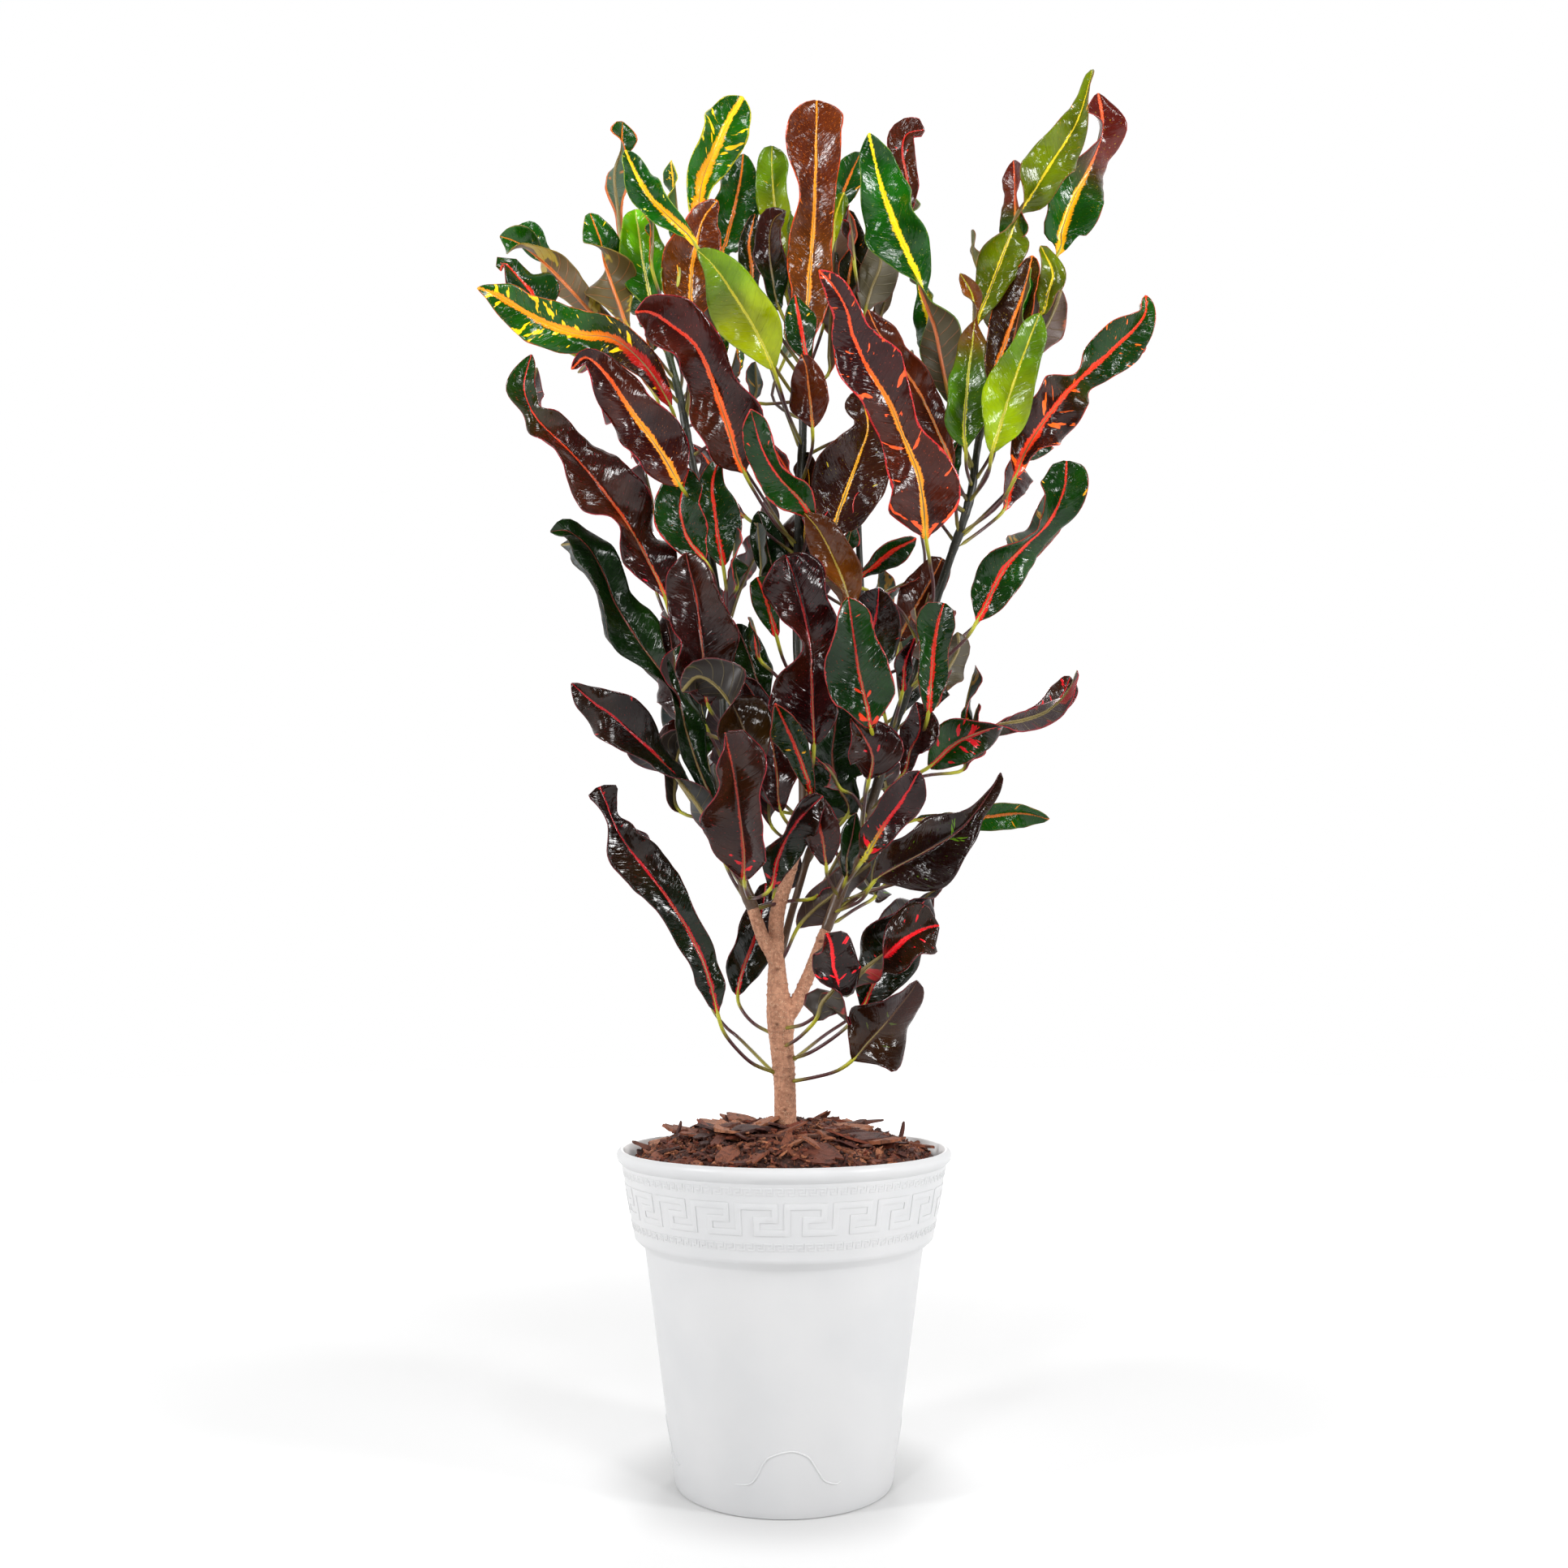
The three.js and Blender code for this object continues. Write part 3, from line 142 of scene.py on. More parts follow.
@dataclass(frozen=True)
class Eye:
    """The viewer that the stations are measured by: place in mm, pitch in radians, focal length in px."""

    y: float = -837
    z: float = 280
    pitch: float = 0.1325
    focal: float = 1750
    middle: float = 966

    def sight(self, stations: Sequence[Sequence[float]]) -> Array:
        """Turn stations into places on the plant.

        Args:
            stations: rows that start with px, py and depth.

        Returns:
            Places in mm, one row for each station.
        """
        px, py, depth = np.array([s[:3] for s in stations], float).T
        across = (px - self.middle) / self.focal
        up = (self.middle - py) / self.focal
        way = (depth - self.y) / (math.cos(self.pitch) - up * math.sin(self.pitch))
        rise = math.sin(self.pitch) + up * math.cos(self.pitch)
        return np.stack([way * across, depth, self.z + way * rise], axis=1)

    def pixel(self, depth: Array) -> Array:
        """Size in mm of one pixel at a depth."""
        return (depth - self.y) / self.focal


EYE = Eye()


@dataclass(frozen=True)
class Frames:
    """Places on a way, with the normal towards the viewer and the side at each."""

    at: Array
    normal: Array
    side: Array


def frames(points: Array, u: Array, roll: Array) -> Frames:
    """Frames along the smooth way through points.

    Args:
        points: the way's stations.
        u: where on the way.
        roll: turn about the tangent at each u, in radians.

    Returns:
        The frames, one row for each u.
    """
    step = 0.02
    last = len(points) - 1
    at = through(points, u)
    tangent = unit(through(points, np.minimum(u + step, last)) - through(points, np.maximum(u - step, 0)))
    to_eye = np.array([0, EYE.y, EYE.z]) - at
    facing = unit(to_eye - tangent * np.sum(to_eye * tangent, axis=1, keepdims=True))
    side = np.cross(tangent, facing)
    c, s = np.cos(roll)[:, None], np.sin(roll)[:, None]
    return Frames(at, facing * c + side * s, side * c - facing * s)


# ---------------------------------------------------------------- paint of the leaves


@dataclass(frozen=True)
class Paint:
    """Colours of a leaf, 0 to 255, with widths in mm.

    lamina turns into tip from the middle of the blade on. accent is the colour of blotches and speckles.
    """

    lamina: Rgb
    rib: Rgb
    edge: Rgb
    under: Rgb
    tip: Rgb | None = None
    rib_tip: Rgb | None = None
    accent: Rgb = (190, 70, 30)
    rib_width: float = 1.4
    edge_width: float = 0.55
    blotch: float = 0.0
    speckle: float = 0.25
    turn: float = 0.55
    under_rib: Rgb = (128, 112, 62)


class Look(Enum):
    """The leaf finishes that the plant has, from its young green tops to its dark lower leaves."""

    LIME = Paint((124, 142, 2), (186, 182, 40), (86, 118, 22), (120, 130, 50), tip=(78, 108, 4),
        accent=(226, 176, 34), blotch=0.05, speckle=0.2, rib_width=1.2, under_rib=(180, 180, 70))
    LIME_FOLD = Paint((39, 104, 5), (214, 214, 96), (150, 176, 40), (110, 140, 46), tip=(96, 156, 7),
        accent=(216, 200, 40), blotch=0.25, rib_width=1.3, edge_width=1.2)
    OLIVE = Paint((74, 84, 4), (226, 206, 40), (132, 70, 30), (120, 112, 68), tip=(86, 98, 5),
        accent=(226, 140, 34), blotch=0.12, rib_width=1.3)
    OLIVE_GREEN = Paint((53, 87, 5), (172, 176, 44), (96, 70, 26), (88, 80, 52), tip=(96, 48, 14),
        accent=(190, 190, 50), blotch=0.1, rib_width=1.2)
    GREEN = Paint((17, 75, 8), (120, 150, 60), (60, 100, 30), (66, 100, 70), accent=(226, 206, 50),
        blotch=0.2, rib_width=0.9)
    GOLD_BAND = Paint((20, 75, 5), (250, 164, 12), (216, 206, 40), (80, 104, 50), accent=(246, 196, 24),
        blotch=0.28, rib_width=5.2, edge_width=1.4, rib_tip=(244, 190, 30))
    GOLD_RIB = Paint((13, 73, 7), (246, 176, 20), (150, 176, 50), (70, 100, 60), accent=(226, 214, 60),
        blotch=0.34, rib_width=3.0, rib_tip=(240, 196, 30))
    YELLOW_RIB = Paint((13, 66, 5), (240, 216, 24), (110, 140, 40), (92, 58, 42), accent=(196, 206, 60),
        blotch=0.1, rib_width=3.8, under_rib=(190, 100, 50))
    MAROON_FLANK = Paint((18, 73, 6), (242, 180, 20), (170, 60, 50), (92, 56, 46), tip=(80, 20, 13),
        rib_tip=(214, 90, 50), accent=(236, 200, 40), blotch=0.15, rib_width=2.8, turn=0.5)
    YELLOW_TIP = Paint((40, 16, 12), (160, 22, 16), (206, 90, 30), (90, 70, 66), tip=(20, 73, 6),
        rib_tip=(250, 150, 20), accent=(246, 196, 20), blotch=0.5, rib_width=4.2, turn=0.42)
    GREEN_ORANGE = Paint((17, 67, 8), (226, 122, 30), (160, 120, 40), (76, 88, 58), accent=(232, 150, 30),
        blotch=0.3, rib_width=1.6)
    ORANGE_EDGE = Paint((18, 60, 8), (226, 126, 40), (232, 110, 30), (78, 92, 74), accent=(236, 120, 24),
        blotch=0.25, rib_width=1.4, edge_width=1.4)
    GREEN_RED = Paint((12, 46, 7), (222, 36, 24), (170, 44, 40), (74, 88, 80), accent=(240, 170, 30),
        blotch=0.22, rib_width=2.0, rib_tip=(220, 50, 30))
    PINK_EDGE = Paint((12, 45, 8), (206, 44, 40), (214, 52, 56), (88, 92, 88), accent=(230, 60, 30),
        blotch=0.28, rib_width=1.2, edge_width=1.2)
    RED_SPLIT = Paint((42, 13, 10), (226, 60, 30), (200, 60, 40), (92, 70, 66), tip=(14, 49, 6),
        rib_tip=(236, 56, 30), accent=(240, 100, 30), blotch=0.4, rib_width=2.6, turn=0.5)
    BLACK_GREEN = Paint((13, 35, 7), (126, 60, 56), (72, 50, 40), (84, 92, 90), accent=(70, 110, 40),
        blotch=0.1, rib_width=0.9)
    BLACK_ORANGE = Paint((22, 26, 7), (214, 116, 34), (120, 60, 34), (78, 66, 58), accent=(216, 110, 30),
        blotch=0.2, rib_width=1.6)
    BLACK_RED = Paint((15, 24, 7), (206, 26, 40), (124, 26, 36), (78, 70, 74), accent=(196, 24, 30),
        blotch=0.2, rib_width=1.5, tip=(33, 13, 11))
    BLACK_CURL = Paint((15, 39, 7), (120, 100, 50), (110, 40, 50), (74, 66, 68), tip=(44, 15, 13),
        rib_width=0.9, turn=0.4)
    BRONZE = Paint((78, 38, 8), (232, 150, 30), (222, 78, 24), (96, 66, 44), tip=(84, 34, 10),
        accent=(206, 104, 28), speckle=0.72, rib_width=2.0, edge_width=1.2, blotch=0.08)
    BRONZE_UNDER = Paint((20, 69, 7), (226, 130, 30), (150, 120, 40), (120, 82, 44), accent=(230, 200, 40),
        blotch=0.35, rib_width=1.2, under_rib=(226, 120, 40))
    BROWN = Paint((60, 21, 11), (196, 106, 44), (136, 50, 34), (92, 66, 54), accent=(206, 96, 34),
        blotch=0.12, rib_width=1.2)
    BROWN_ORANGE = Paint((48, 21, 9), (236, 130, 36), (222, 90, 30), (86, 66, 54), accent=(226, 190, 40),
        blotch=0.22, rib_width=2.0, edge_width=1.0)
    BROWN_GOLD = Paint((46, 17, 9), (232, 168, 40), (110, 44, 30), (88, 66, 52), accent=(190, 170, 50),
        blotch=0.08, rib_width=1.5)
    BROWN_RED = Paint((61, 21, 13), (196, 44, 36), (176, 40, 40), (92, 62, 56), accent=(216, 50, 30),
        blotch=0.25, rib_width=1.2)
    OLIVE_BROWN = Paint((84, 39, 13), (176, 156, 60), (110, 50, 34), (92, 76, 52), accent=(160, 150, 50),
        blotch=0.15, rib_width=1.0)
    GREY_UNDER = Paint((46, 58, 10), (150, 120, 50), (110, 60, 40), (104, 88, 70), accent=(190, 120, 40),
        blotch=0.1, rib_width=1.0)
    MAROON_GOLD = Paint((44, 12, 8), (240, 146, 34), (190, 30, 50), (92, 72, 72), accent=(226, 120, 40),
        blotch=0.08, rib_width=2.3, rib_tip=(226, 90, 40))
    MAROON_ORANGE = Paint((42, 12, 9), (232, 96, 32), (180, 34, 50), (92, 66, 66), accent=(232, 60, 50),
        blotch=0.1, rib_width=2.3, tip=(55, 13, 13), rib_tip=(216, 60, 40))
    MAROON_HOT = Paint((52, 15, 7), (240, 150, 34), (214, 48, 50), (96, 70, 66), accent=(240, 84, 36),
        blotch=0.32, rib_width=2.2, tip=(44, 13, 12), rib_tip=(236, 80, 34), edge_width=1.6)
    MAROON_RED = Paint((41, 11, 10), (176, 30, 34), (140, 26, 40), (92, 70, 74), accent=(214, 30, 50),
        blotch=0.14, rib_width=1.0)
    MAROON_LONG = Paint((46, 15, 10), (204, 66, 32), (160, 36, 46), (96, 80, 84), accent=(222, 34, 60),
        blotch=0.1, rib_width=1.1, tip=(13, 44, 8), rib_tip=(222, 34, 34), turn=0.8)
    MAROON_PINK = Paint((42, 13, 11), (178, 60, 46), (156, 30, 42), (92, 70, 74), accent=(210, 30, 44),
        blotch=0.16, rib_width=1.0)
    MAROON_LIME = Paint((39, 16, 13), (110, 40, 40), (90, 40, 44), (88, 74, 76), accent=(90, 130, 20),
        blotch=0.52, rib_width=0.9)
    GREY_RED = Paint((58, 27, 22), (198, 60, 40), (190, 30, 50), (92, 84, 60), accent=(236, 20, 36),
        blotch=0.2, rib_width=1.2)
    LOW_RED = Paint((40, 20, 18), (216, 14, 32), (130, 26, 38), (80, 66, 54), accent=(222, 20, 34),
        blotch=0.34, rib_width=2.6, rib_tip=(226, 24, 34))
    OLIVE_MAROON = Paint((50, 26, 11), (88, 60, 38), (120, 36, 40), (32, 29, 17), accent=(76, 84, 30),
        blotch=0.14, rib_width=1.1, tip=(50, 16, 13))
    RED_PATCH = Paint((61, 34, 10), (216, 200, 50), (160, 36, 44), (88, 70, 62), accent=(226, 30, 44),
        blotch=0.42, rib_width=1.8, tip=(48, 15, 13), rib_tip=(226, 30, 40), turn=0.3)
    RED_SPOTS = Paint((22, 62, 8), (206, 34, 40), (196, 30, 50), (96, 72, 78), accent=(226, 30, 40),
        blotch=0.42, rib_width=1.4, tip=(46, 18, 15), turn=0.35)


@dataclass(frozen=True)
class Leaf:
    """A leaf: where it grows, the way of its petiole, its blade's stations and its finish.

    root is the py along the stem, or px, py and depth on the trunk. via holds petiole stations. blade holds
    px, py, half width in px and, where it changes, the roll in degrees (0 shows the upper face). depth is
    spread evenly from the blade's base to its tip.
    """

    look: Look
    root: float | Station
    via: Sequence[Station]
    blade: Sequence[Station]
    depth: Station
    fold: float = 0.34
    wave: float = 2.2
    far: bool = False


@dataclass(frozen=True)
class Back:
    """How a leaf of the far side is made from a near one."""

    mirror: float = 30
    shrink: float = 0.87
    lower: float = 9
    lean: float = 26
    turn: float = 48

    def behind(self, leaf: Leaf, index: int) -> Leaf:
        """Mirror a leaf in depth, lean it back, turn it and make it smaller.

        Args:
            leaf: the near leaf.
            index: its place among the far leaves of its stem.

        Returns:
            The far leaf.
        """
        turn = self.turn if index % 2 else -self.turn
        middle = leaf.blade[len(leaf.blade) // 2]

        def shrunk(px: float, py: float) -> tuple[float, float]:
            """Draw a point towards the middle of the leaf."""
            return tuple(m + (v - m) * self.shrink for m, v in zip(middle, (px, py)))

        def station(px: float, py: float, half: float, *roll: float) -> Station:
            """Shrink and turn a station of the blade."""
            return (*shrunk(px, py), half * self.shrink, *(180 - r + turn for r in roll))

        root = leaf.root
        lower = (root[0], root[1] + self.lower, 0) if isinstance(root, tuple) else root + self.lower
        via = [(*shrunk(px, py), self.mirror - depth) for px, py, depth in leaf.via]
        blade = [station(*s) for s in leaf.blade]
        depth = tuple(self.mirror - d + i * self.lean for i, d in enumerate(leaf.depth))
        return Leaf(leaf.look, lower, via, blade, depth, leaf.fold, leaf.wave, True)


# Ways of the woody stems and of the leafy ones: px, py, depth, radius in mm.
WOOD: dict[str, list[Station]] = {
    "trunk": [(968, 1395, 0, 6.5), (967, 1340, 0, 6.2), (963, 1290, 0, 6.8), (961, 1250, 0, 7.8),
        (958, 1215, 1, 5.9), (957, 1180, 2, 4.8), (957, 1130, 4, 4.3), (968, 1090, 6, 4.1),
        (981, 1045, 8, 4)],
    "left_branch": [(957, 1205, 0, 3.2), (953, 1180, -1, 4), (940, 1155, -2, 3.9), (927, 1118, -3, 3.7)],
    "right_branch": [(964, 1262, 0, 3.4), (974, 1248, 0, 4.3), (985, 1228, 0, 4.1), (1003, 1185, 1, 3.8),
        (1018, 1145, 2, 3.6)],
}
STEMS: dict[str, list[Station]] = {
    "left": [(927, 1118, -3, 3.3), (915, 1085, -4, 3.2), (905, 1030, -5, 3), (895, 950, -6, 3),
        (893, 870, -6, 2.9), (890, 790, -6, 2.8), (877, 695, -7, 2.6), (866, 645, -8, 2.5),
        (858, 595, -8, 2.4), (848, 545, -9, 2.3), (838, 490, -10, 2.1), (825, 440, -10, 1.9),
        (817, 405, -10, 1.6)],
    "centre": [(981, 1045, 8, 3.4), (990, 1005, 8, 3.4), (990, 950, 8, 3.2), (985, 850, 8, 3.1),
        (983, 760, 8, 3), (984, 680, 9, 2.9), (986, 600, 9, 2.7), (989, 540, 10, 2.5), (990, 480, 10, 2.3),
        (991, 420, 9, 2.1), (991, 350, 8, 1.7)],
    "slim": [(963, 1173, 6.5, 2.3), (973, 1133, 17, 2.2), (986, 1088, 25, 2.2), (998, 1048, 26, 2.2),
        (1022, 990, 26, 2.2), (1032, 940, 27, 2.1), (1045, 895, 27, 2.1), (1060, 850, 27, 2.1),
        (1062, 760, 27, 2), (1058, 660, 27, 2), (1056, 560, 26, 1.9), (1057, 480, 25, 1.8),
        (1065, 395, 22, 1.6)],
    "right": [(1018, 1145, 2, 3.1), (1035, 1100, 3, 3), (1050, 1065, 3, 2.9), (1068, 1010, 3, 2.8),
        (1080, 970, 4, 2.8), (1100, 900, 4, 2.8), (1118, 850, 4, 2.7), (1135, 795, 4, 2.7),
        (1155, 735, 4, 2.6), (1170, 690, 5, 2.5), (1186, 645, 5, 2.4), (1197, 605, 5, 2.3),
        (1203, 560, 5, 2.2), (1212, 510, 7, 2), (1228, 455, 9, 1.9), (1246, 410, 11, 1.8),
        (1262, 372, 13, 1.6)],
}

# Leaves by stem, in the terms that Leaf gives.
LEFT_LEAVES: dict[str, Leaf] = {
    "top_curl": Leaf(Look.ORANGE_EDGE, 425, [(798, 350, -6)], [(768, 300, 4, 160), (762, 262, 5),
        (757, 215, 17, 165), (766, 186, 11, 90), (766, 168, 17, 20), (767, 150, 6)], (4, 2)),
    "bronze_curl": Leaf(Look.BRONZE_UNDER, 470, [(805, 435, -18)], [(775, 405, 4, 180), (764, 378, 14),
        (752, 345, 33, 170), (745, 322, 25, 100), (740, 298, 22, 30), (727, 263, 6)], (-22, -24)),
    "lime_fold": Leaf(Look.LIME_FOLD, 440, [(808, 412, -12)], [(805, 385, 5, 0), (797, 345, 25),
        (789, 305, 28), (785, 275, 17), (783, 258, 5)], (-13, -16)),
    "bronze_tall": Leaf(Look.BRONZE, 520, [(853, 450, -14)], [(850, 400, 8, 0), (851, 365, 31),
        (853, 330, 35), (858, 298, 28), (866, 270, 18), (884, 247, 4)], (-20, -24)),
    "gold_tall": Leaf(Look.GOLD_BAND, 412, [(842, 368, 2)], [(860, 325, 4, 0), (860, 270, 10),
        (866, 222, 20), (880, 185, 27), (895, 155, 28), (908, 133, 18), (915, 119, 3)], (7, 4)),
    "far_green": Leaf(Look.BRONZE_UNDER, 500, [(815, 474, -14)], [(790, 450, 4, 175), (740, 398, 12),
        (710, 365, 17, 170), (682, 335, 23, 150), (657, 312, 20, 60), (634, 297, 16, 10), (616, 291, 3)],
        (-14, -10)),
    "far_lobe": Leaf(Look.GREEN, 480, [(795, 440, 4), (735, 372, 8)], [(690, 330, 4, 0), (664, 305, 15),
        (650, 286, 15), (642, 276, 4)], (8, 8)),
    "far_red_rib": Leaf(Look.GREEN_RED, 535, [(800, 490, -28), (745, 455, -31)], [(692, 427, 6, 35),
        (665, 388, 20), (655, 362, 30), (638, 342, 24), (622, 325, 12), (617, 334, 3)], (-30, -30)),
    "far_yellow_tip": Leaf(Look.YELLOW_TIP, 550, [(836, 530, -26)], [(826, 500, 6, 15), (795, 450, 18),
        (757, 418, 22, 10), (720, 413, 24, 0), (690, 405, 28), (655, 388, 26), (625, 371, 19), (603, 360, 9),
        (588, 355, 3)], (-38, -46)),
    "maroon_gold_rib": Leaf(Look.MAROON_GOLD, 640, [(852, 618, -28)], [(838, 598, 8, 0), (820, 567, 32),
        (793, 527, 33), (765, 487, 28), (742, 457, 19), (722, 441, 9), (704, 455, 3)], (-44, -56), wave=3.2),
    "maroon_long": Leaf(Look.MAROON_LONG, 860, [(848, 805, -14), (828, 765, -24)], [(819, 735, 6, 30),
        (803, 700, 30), (775, 650, 38), (740, 600, 36), (705, 560, 30), (672, 528, 22), (655, 505, 12, 0),
        (646, 475, 17, -40), (655, 437, 4)], (-27, -34), wave=3.2),
    "hook_green": Leaf(Look.BLACK_GREEN, 1020, [], [(885, 1000, 5, 20), (862, 950, 11), (845, 900, 22),
        (833, 855, 12, 60), (805, 815, 16, 20), (780, 780, 33, 0), (757, 742, 22, 40), (745, 710, 20),
        (725, 675, 21, 20), (700, 655, 14), (678, 655, 4)], (-12, -24), wave=3.2),
    "pink_margin": Leaf(Look.PINK_EDGE, 745, [(880, 712, -22)], [(868, 690, 6, 0), (848, 665, 26),
        (838, 630, 29), (842, 600, 23), (849, 577, 5)], (-30, -32)),
    "red_rib_short": Leaf(Look.GREEN_RED, 800, [(896, 745, -16)], [(891, 697, 6, 0), (885, 665, 25),
        (881, 630, 28), (878, 598, 16), (885, 566, 4)], (-20, -20)),
    "maroon_upright": Leaf(Look.MAROON_PINK, 900, [], [(872, 868, 8, 0), (868, 830, 33), (863, 780, 36),
        (858, 735, 31), (850, 703, 22), (845, 681, 4)], (-40, -48), fold=0.5, wave=3.4),
    "tucked_maroon": Leaf(Look.OLIVE_MAROON, 1000, [], [(915, 982, 8, 0), (925, 930, 24), (908, 880, 38, 20),
        (885, 848, 34, 150), (860, 834, 20, 175), (840, 852, 4)], (-48, -60)),
    "grey_front": Leaf(Look.GREY_RED, 1108, [(919, 1098, -40)], [(917, 1084, 5, -15), (917, 1050, 30),
        (913, 1010, 36), (906, 965, 27, -10), (898, 930, 28, 25), (893, 903, 17, 60)], (-72, -118), fold=0.6,
        wave=3.2),
    "red_rib_wide": Leaf(Look.BLACK_RED, 1095, [(903, 1072, -14)], [(889, 1040, 5, 150), (865, 1000, 15),
        (838, 962, 17, 120), (812, 935, 16, 50), (785, 910, 28, 0), (755, 882, 30), (730, 864, 17),
        (704, 842, 3)], (-20, -34), wave=3.6),
    "dark_behind": Leaf(Look.BLACK_GREEN, 930, [], [(938, 875, 6, 0), (930, 830, 21), (918, 795, 19),
        (908, 769, 4)], (22, 30)),
    "black_fold": Leaf(Look.BLACK_RED, 1106, [(934, 1106, -26)], [(950, 1094, 5, 0), (957, 1062, 17, 20),
        (969, 1032, 23, 35), (987, 1005, 19, 10), (1014, 981, 7)], (-34, -60), fold=0.6, wave=3.4),
}
CENTRE_LEAVES: dict[str, Leaf] = {
    "lime_upright": Leaf(Look.LIME, 430, [(976, 372, 22)], [(965, 330, 6, 0), (958, 280, 17), (953, 235, 20),
        (951, 200, 17), (951, 180, 7)], (28, 24)),
    "bronze_tower": Leaf(Look.BRONZE, 470, [], [(990, 430, 6, 0), (993, 395, 20), (997, 345, 27),
        (1001, 300, 27), (1003, 262, 23), (1004, 228, 24), (1006, 190, 33), (1006, 150, 30),
        (1006, 124, 12)], (-12, -26), wave=1.2),
    "green_behind": Leaf(Look.GREEN_ORANGE, 380, [(1008, 318, 22)], [(1028, 264, 5, 0), (1041, 232, 21),
        (1051, 208, 18), (1060, 188, 4)], (28, 26)),
    "lime_small": Leaf(Look.LIME, 400, [(1012, 345, 8)], [(1026, 300, 3, 0), (1029, 272, 9), (1035, 250, 9),
        (1040, 237, 3)], (4, 2)),
    "black_curl": Leaf(Look.BLACK_CURL, 440, [], [(961, 382, 5, 0), (952, 345, 18), (948, 300, 19),
        (953, 272, 18, -40), (968, 260, 5, -80)], (-2, -2)),
    "dark_narrow": Leaf(Look.BLACK_ORANGE, 455, [(955, 405, 16)], [(931, 362, 5, 0), (926, 330, 13),
        (923, 300, 13), (930, 264, 3)], (18, 18)),
    "green_gold": Leaf(Look.GREEN_ORANGE, 470, [(935, 395, 30)], [(892, 322, 7, 0), (896, 295, 26),
        (905, 255, 29), (913, 215, 19), (916, 190, 4)], (34, 32)),
    "gold_rib_gloss": Leaf(Look.GOLD_RIB, 505, [(920, 400, -37)], [(858, 303, 4, 10), (838, 280, 10),
        (815, 258, 17), (797, 238, 20), (783, 215, 19), (776, 200, 13), (770, 185, 3)], (-42, -58)),
    "lime_front": Leaf(Look.LIME, 550, [(972, 512, -20), (962, 482, -42)], [(953, 455, 5, 0), (940, 425, 25),
        (920, 388, 37), (897, 352, 31), (877, 325, 17), (859, 308, 4)], (-62, -108), wave=0.8),
    "maroon_heavy": Leaf(Look.MAROON_ORANGE, 672, [(955, 645, -6), (928, 603, -20)], [(917, 582, 6, 0),
        (905, 555, 30), (893, 515, 42), (878, 470, 30), (860, 430, 30), (830, 403, 33), (802, 385, 24),
        (783, 384, 9)], (-28, -84)),
    "red_rib_small": Leaf(Look.GREEN_RED, 480, [], [(994, 448, 4, 0), (990, 420, 18), (985, 393, 19),
        (979, 364, 4)], (-32, -38)),
    "brown_small": Leaf(Look.BROWN, 600, [(1000, 556, -18)], [(1001, 527, 5, 0), (999, 500, 26),
        (996, 470, 22), (992, 448, 11), (987, 437, 3)], (-34, -44)),
    "crossing_green": Leaf(Look.PINK_EDGE, 700, [(994, 665, -10)], [(1000, 640, 5, -20), (985, 615, 19),
        (962, 590, 23), (940, 555, 21), (929, 520, 13), (925, 504, 3)], (-36, -68)),
    "green_gap": Leaf(Look.BLACK_GREEN, 785, [], [(960, 728, 5, 0), (949, 690, 20), (942, 655, 17),
        (934, 630, 3)], (22, 26)),
    "red_rib_round": Leaf(Look.GREEN_RED, 850, [(966, 815, -8)], [(957, 785, 4, 0), (950, 760, 13),
        (942, 735, 18), (936, 719, 14), (933, 711, 6)], (-20, -22), wave=1),
    "great_maroon": Leaf(Look.MAROON_RED, 1000, [(1000, 955, -20)], [(1003, 918, 6, 0), (1002, 880, 36),
        (1000, 840, 44), (998, 800, 32, 25), (990, 755, 30, 20), (980, 715, 36, 0), (968, 684, 16)],
        (-52, -66), fold=0.56, wave=3.4),
    "red_splash": Leaf(Look.GREEN_RED, 1005, [], [(999, 980, 4, -20), (990, 945, 13), (977, 912, 18),
        (964, 885, 15), (955, 867, 3)], (-44, -84)),
    "dark_green_gap": Leaf(Look.BLACK_GREEN, 760, [], [(978, 722, 5, 0), (984, 690, 20), (992, 655, 19),
        (996, 625, 4)], (34, 40)),
    "dark_maroon": Leaf(Look.MAROON_PINK, 1030, [], [(962, 1000, 6, 0), (957, 950, 24), (945, 890, 21),
        (925, 850, 13), (912, 836, 3)], (-20, -34), wave=3.2),
}
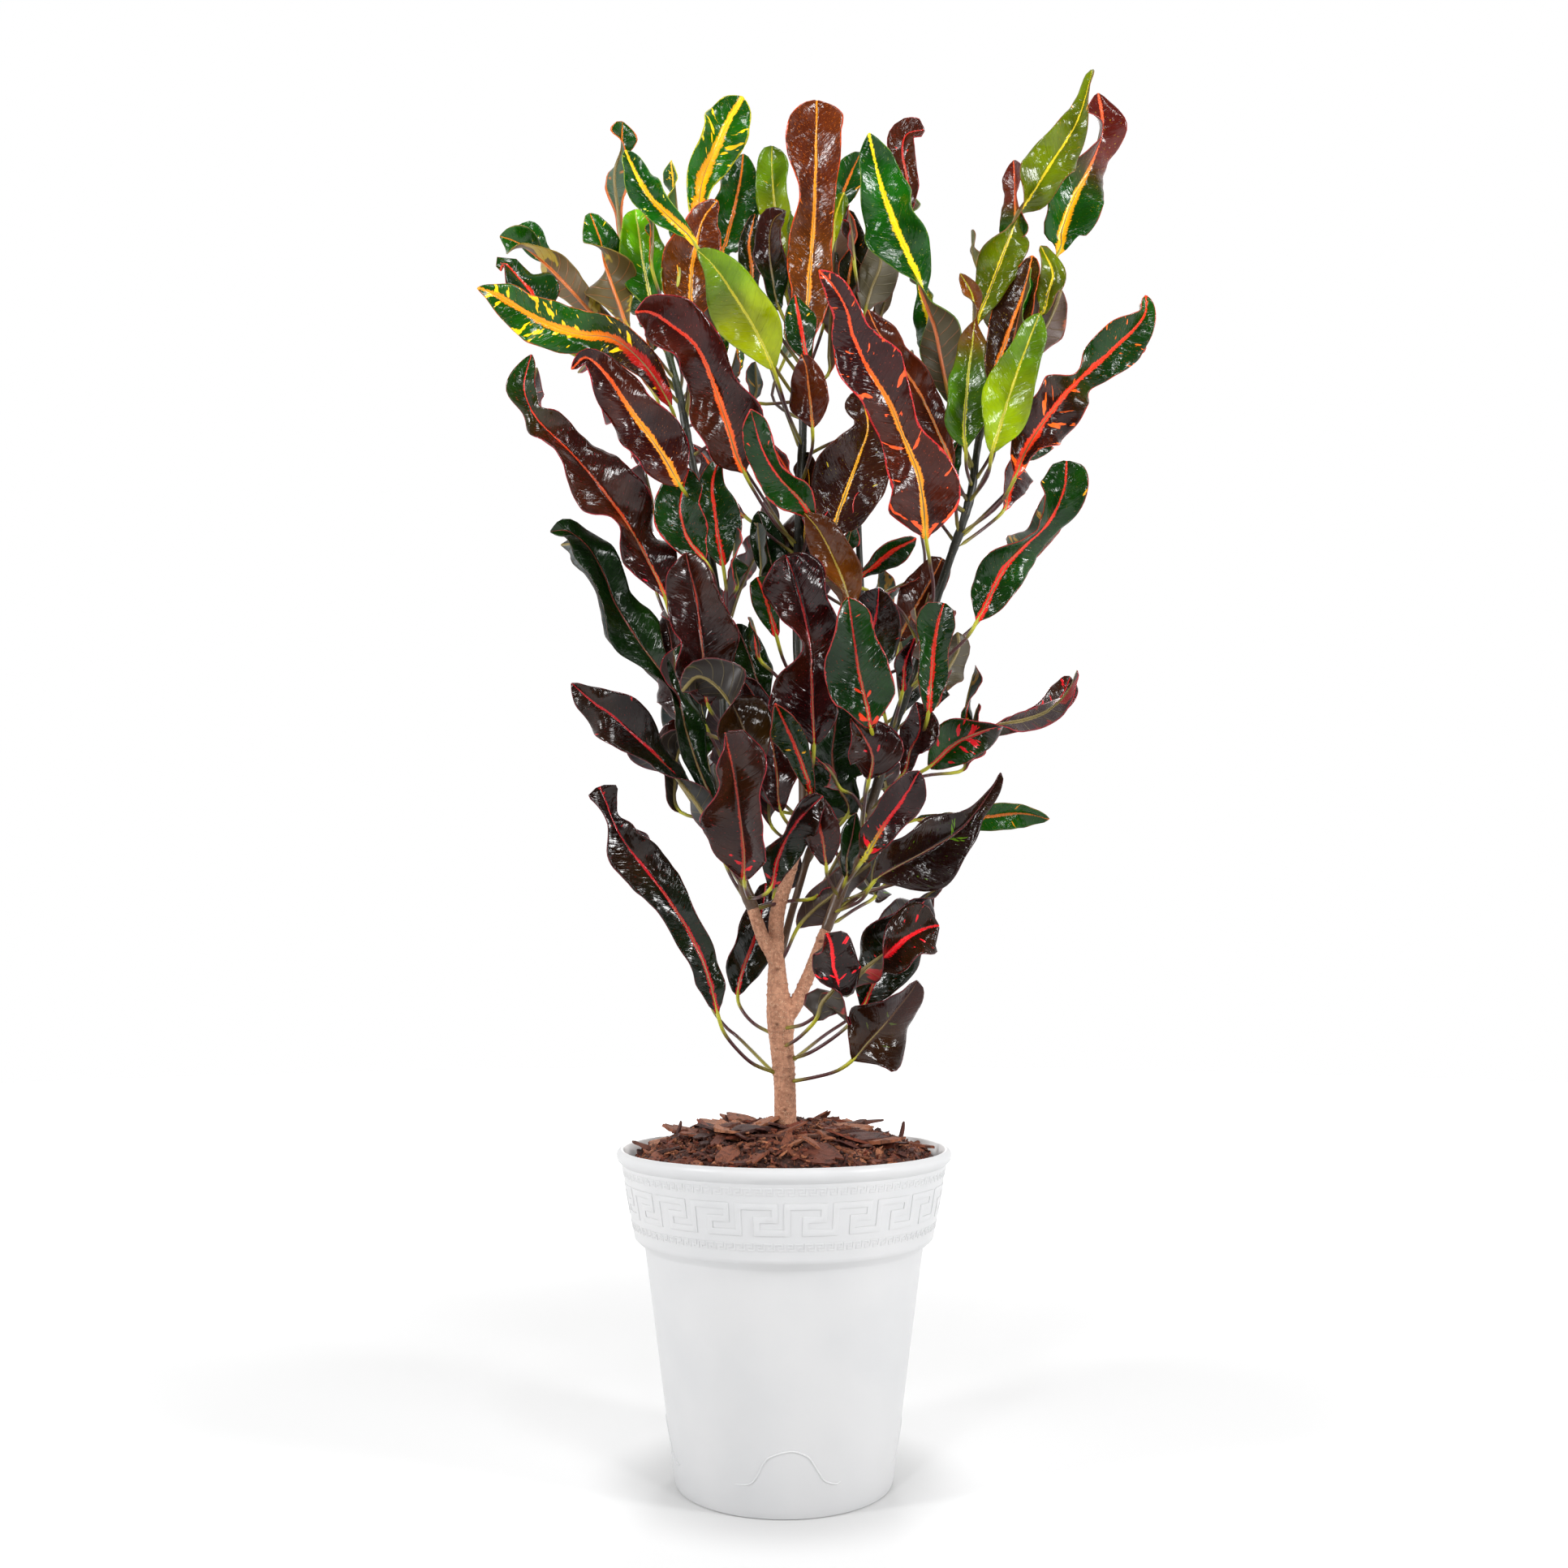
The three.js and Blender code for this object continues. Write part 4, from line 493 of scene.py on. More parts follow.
SLIM_LEAVES: dict[str, Leaf] = {
    "top_hook": Leaf(Look.BROWN_RED, 430, [(1095, 330, 20)], [(1118, 260, 6, 0), (1118, 225, 13),
        (1112, 190, 16), (1117, 166, 17, -20), (1139, 160, 10, -30)], (14, 8)),
    "black_orange": Leaf(Look.BLACK_ORANGE, 460, [], [(1040, 402, 6, 0), (1045, 350, 17), (1050, 310, 21),
        (1046, 259, 4)], (26, 24)),
    "grey_underside": Leaf(Look.GREY_UNDER, 425, [], [(1066, 384, 5, 180), (1074, 355, 21), (1085, 325, 23),
        (1082, 287, 4)], (10, 4)),
    "gold_rib_brown": Leaf(Look.BROWN_GOLD, 745, [(1042, 705, -4)], [(1028, 665, 8, 0), (1031, 640, 30),
        (1045, 600, 44), (1060, 558, 37), (1069, 525, 20, 25), (1064, 495, 20, 0), (1061, 478, 8)],
        (-16, -22), fold=0.24),
    "olive_brown": Leaf(Look.OLIVE_BROWN, 830, [(1056, 795, -14)], [(1050, 765, 5, 20), (1043, 730, 19),
        (1028, 690, 23), (1010, 655, 19), (991, 633, 4)], (-32, -44)),
    "dark_pink_rib": Leaf(Look.BLACK_RED, 905, [], [(1060, 852, 6, 0), (1070, 800, 31), (1080, 755, 29),
        (1083, 724, 9)], (-16, -34)),
    "white_glare": Leaf(Look.BLACK_GREEN, 1050, [], [(1045, 1003, 8, 0), (1031, 965, 32), (1025, 930, 33),
        (1030, 890, 26), (1035, 862, 5)], (2, -6)),
    "orange_tip": Leaf(Look.GREEN_RED, 770, [(1057, 735, 16)], [(1059, 713, 4, 40), (1078, 696, 13),
        (1100, 678, 17), (1129, 663, 3)], (6, -14)),
}
RIGHT_LEAVES: dict[str, Leaf] = {
    "glossy_yellow_rib": Leaf(Look.YELLOW_RIB, 580, [(1184, 538, -10)], [(1172, 500, 4, 170),
        (1160, 445, 22), (1152, 405, 26), (1140, 370, 9, 100), (1128, 335, 21, 20), (1112, 298, 33, 0),
        (1098, 262, 34), (1085, 228, 27), (1077, 195, 18), (1071, 164, 4)], (-16, -46), wave=2.6),
    "maroon_orange": Leaf(Look.MAROON_HOT, 790, [(1150, 735, -16), (1146, 695, -38)], [(1141, 664, 6, 0),
        (1138, 625, 42), (1130, 580, 38), (1112, 535, 26), (1095, 495, 29), (1070, 455, 37), (1052, 415, 26),
        (1045, 385, 17), (1028, 355, 13), (1009, 333, 4)], (-58, -112)),
    "brown_behind": Leaf(Look.BROWN, 660, [], [(1172, 577, 6, 0), (1155, 530, 16), (1130, 480, 21),
        (1100, 435, 23), (1080, 405, 15), (1069, 382, 3)], (-22, -26)),
    "top_olive": Leaf(Look.OLIVE, 535, [(1200, 470, -2)], [(1203, 400, 6, 0), (1218, 362, 18),
        (1232, 325, 25), (1244, 290, 21, 30), (1255, 262, 8, 80), (1272, 238, 23, 20), (1291, 208, 30, 0),
        (1311, 177, 24, -12), (1329, 146, 14, -24), (1339, 116, 11, -36), (1346, 86, 8, -44)], (-14, -34),
        0.4, 3),
    "top_maroon_flank": Leaf(Look.MAROON_FLANK, 385, [], [(1303, 314, 4, 0), (1308, 285, 28),
        (1320, 252, 35, 15), (1335, 220, 26, 40), (1350, 185, 30, 50), (1357, 150, 26, 45), (1353, 115, 4)],
        (10, 6)),
    "dark_orange_rib": Leaf(Look.BROWN_ORANGE, 520, [], [(1219, 482, 6, -25), (1232, 440, 19),
        (1247, 400, 26), (1262, 360, 27), (1272, 315, 4)], (-12, -22)),
    "olive_spots": Leaf(Look.OLIVE, 415, [], [(1282, 388, 4, 0), (1292, 360, 15), (1297, 335, 15),
        (1282, 303, 3)], (-26, -32)),
    "brown_under": Leaf(Look.BROWN, 470, [], [(1270, 440, 5, 180), (1285, 410, 19), (1298, 385, 17),
        (1308, 357, 3)], (12, 16)),
    "lime_matte": Leaf(Look.LIME, 620, [(1216, 588, -22)], [(1222, 558, 5, 0), (1232, 525, 25),
        (1245, 485, 31), (1260, 440, 21), (1272, 408, 16), (1281, 386, 3)], (-44, -52), wave=0.8),
    "olive_twist": Leaf(Look.OLIVE_GREEN, 600, [(1191, 578, -18)], [(1190, 552, 5, 0), (1188, 520, 26),
        (1192, 470, 23), (1198, 425, 17), (1200, 390, 8, 60), (1197, 362, 10, 0), (1183, 337, 3)],
        (-34, -40)),
    "split_lobes": Leaf(Look.RED_SPLIT, 660, [(1228, 625, -10)], [(1251, 588, 5, -20), (1262, 560, 16),
        (1282, 525, 33, 0), (1308, 492, 31), (1329, 468, 15, 60), (1352, 448, 24, 5), (1380, 422, 29, -5),
        (1400, 402, 19, 20), (1411, 384, 9, 55), (1412, 364, 5, 65)], (-22, -34), 0.38, 3.4),
    "green_twist": Leaf(Look.GREEN_RED, 850, [(1160, 815, -10), (1190, 787, -18)], [(1204, 765, 5, 0),
        (1220, 735, 25), (1238, 700, 27, 12), (1262, 672, 23, 35), (1284, 652, 20, 55), (1301, 628, 23, 35),
        (1312, 600, 26, 8), (1314, 568, 14, 0)], (-22, -34)),
    "brown_orange_rib": Leaf(Look.BROWN, 870, [(1106, 830, 14)], [(1107, 790, 6, 0), (1121, 760, 21),
        (1142, 725, 24), (1161, 688, 10)], (26, 24)),
    "red_rib_front": Leaf(Look.GREEN_RED, 930, [(1132, 908, -20)], [(1144, 878, 5, 0), (1147, 840, 17),
        (1151, 800, 17), (1155, 770, 22), (1163, 743, 12)], (-54, -66)),
    "olive_grey": Leaf(Look.GREY_UNDER, 905, [], [(1150, 858, 5, 180), (1165, 830, 21), (1181, 800, 19),
        (1180, 779, 4)], (-4, 2)),
    "black_sliver": Leaf(Look.BLACK_RED, 900, [], [(1112, 852, 4, 0), (1115, 820, 9), (1127, 786, 3)],
        (-30, -42)),
    "green_red_margin": Leaf(Look.PINK_EDGE, 960, [(1080, 925, -44)], [(1073, 897, 5, 0), (1066, 862, 35),
        (1058, 822, 38), (1052, 788, 26), (1048, 757, 18), (1045, 736, 5)], (-84, -98)),
    "grey_sliver": Leaf(Look.BLACK_GREEN, 620, [], [(1178, 590, 4, 0), (1173, 567, 12), (1180, 545, 4)],
        (-14, -18)),
    "front_brown": Leaf(Look.MAROON_PINK, 1030, [(1066, 985, -38)], [(1071, 960, 5, 20), (1075, 932, 30),
        (1062, 905, 26), (1048, 886, 4)], (-66, -84)),
    "brown_red_rib": Leaf(Look.MAROON_RED, 1000, [], [(1112, 955, 5, 0), (1122, 925, 16), (1134, 898, 23),
        (1129, 865, 4)], (-26, -32)),
    "hook_right": Leaf(Look.RED_SPOTS, 1000, [(1115, 962, -4)], [(1145, 945, 8, 0), (1175, 918, 27),
        (1205, 903, 20, 40), (1235, 893, 14, 90), (1262, 887, 12, 130), (1290, 876, 15, 150),
        (1315, 853, 17, 120), (1327, 826, 7, 90)], (-14, -34)),
    "low_right_green": Leaf(Look.GREEN_ORANGE, 1075, [(1090, 1028, 12)], [(1130, 1010, 5, 30),
        (1175, 1010, 11), (1220, 1006, 16), (1260, 1002, 14), (1293, 1009, 3)], (18, 10)),
    "folded_maroon": Leaf(Look.MAROON_LIME, 1125, [(1060, 1110, -22)], [(1078, 1085, 5, 0), (1108, 1066, 32),
        (1145, 1046, 38), (1180, 1025, 25, 10), (1200, 1003, 12, 30), (1218, 978, 9, 20), (1233, 952, 3)],
        (-42, -48), fold=0.6, wave=3.6),
    "red_patch": Leaf(Look.RED_PATCH, 1095, [], [(1062, 1062, 6, 0), (1078, 1035, 18), (1095, 1008, 19),
        (1115, 980, 25), (1133, 950, 6)], (-60, -78)),
    "grey_low": Leaf(Look.GREY_RED, 1105, [(1020, 1082, -22)], [(1018, 1066, 5, 0), (1015, 1040, 19),
        (1010, 1015, 23), (1005, 977, 4)], (-44, -58)),
    "black_low": Leaf(Look.BLACK_GREEN, 1110, [], [(1043, 1082, 4, 0), (1043, 1058, 11), (1050, 1030, 13),
        (1055, 1002, 3)], (-22, -30)),
}
LOW_LEAVES: dict[str, Leaf] = {
    "low_leaf_left": Leaf(Look.BLACK_RED, (965, 1325, 0), [(930, 1312, -8), (910, 1295, -14),
        (892, 1272, -20)], [(884, 1248, 5, 0), (875, 1212, 15, 10), (859, 1168, 18, 15), (833, 1122, 19, 10),
        (798, 1075, 29), (770, 1038, 21), (755, 1012, 9, 50), (747, 990, 12, 10), (739, 969, 20, -15)],
        (-24, -36), wave=3.2),
    "low_leaf_upright": Leaf(Look.BLACK_RED, (961, 1278, 0), [(930, 1262, 5), (914, 1244, 8)],
        [(909, 1226, 5, 0), (915, 1195, 20), (928, 1160, 24), (939, 1122, 17), (944, 1088, 4)], (20, 34)),
    "low_leaf_front": Leaf(Look.LOW_RED, (962, 1292, -1), [(984, 1279, -22)], [(1006, 1256, 5, 165),
        (1013, 1236, 24, 150), (1030, 1216, 20, 95), (1027, 1192, 27, 15), (1023, 1162, 22, -10),
        (1018, 1150, 9)], (-44, -64), 0.45, 5),
    "low_leaf_dark": Leaf(Look.BLACK_RED, (964, 1308, 0), [(1000, 1296, -6), (1038, 1270, -12)],
        [(1062, 1243, 5, 0), (1075, 1215, 23), (1092, 1185, 33), (1108, 1150, 31), (1132, 1118, 21, 30),
        (1147, 1100, 12, 110), (1162, 1092, 4)], (-14, -20), 0.34, 4),
    "low_leaf_red": Leaf(Look.LOW_RED, (961, 1268, -1), [(990, 1262, -22), (1015, 1244, -34)],
        [(1041, 1222, 4, 150), (1062, 1198, 11, 110), (1095, 1173, 19, 40), (1125, 1152, 31, 0),
        (1146, 1142, 27), (1157, 1140, 12)], (-42, -54), 0.5, 4),
    "low_leaf_small": Leaf(Look.OLIVE_MAROON, (966, 1334, 0), [(1000, 1328, -10), (1030, 1320, -22)],
        [(1051, 1306, 5, 20), (1068, 1286, 29), (1088, 1264, 36), (1108, 1240, 27, 30), (1122, 1222, 17, 50),
        (1130, 1208, 5)], (-34, -46), 0.3, 7),
    "fork_leaf": Leaf(Look.BROWN, (957, 1195, 2), [(970, 1171, 0)], [(983, 1143, 4, 180), (1002, 1122, 20),
        (1026, 1103, 20), (1050, 1081, 15), (1073, 1064, 3)], (7, 9)),
}
LEAVES = {"left": LEFT_LEAVES, "centre": CENTRE_LEAVES, "slim": SLIM_LEAVES, "right": RIGHT_LEAVES,
    "low": LOW_LEAVES}
# Near leaves that have a like one behind them on the plant's far side.
FAR_LEAVES: dict[str, list[str]] = {
    "left": ["lime_fold", "bronze_tall", "far_yellow_tip", "maroon_gold_rib", "maroon_long", "hook_green",
        "maroon_upright", "grey_front", "tucked_maroon", "red_rib_wide"],
    "centre": ["bronze_tower", "lime_front", "maroon_heavy", "crossing_green", "great_maroon", "red_splash"],
    "slim": ["gold_rib_brown", "olive_brown"],
    "right": ["glossy_yellow_rib", "maroon_orange", "dark_orange_rib", "lime_matte", "split_lobes",
        "green_twist", "red_rib_front", "front_brown", "hook_right", "brown_red_rib"],
    "low": ["low_leaf_left", "low_leaf_dark"],
}


# ---------------------------------------------------------------- modelling tools


class Bench:
    """Short names for the modelling operators, each of which starts from a clean selection."""

    @staticmethod
    def clear() -> None:
        """Leave edit mode and deselect everything."""
        if bpy.context.object and bpy.context.object.mode != "OBJECT":
            bpy.ops.object.mode_set(mode="OBJECT")
        bpy.ops.object.select_all(action="DESELECT")

    @classmethod
    def pick(cls, objects: Sequence[Thing]) -> Thing:
        """Select objects and make the first one active.

        Args:
            objects: what is selected.

        Returns:
            The active object.
        """
        cls.clear()
        for thing in objects:
            thing.select_set(True)
        bpy.context.view_layer.objects.active = objects[0]
        return objects[0]

    @classmethod
    def join(cls, objects: Sequence[Thing], name: str) -> Thing:
        """Join objects into one.

        Args:
            objects: what is joined.
            name: the name of the result.

        Returns:
            The joined object.
        """
        joined = cls.pick(objects)
        if len(objects) > 1:
            bpy.ops.object.join()
        joined.name = name
        joined.data.name = name
        return joined

    @classmethod
    def modify(cls, thing: Thing, kind: str, **settings: Any) -> None:
        """Add a modifier and apply it.

        Args:
            thing: the object that is changed.
            kind: Blender's name for the modifier's type.
            settings: the modifier's settings by name.
        """
        cls.pick([thing])
        modifier = thing.modifiers.new(kind.title(), kind)
        for name, value in settings.items():
            setattr(modifier, name, value)
        bpy.ops.object.modifier_apply(modifier=modifier.name)

    @classmethod
    @contextmanager
    def edit(cls, thing: Thing, chosen: str | None = "SELECT") -> Iterator[None]:
        """Keep an object in edit mode for a with block.

        Args:
            thing: the object.
            chosen: SELECT for all of it, DESELECT for nothing, or None to leave what is selected.
        """
        cls.pick([thing])
        bpy.ops.object.mode_set(mode="EDIT")
        if chosen:
            bpy.ops.mesh.select_all(action=chosen)
        yield
        bpy.ops.object.mode_set(mode="OBJECT")

    @classmethod
    def merge(cls, thing: Thing, distance: float) -> None:
        """Merge vertices that lie closer than a distance, in mm."""
        with cls.edit(thing):
            bpy.ops.mesh.remove_doubles(threshold=distance * MM)

    @classmethod
    def smooth(cls, thing: Thing, angle: float | None = None) -> None:
        """Shade an object smooth.

        Args:
            thing: the object.
            angle: the angle in degrees from which an edge stays sharp, or None to smooth every edge.
        """
        cls.pick([thing])
        if angle is None:
            bpy.ops.object.shade_smooth()
        else:
            bpy.ops.object.shade_smooth_by_angle(angle=math.radians(angle))


def read(mesh: bpy.types.Mesh, layer: str = "co") -> Array:
    """Read what a mesh's vertices hold.

    Args:
        mesh: the mesh.
        layer: co for places, in metres, or normal.

    Returns:
        One row of three for each vertex.
    """
    flat = np.empty(len(mesh.vertices) * 3, np.float32)
    mesh.vertices.foreach_get(layer, flat)
    return flat.reshape(-1, 3).astype(float)


def place(mesh: bpy.types.Mesh, points: Array) -> None:
    """Write a mesh's vertices from points in mm."""
    mesh.vertices.foreach_set("co", (points * MM).astype(np.float32).ravel())
    mesh.update()


def tag(mesh: bpy.types.Mesh, name: str, *columns: Array | float) -> None:
    """Store values on a mesh's vertices, for its material to read.

    Args:
        mesh: the mesh that gets the attribute.
        name: the attribute's name.
        columns: one, three (a vector) or four (a colour), with a value for each vertex or one for all.
    """
    values = np.empty((len(mesh.vertices), len(columns)), np.float32)
    for k, column in enumerate(columns):
        values[:, k] = column
    kinds = {1: ("FLOAT", "value"), 3: ("FLOAT_VECTOR", "vector"), 4: ("FLOAT_COLOR", "color")}
    kind, key = kinds[len(columns)]
    mesh.attributes.new(name, kind, "POINT").data.foreach_set(key, values.ravel())


def sheet(name: str, across: int, along: int, bend: Callable[[Array, Array], Array]) -> Any:
    """Add a grid and bend it.

    Args:
        name: the object's name.
        across: faces from side to side.
        along: faces from end to end.
        bend: turns the grid's places, -1 to 1 across and 0 to 1 along, into points in mm.

    Returns:
        The object, and the grid's places across and along at each vertex.
    """
    Bench.clear()
    bpy.ops.mesh.primitive_grid_add(x_subdivisions=across, y_subdivisions=along, size=2, calc_uvs=False)
    thing = bpy.context.object
    thing.name = name
    flat = read(thing.data)
    s, t = flat[:, 0], (flat[:, 1] + 1) / 2
    place(thing.data, bend(s, t))
    return thing, s, t


# ---------------------------------------------------------------- stems, petioles and blades


@dataclass
class Tube:
    """A round tube along a way, closed at both ends, with radii and a roll of grid sheet."""

    points: Array
    radii: Array
    sides: int = 10
    rings: int = 30
    ridges: int = 0
    ridge_height: float = 0.0
    closing: float = 0.02

    def build(self, name: str, colour: Shade | None = None, seed: float = 0.0) -> Thing:
        """Roll a sheet into the tube.

        Args:
            name: the object's name.
            colour: gives colours in linear light for places along the tube, 0 to 1, where it needs them.
            seed: keeps the tube's pattern apart from others.

        Returns:
            The tube.
        """
        last = len(self.points) - 1

        def bend(s: Array, t: Array) -> Array:
            """Roll the sheet round the way, nearly closed at its ends.

            Args:
                s: place round the tube, -1 to 1.
                t: place along it, 0 to 1.

            Returns:
                Points in mm.
            """
            frame = frames(self.points, t * last, np.zeros_like(t))
            angle = (s * math.pi)[:, None]
            closed = np.where((t < 1e-6) | (t > 1 - 1e-6), self.closing, 1.0)
            ridge = self.ridge_height * np.cos(self.ridges * angle[:, 0])
            radius = ((through(self.radii, t * last) + ridge) * closed)[:, None]
            return frame.at + radius * (frame.normal * np.cos(angle) + frame.side * np.sin(angle))

        thing, s, t = sheet(name, self.sides, self.rings, bend)
        if colour:
            length = np.sum(np.linalg.norm(np.diff(self.points, axis=0), axis=1))
            tag(thing.data, "place", s * math.pi * float(np.mean(self.radii)), t * length, seed)
            tag(thing.data, "lamina", *colour(t), 1.0)
        Bench.merge(thing, 0.001)
        return thing


def shades(at: Array, stops: Sequence[float], colours: Sequence[Rgb]) -> list[Array]:
    """Blend colours that stand at stops.

    Args:
        at: where the blend is read.
        stops: the stops, in rising order.
        colours: the colour at each stop, 0 to 255.

    Returns:
        Red, green and blue in linear light, each with one value for each place.
    """
    return [np.interp(at, stops, part) for part in zip(*map(linear, colours))]


@dataclass(frozen=True)
class Growth:
    """How petioles and blades are shaped, in mm, and coloured, with finer detail than the solids have."""

    wave_length: float = 50
    curl: float = 1.6
    tip_half: float = 0.9
    petiole: float = 1.15
    thickness: float = 0.5
    row: float = 2.4
    columns: int = 16
    wave_more: float = 2.1
    widen: float = 1.08
    round_tip: float = 0.12
    wobble: float = 0.34
    wobble_length: float = 64
    frill: float = 0.4
    frill_length: float = 11
    bulge: float = 0.45
    groove: float = 0.35
    base_share: float = 0.45
    base_reach: float = 0.035
    end_from: float = 0.965
    end_reach: float = 0.036
    old: float = 430
    young: float = 640
    petiole_foot: Rgb = (140, 132, 44)
    petiole_middle: Rgb = (74, 34, 36)
    petiole_tip: Rgb = (178, 176, 40)
    stem_low: Rgb = (86, 62, 44)
    stem_middle: Rgb = (30, 32, 22)
    stem_top: Rgb = (72, 104, 26)


GROWTH = Growth()


@dataclass
class Blade:
    """One leaf at its place on the plant."""

    name: str
    leaf: Leaf
    root: Station
    index: int
    turned: float = 0.0
    size: float = 1.0

    def moved(self, points: Array) -> Array:
        """Turn points about the upright line through the leaf's root, and scale them.

        Args:
            points: places in mm.

        Returns:
            The moved places.
        """
        c, s = math.cos(math.radians(self.turned)), math.sin(math.radians(self.turned))
        x, y, z = ((points - self.points[0]) * self.size).T
        return self.points[0] + np.stack([c * x - s * y, s * x + c * y, z], axis=1)

    def __post_init__(self) -> None:
        """Work out the leaf's way from its root to its tip."""
        blade, depth = self.leaf.blade, self.leaf.depth
        self.first = 1 + len(self.leaf.via)
        self.last = self.first + len(blade) - 1
        depths = np.interp(np.linspace(0, len(depth) - 1, len(blade)), range(len(depth)), depth)
        stations = [self.root, *self.leaf.via, *((px, py, d) for (px, py, *_), d in zip(blade, depths))]
        self.points = EYE.sight(stations)
        self.halves = np.array([1.25] * self.first + [s[2] * EYE.pixel(d) for s, d in zip(blade, depths)])
        roll, rolls = blade[0][3], [blade[0][3]] * self.first
        for station in blade:
            roll = station[3] if len(station) > 3 else roll
            rolls.append(roll)
        self.rolls = np.radians(rolls)
        self.phase = (self.index * GOLDEN) % (2 * math.pi)
        fine = np.linspace(self.first, self.last, 200)
        steps = np.linalg.norm(np.diff(through(self.points, fine), axis=0), axis=1)
        self.fine_u = fine
        self.fine_along = np.concatenate([[0], np.cumsum(steps)])
        self.length = float(self.fine_along[-1])

    def chord_along(self, u: Array) -> Array:
        """Distance along the straight lines between stations, which the waves are counted by."""
        lengths = np.linalg.norm(np.diff(self.points, axis=0), axis=1)[self.first :]
        return np.interp(u, np.arange(self.first, self.last + 1), np.concatenate([[0], np.cumsum(lengths)]))

    def lamina(self) -> Thing:
        """Bend a sheet into the blade, and store its colours and widths on it.

        Returns:
            The blade's upper face.
        """
        grown = GROWTH
        rows = int(np.clip(round(self.length / grown.row), 16, 84))
        widest = self.halves.max()
        store: dict[str, Array] = {}

        def bend(s: Array, t: Array) -> Array:
            """Lay the sheet along the leaf's way, folded, waved, frilled and grooved.

            Args:
                s: place across, -1 to 1.
                t: place along, 0 to 1.

            Returns:
                Points in mm.
            """
            u = np.interp(t * self.length, self.fine_along, self.fine_u)
            sway = grown.wobble * np.sin(2 * math.pi * t * self.length / grown.wobble_length + 2 * self.phase)
            frame = frames(self.points, u, through(self.rolls, u) + sway * smoothstep(t, 0, 0.2))
            half = np.maximum(grown.tip_half, through(self.halves, u))
            reach = np.clip((u - self.first) / 0.8, 0, 1)
            half = half * (grown.widen + grown.round_tip * smoothstep(t, 0.7, 0.97))
            half = half * (grown.base_share + (1 - grown.base_share) * smoothstep(t, 0, grown.base_reach))
            end = np.maximum(t - grown.end_from, 0) / grown.end_reach
            half = half * np.sqrt(np.clip(1 - end**2, 0.03, 1))
            v = np.abs(s)
            share = reach * half / widest
            swing = 2 * math.pi * self.chord_along(u) / grown.wave_length + self.phase
            swing = swing + 0.9 * np.sin(0.37 * swing + 2 * self.phase)
            uneven = 0.75 + 0.45 * np.sin(0.61 * swing + 5 * self.phase)
            wave = np.sin(np.where(s > 0, swing, swing + grown.curl)) * v**1.6
            lift = uneven * grown.wave_more * self.leaf.wave * share * wave
            frill = np.sin(2 * math.pi * t * self.length / grown.frill_length + 3 * self.phase + (s > 0))
            lift = lift + grown.frill * share * frill * v**4
            hollow = grown.groove * reach * np.exp(-((s * half / 1.3) ** 2)) * (1 - 0.8 * t)
            rise = half * np.tan(self.leaf.fold * reach) * (v + grown.bulge * (v - v * v)) + lift - hollow
            store.update(margin=half * (1 - v), across=s * half)
            return self.moved(frame.at + frame.side * (s * half)[:, None] + frame.normal * rise[:, None])

        thing, _, t = sheet(self.name, grown.columns, rows, bend)
        tag(thing.data, "place", store["across"], t * self.length, 7.3 * self.index + 3.1 * len(self.name))
        tag(thing.data, "margin", store["margin"])
        self.paint(thing.data, t)
        return thing

    def paint(self, mesh: bpy.types.Mesh, t: Array) -> None:
        """Store the leaf's colours on its blade, each with a width or an amount as its fourth number.

        Args:
            mesh: the blade's mesh.
            t: place along the blade at each vertex, 0 to 1.
        """
        paint: Paint = self.leaf.look.value
        random = np.random.default_rng(self.index + 31 * len(self.name))
        young = float(smoothstep(self.points[-1][2], GROWTH.old, GROWTH.young))
        vary = (1 + 0.22 * (random.random(3) - 0.5)) * (0.55 + 0.45 * young)
        to_tip = smoothstep(t, paint.turn - 0.16, paint.turn + 0.16)[:, None]

        def store(name: str, base: Rgb, tip: Rgb | None, fourth: Array | float, tint: Any = 1.0) -> None:
            """Store one colour, which may turn into another towards the tip."""
            low, high = np.array(linear(base)), np.array(linear(tip or base))
            tag(mesh, name, *((low + (high - low) * to_tip) * tint).T, fourth)

        dull = 0.6 + 0.4 * young
        bright = 1.35 * dull if paint.speckle < 0.3 and paint.rib_width < 2.5 else 1.35
        store("lamina", paint.lamina, paint.tip, paint.blotch * (0.6 + 0.8 * random.random()), vary)
        store("accent", paint.accent, None, paint.speckle, bright)
        store("rib", paint.rib, paint.rib_tip, paint.rib_width * (1 - 0.72 * t) / STORED, bright)
        store("edge", paint.edge, None, paint.edge_width / STORED, dull)
        store("under", paint.under, None, 0.0, vary)
        store("under_rib", paint.under_rib, None, 0.0)

    def petiole(self) -> Thing:
        """Make the petiole and the raised midrib under the blade as one tapered tube.

        Returns:
            The tube.
        """
        end = self.first + 0.9 * (self.last - self.first)
        joint = self.first / end
        u = np.linspace(0, end, 3 * self.last)
        frame = frames(self.points, u, through(self.rolls, u))
        below = smoothstep(u, self.first - 0.3, self.first + 0.25)
        radii = GROWTH.petiole * (1 - 0.12 * np.sin(np.pi * np.clip(u / self.first, 0, 1)))
        radii = radii * (1 - 0.72 * smoothstep(u, self.first - 0.2, end))
        radii[0] *= 1.25
        points = self.moved(frame.at - frame.normal * (below * (0.3 + 0.42 * radii))[:, None])
        tip, middle, foot = GROWTH.petiole_tip, GROWTH.petiole_middle, GROWTH.petiole_foot
        rib = self.leaf.look.value.under_rib
        stops = [0, 0.1 * joint, 0.3 * joint, 0.66 * joint, 0.84 * joint, joint, 1.08 * joint + 0.05, 1]
        colours = [foot, foot, middle, middle, tip, tip, rib, rib]
        tube = Tube(points, radii, 8, int(np.clip(self.length / 4 + 5 * self.first, 14, 60)))
        return tube.build(f"{self.name}_petiole", lambda t: shades(t, stops, colours), 5.1 * self.index)


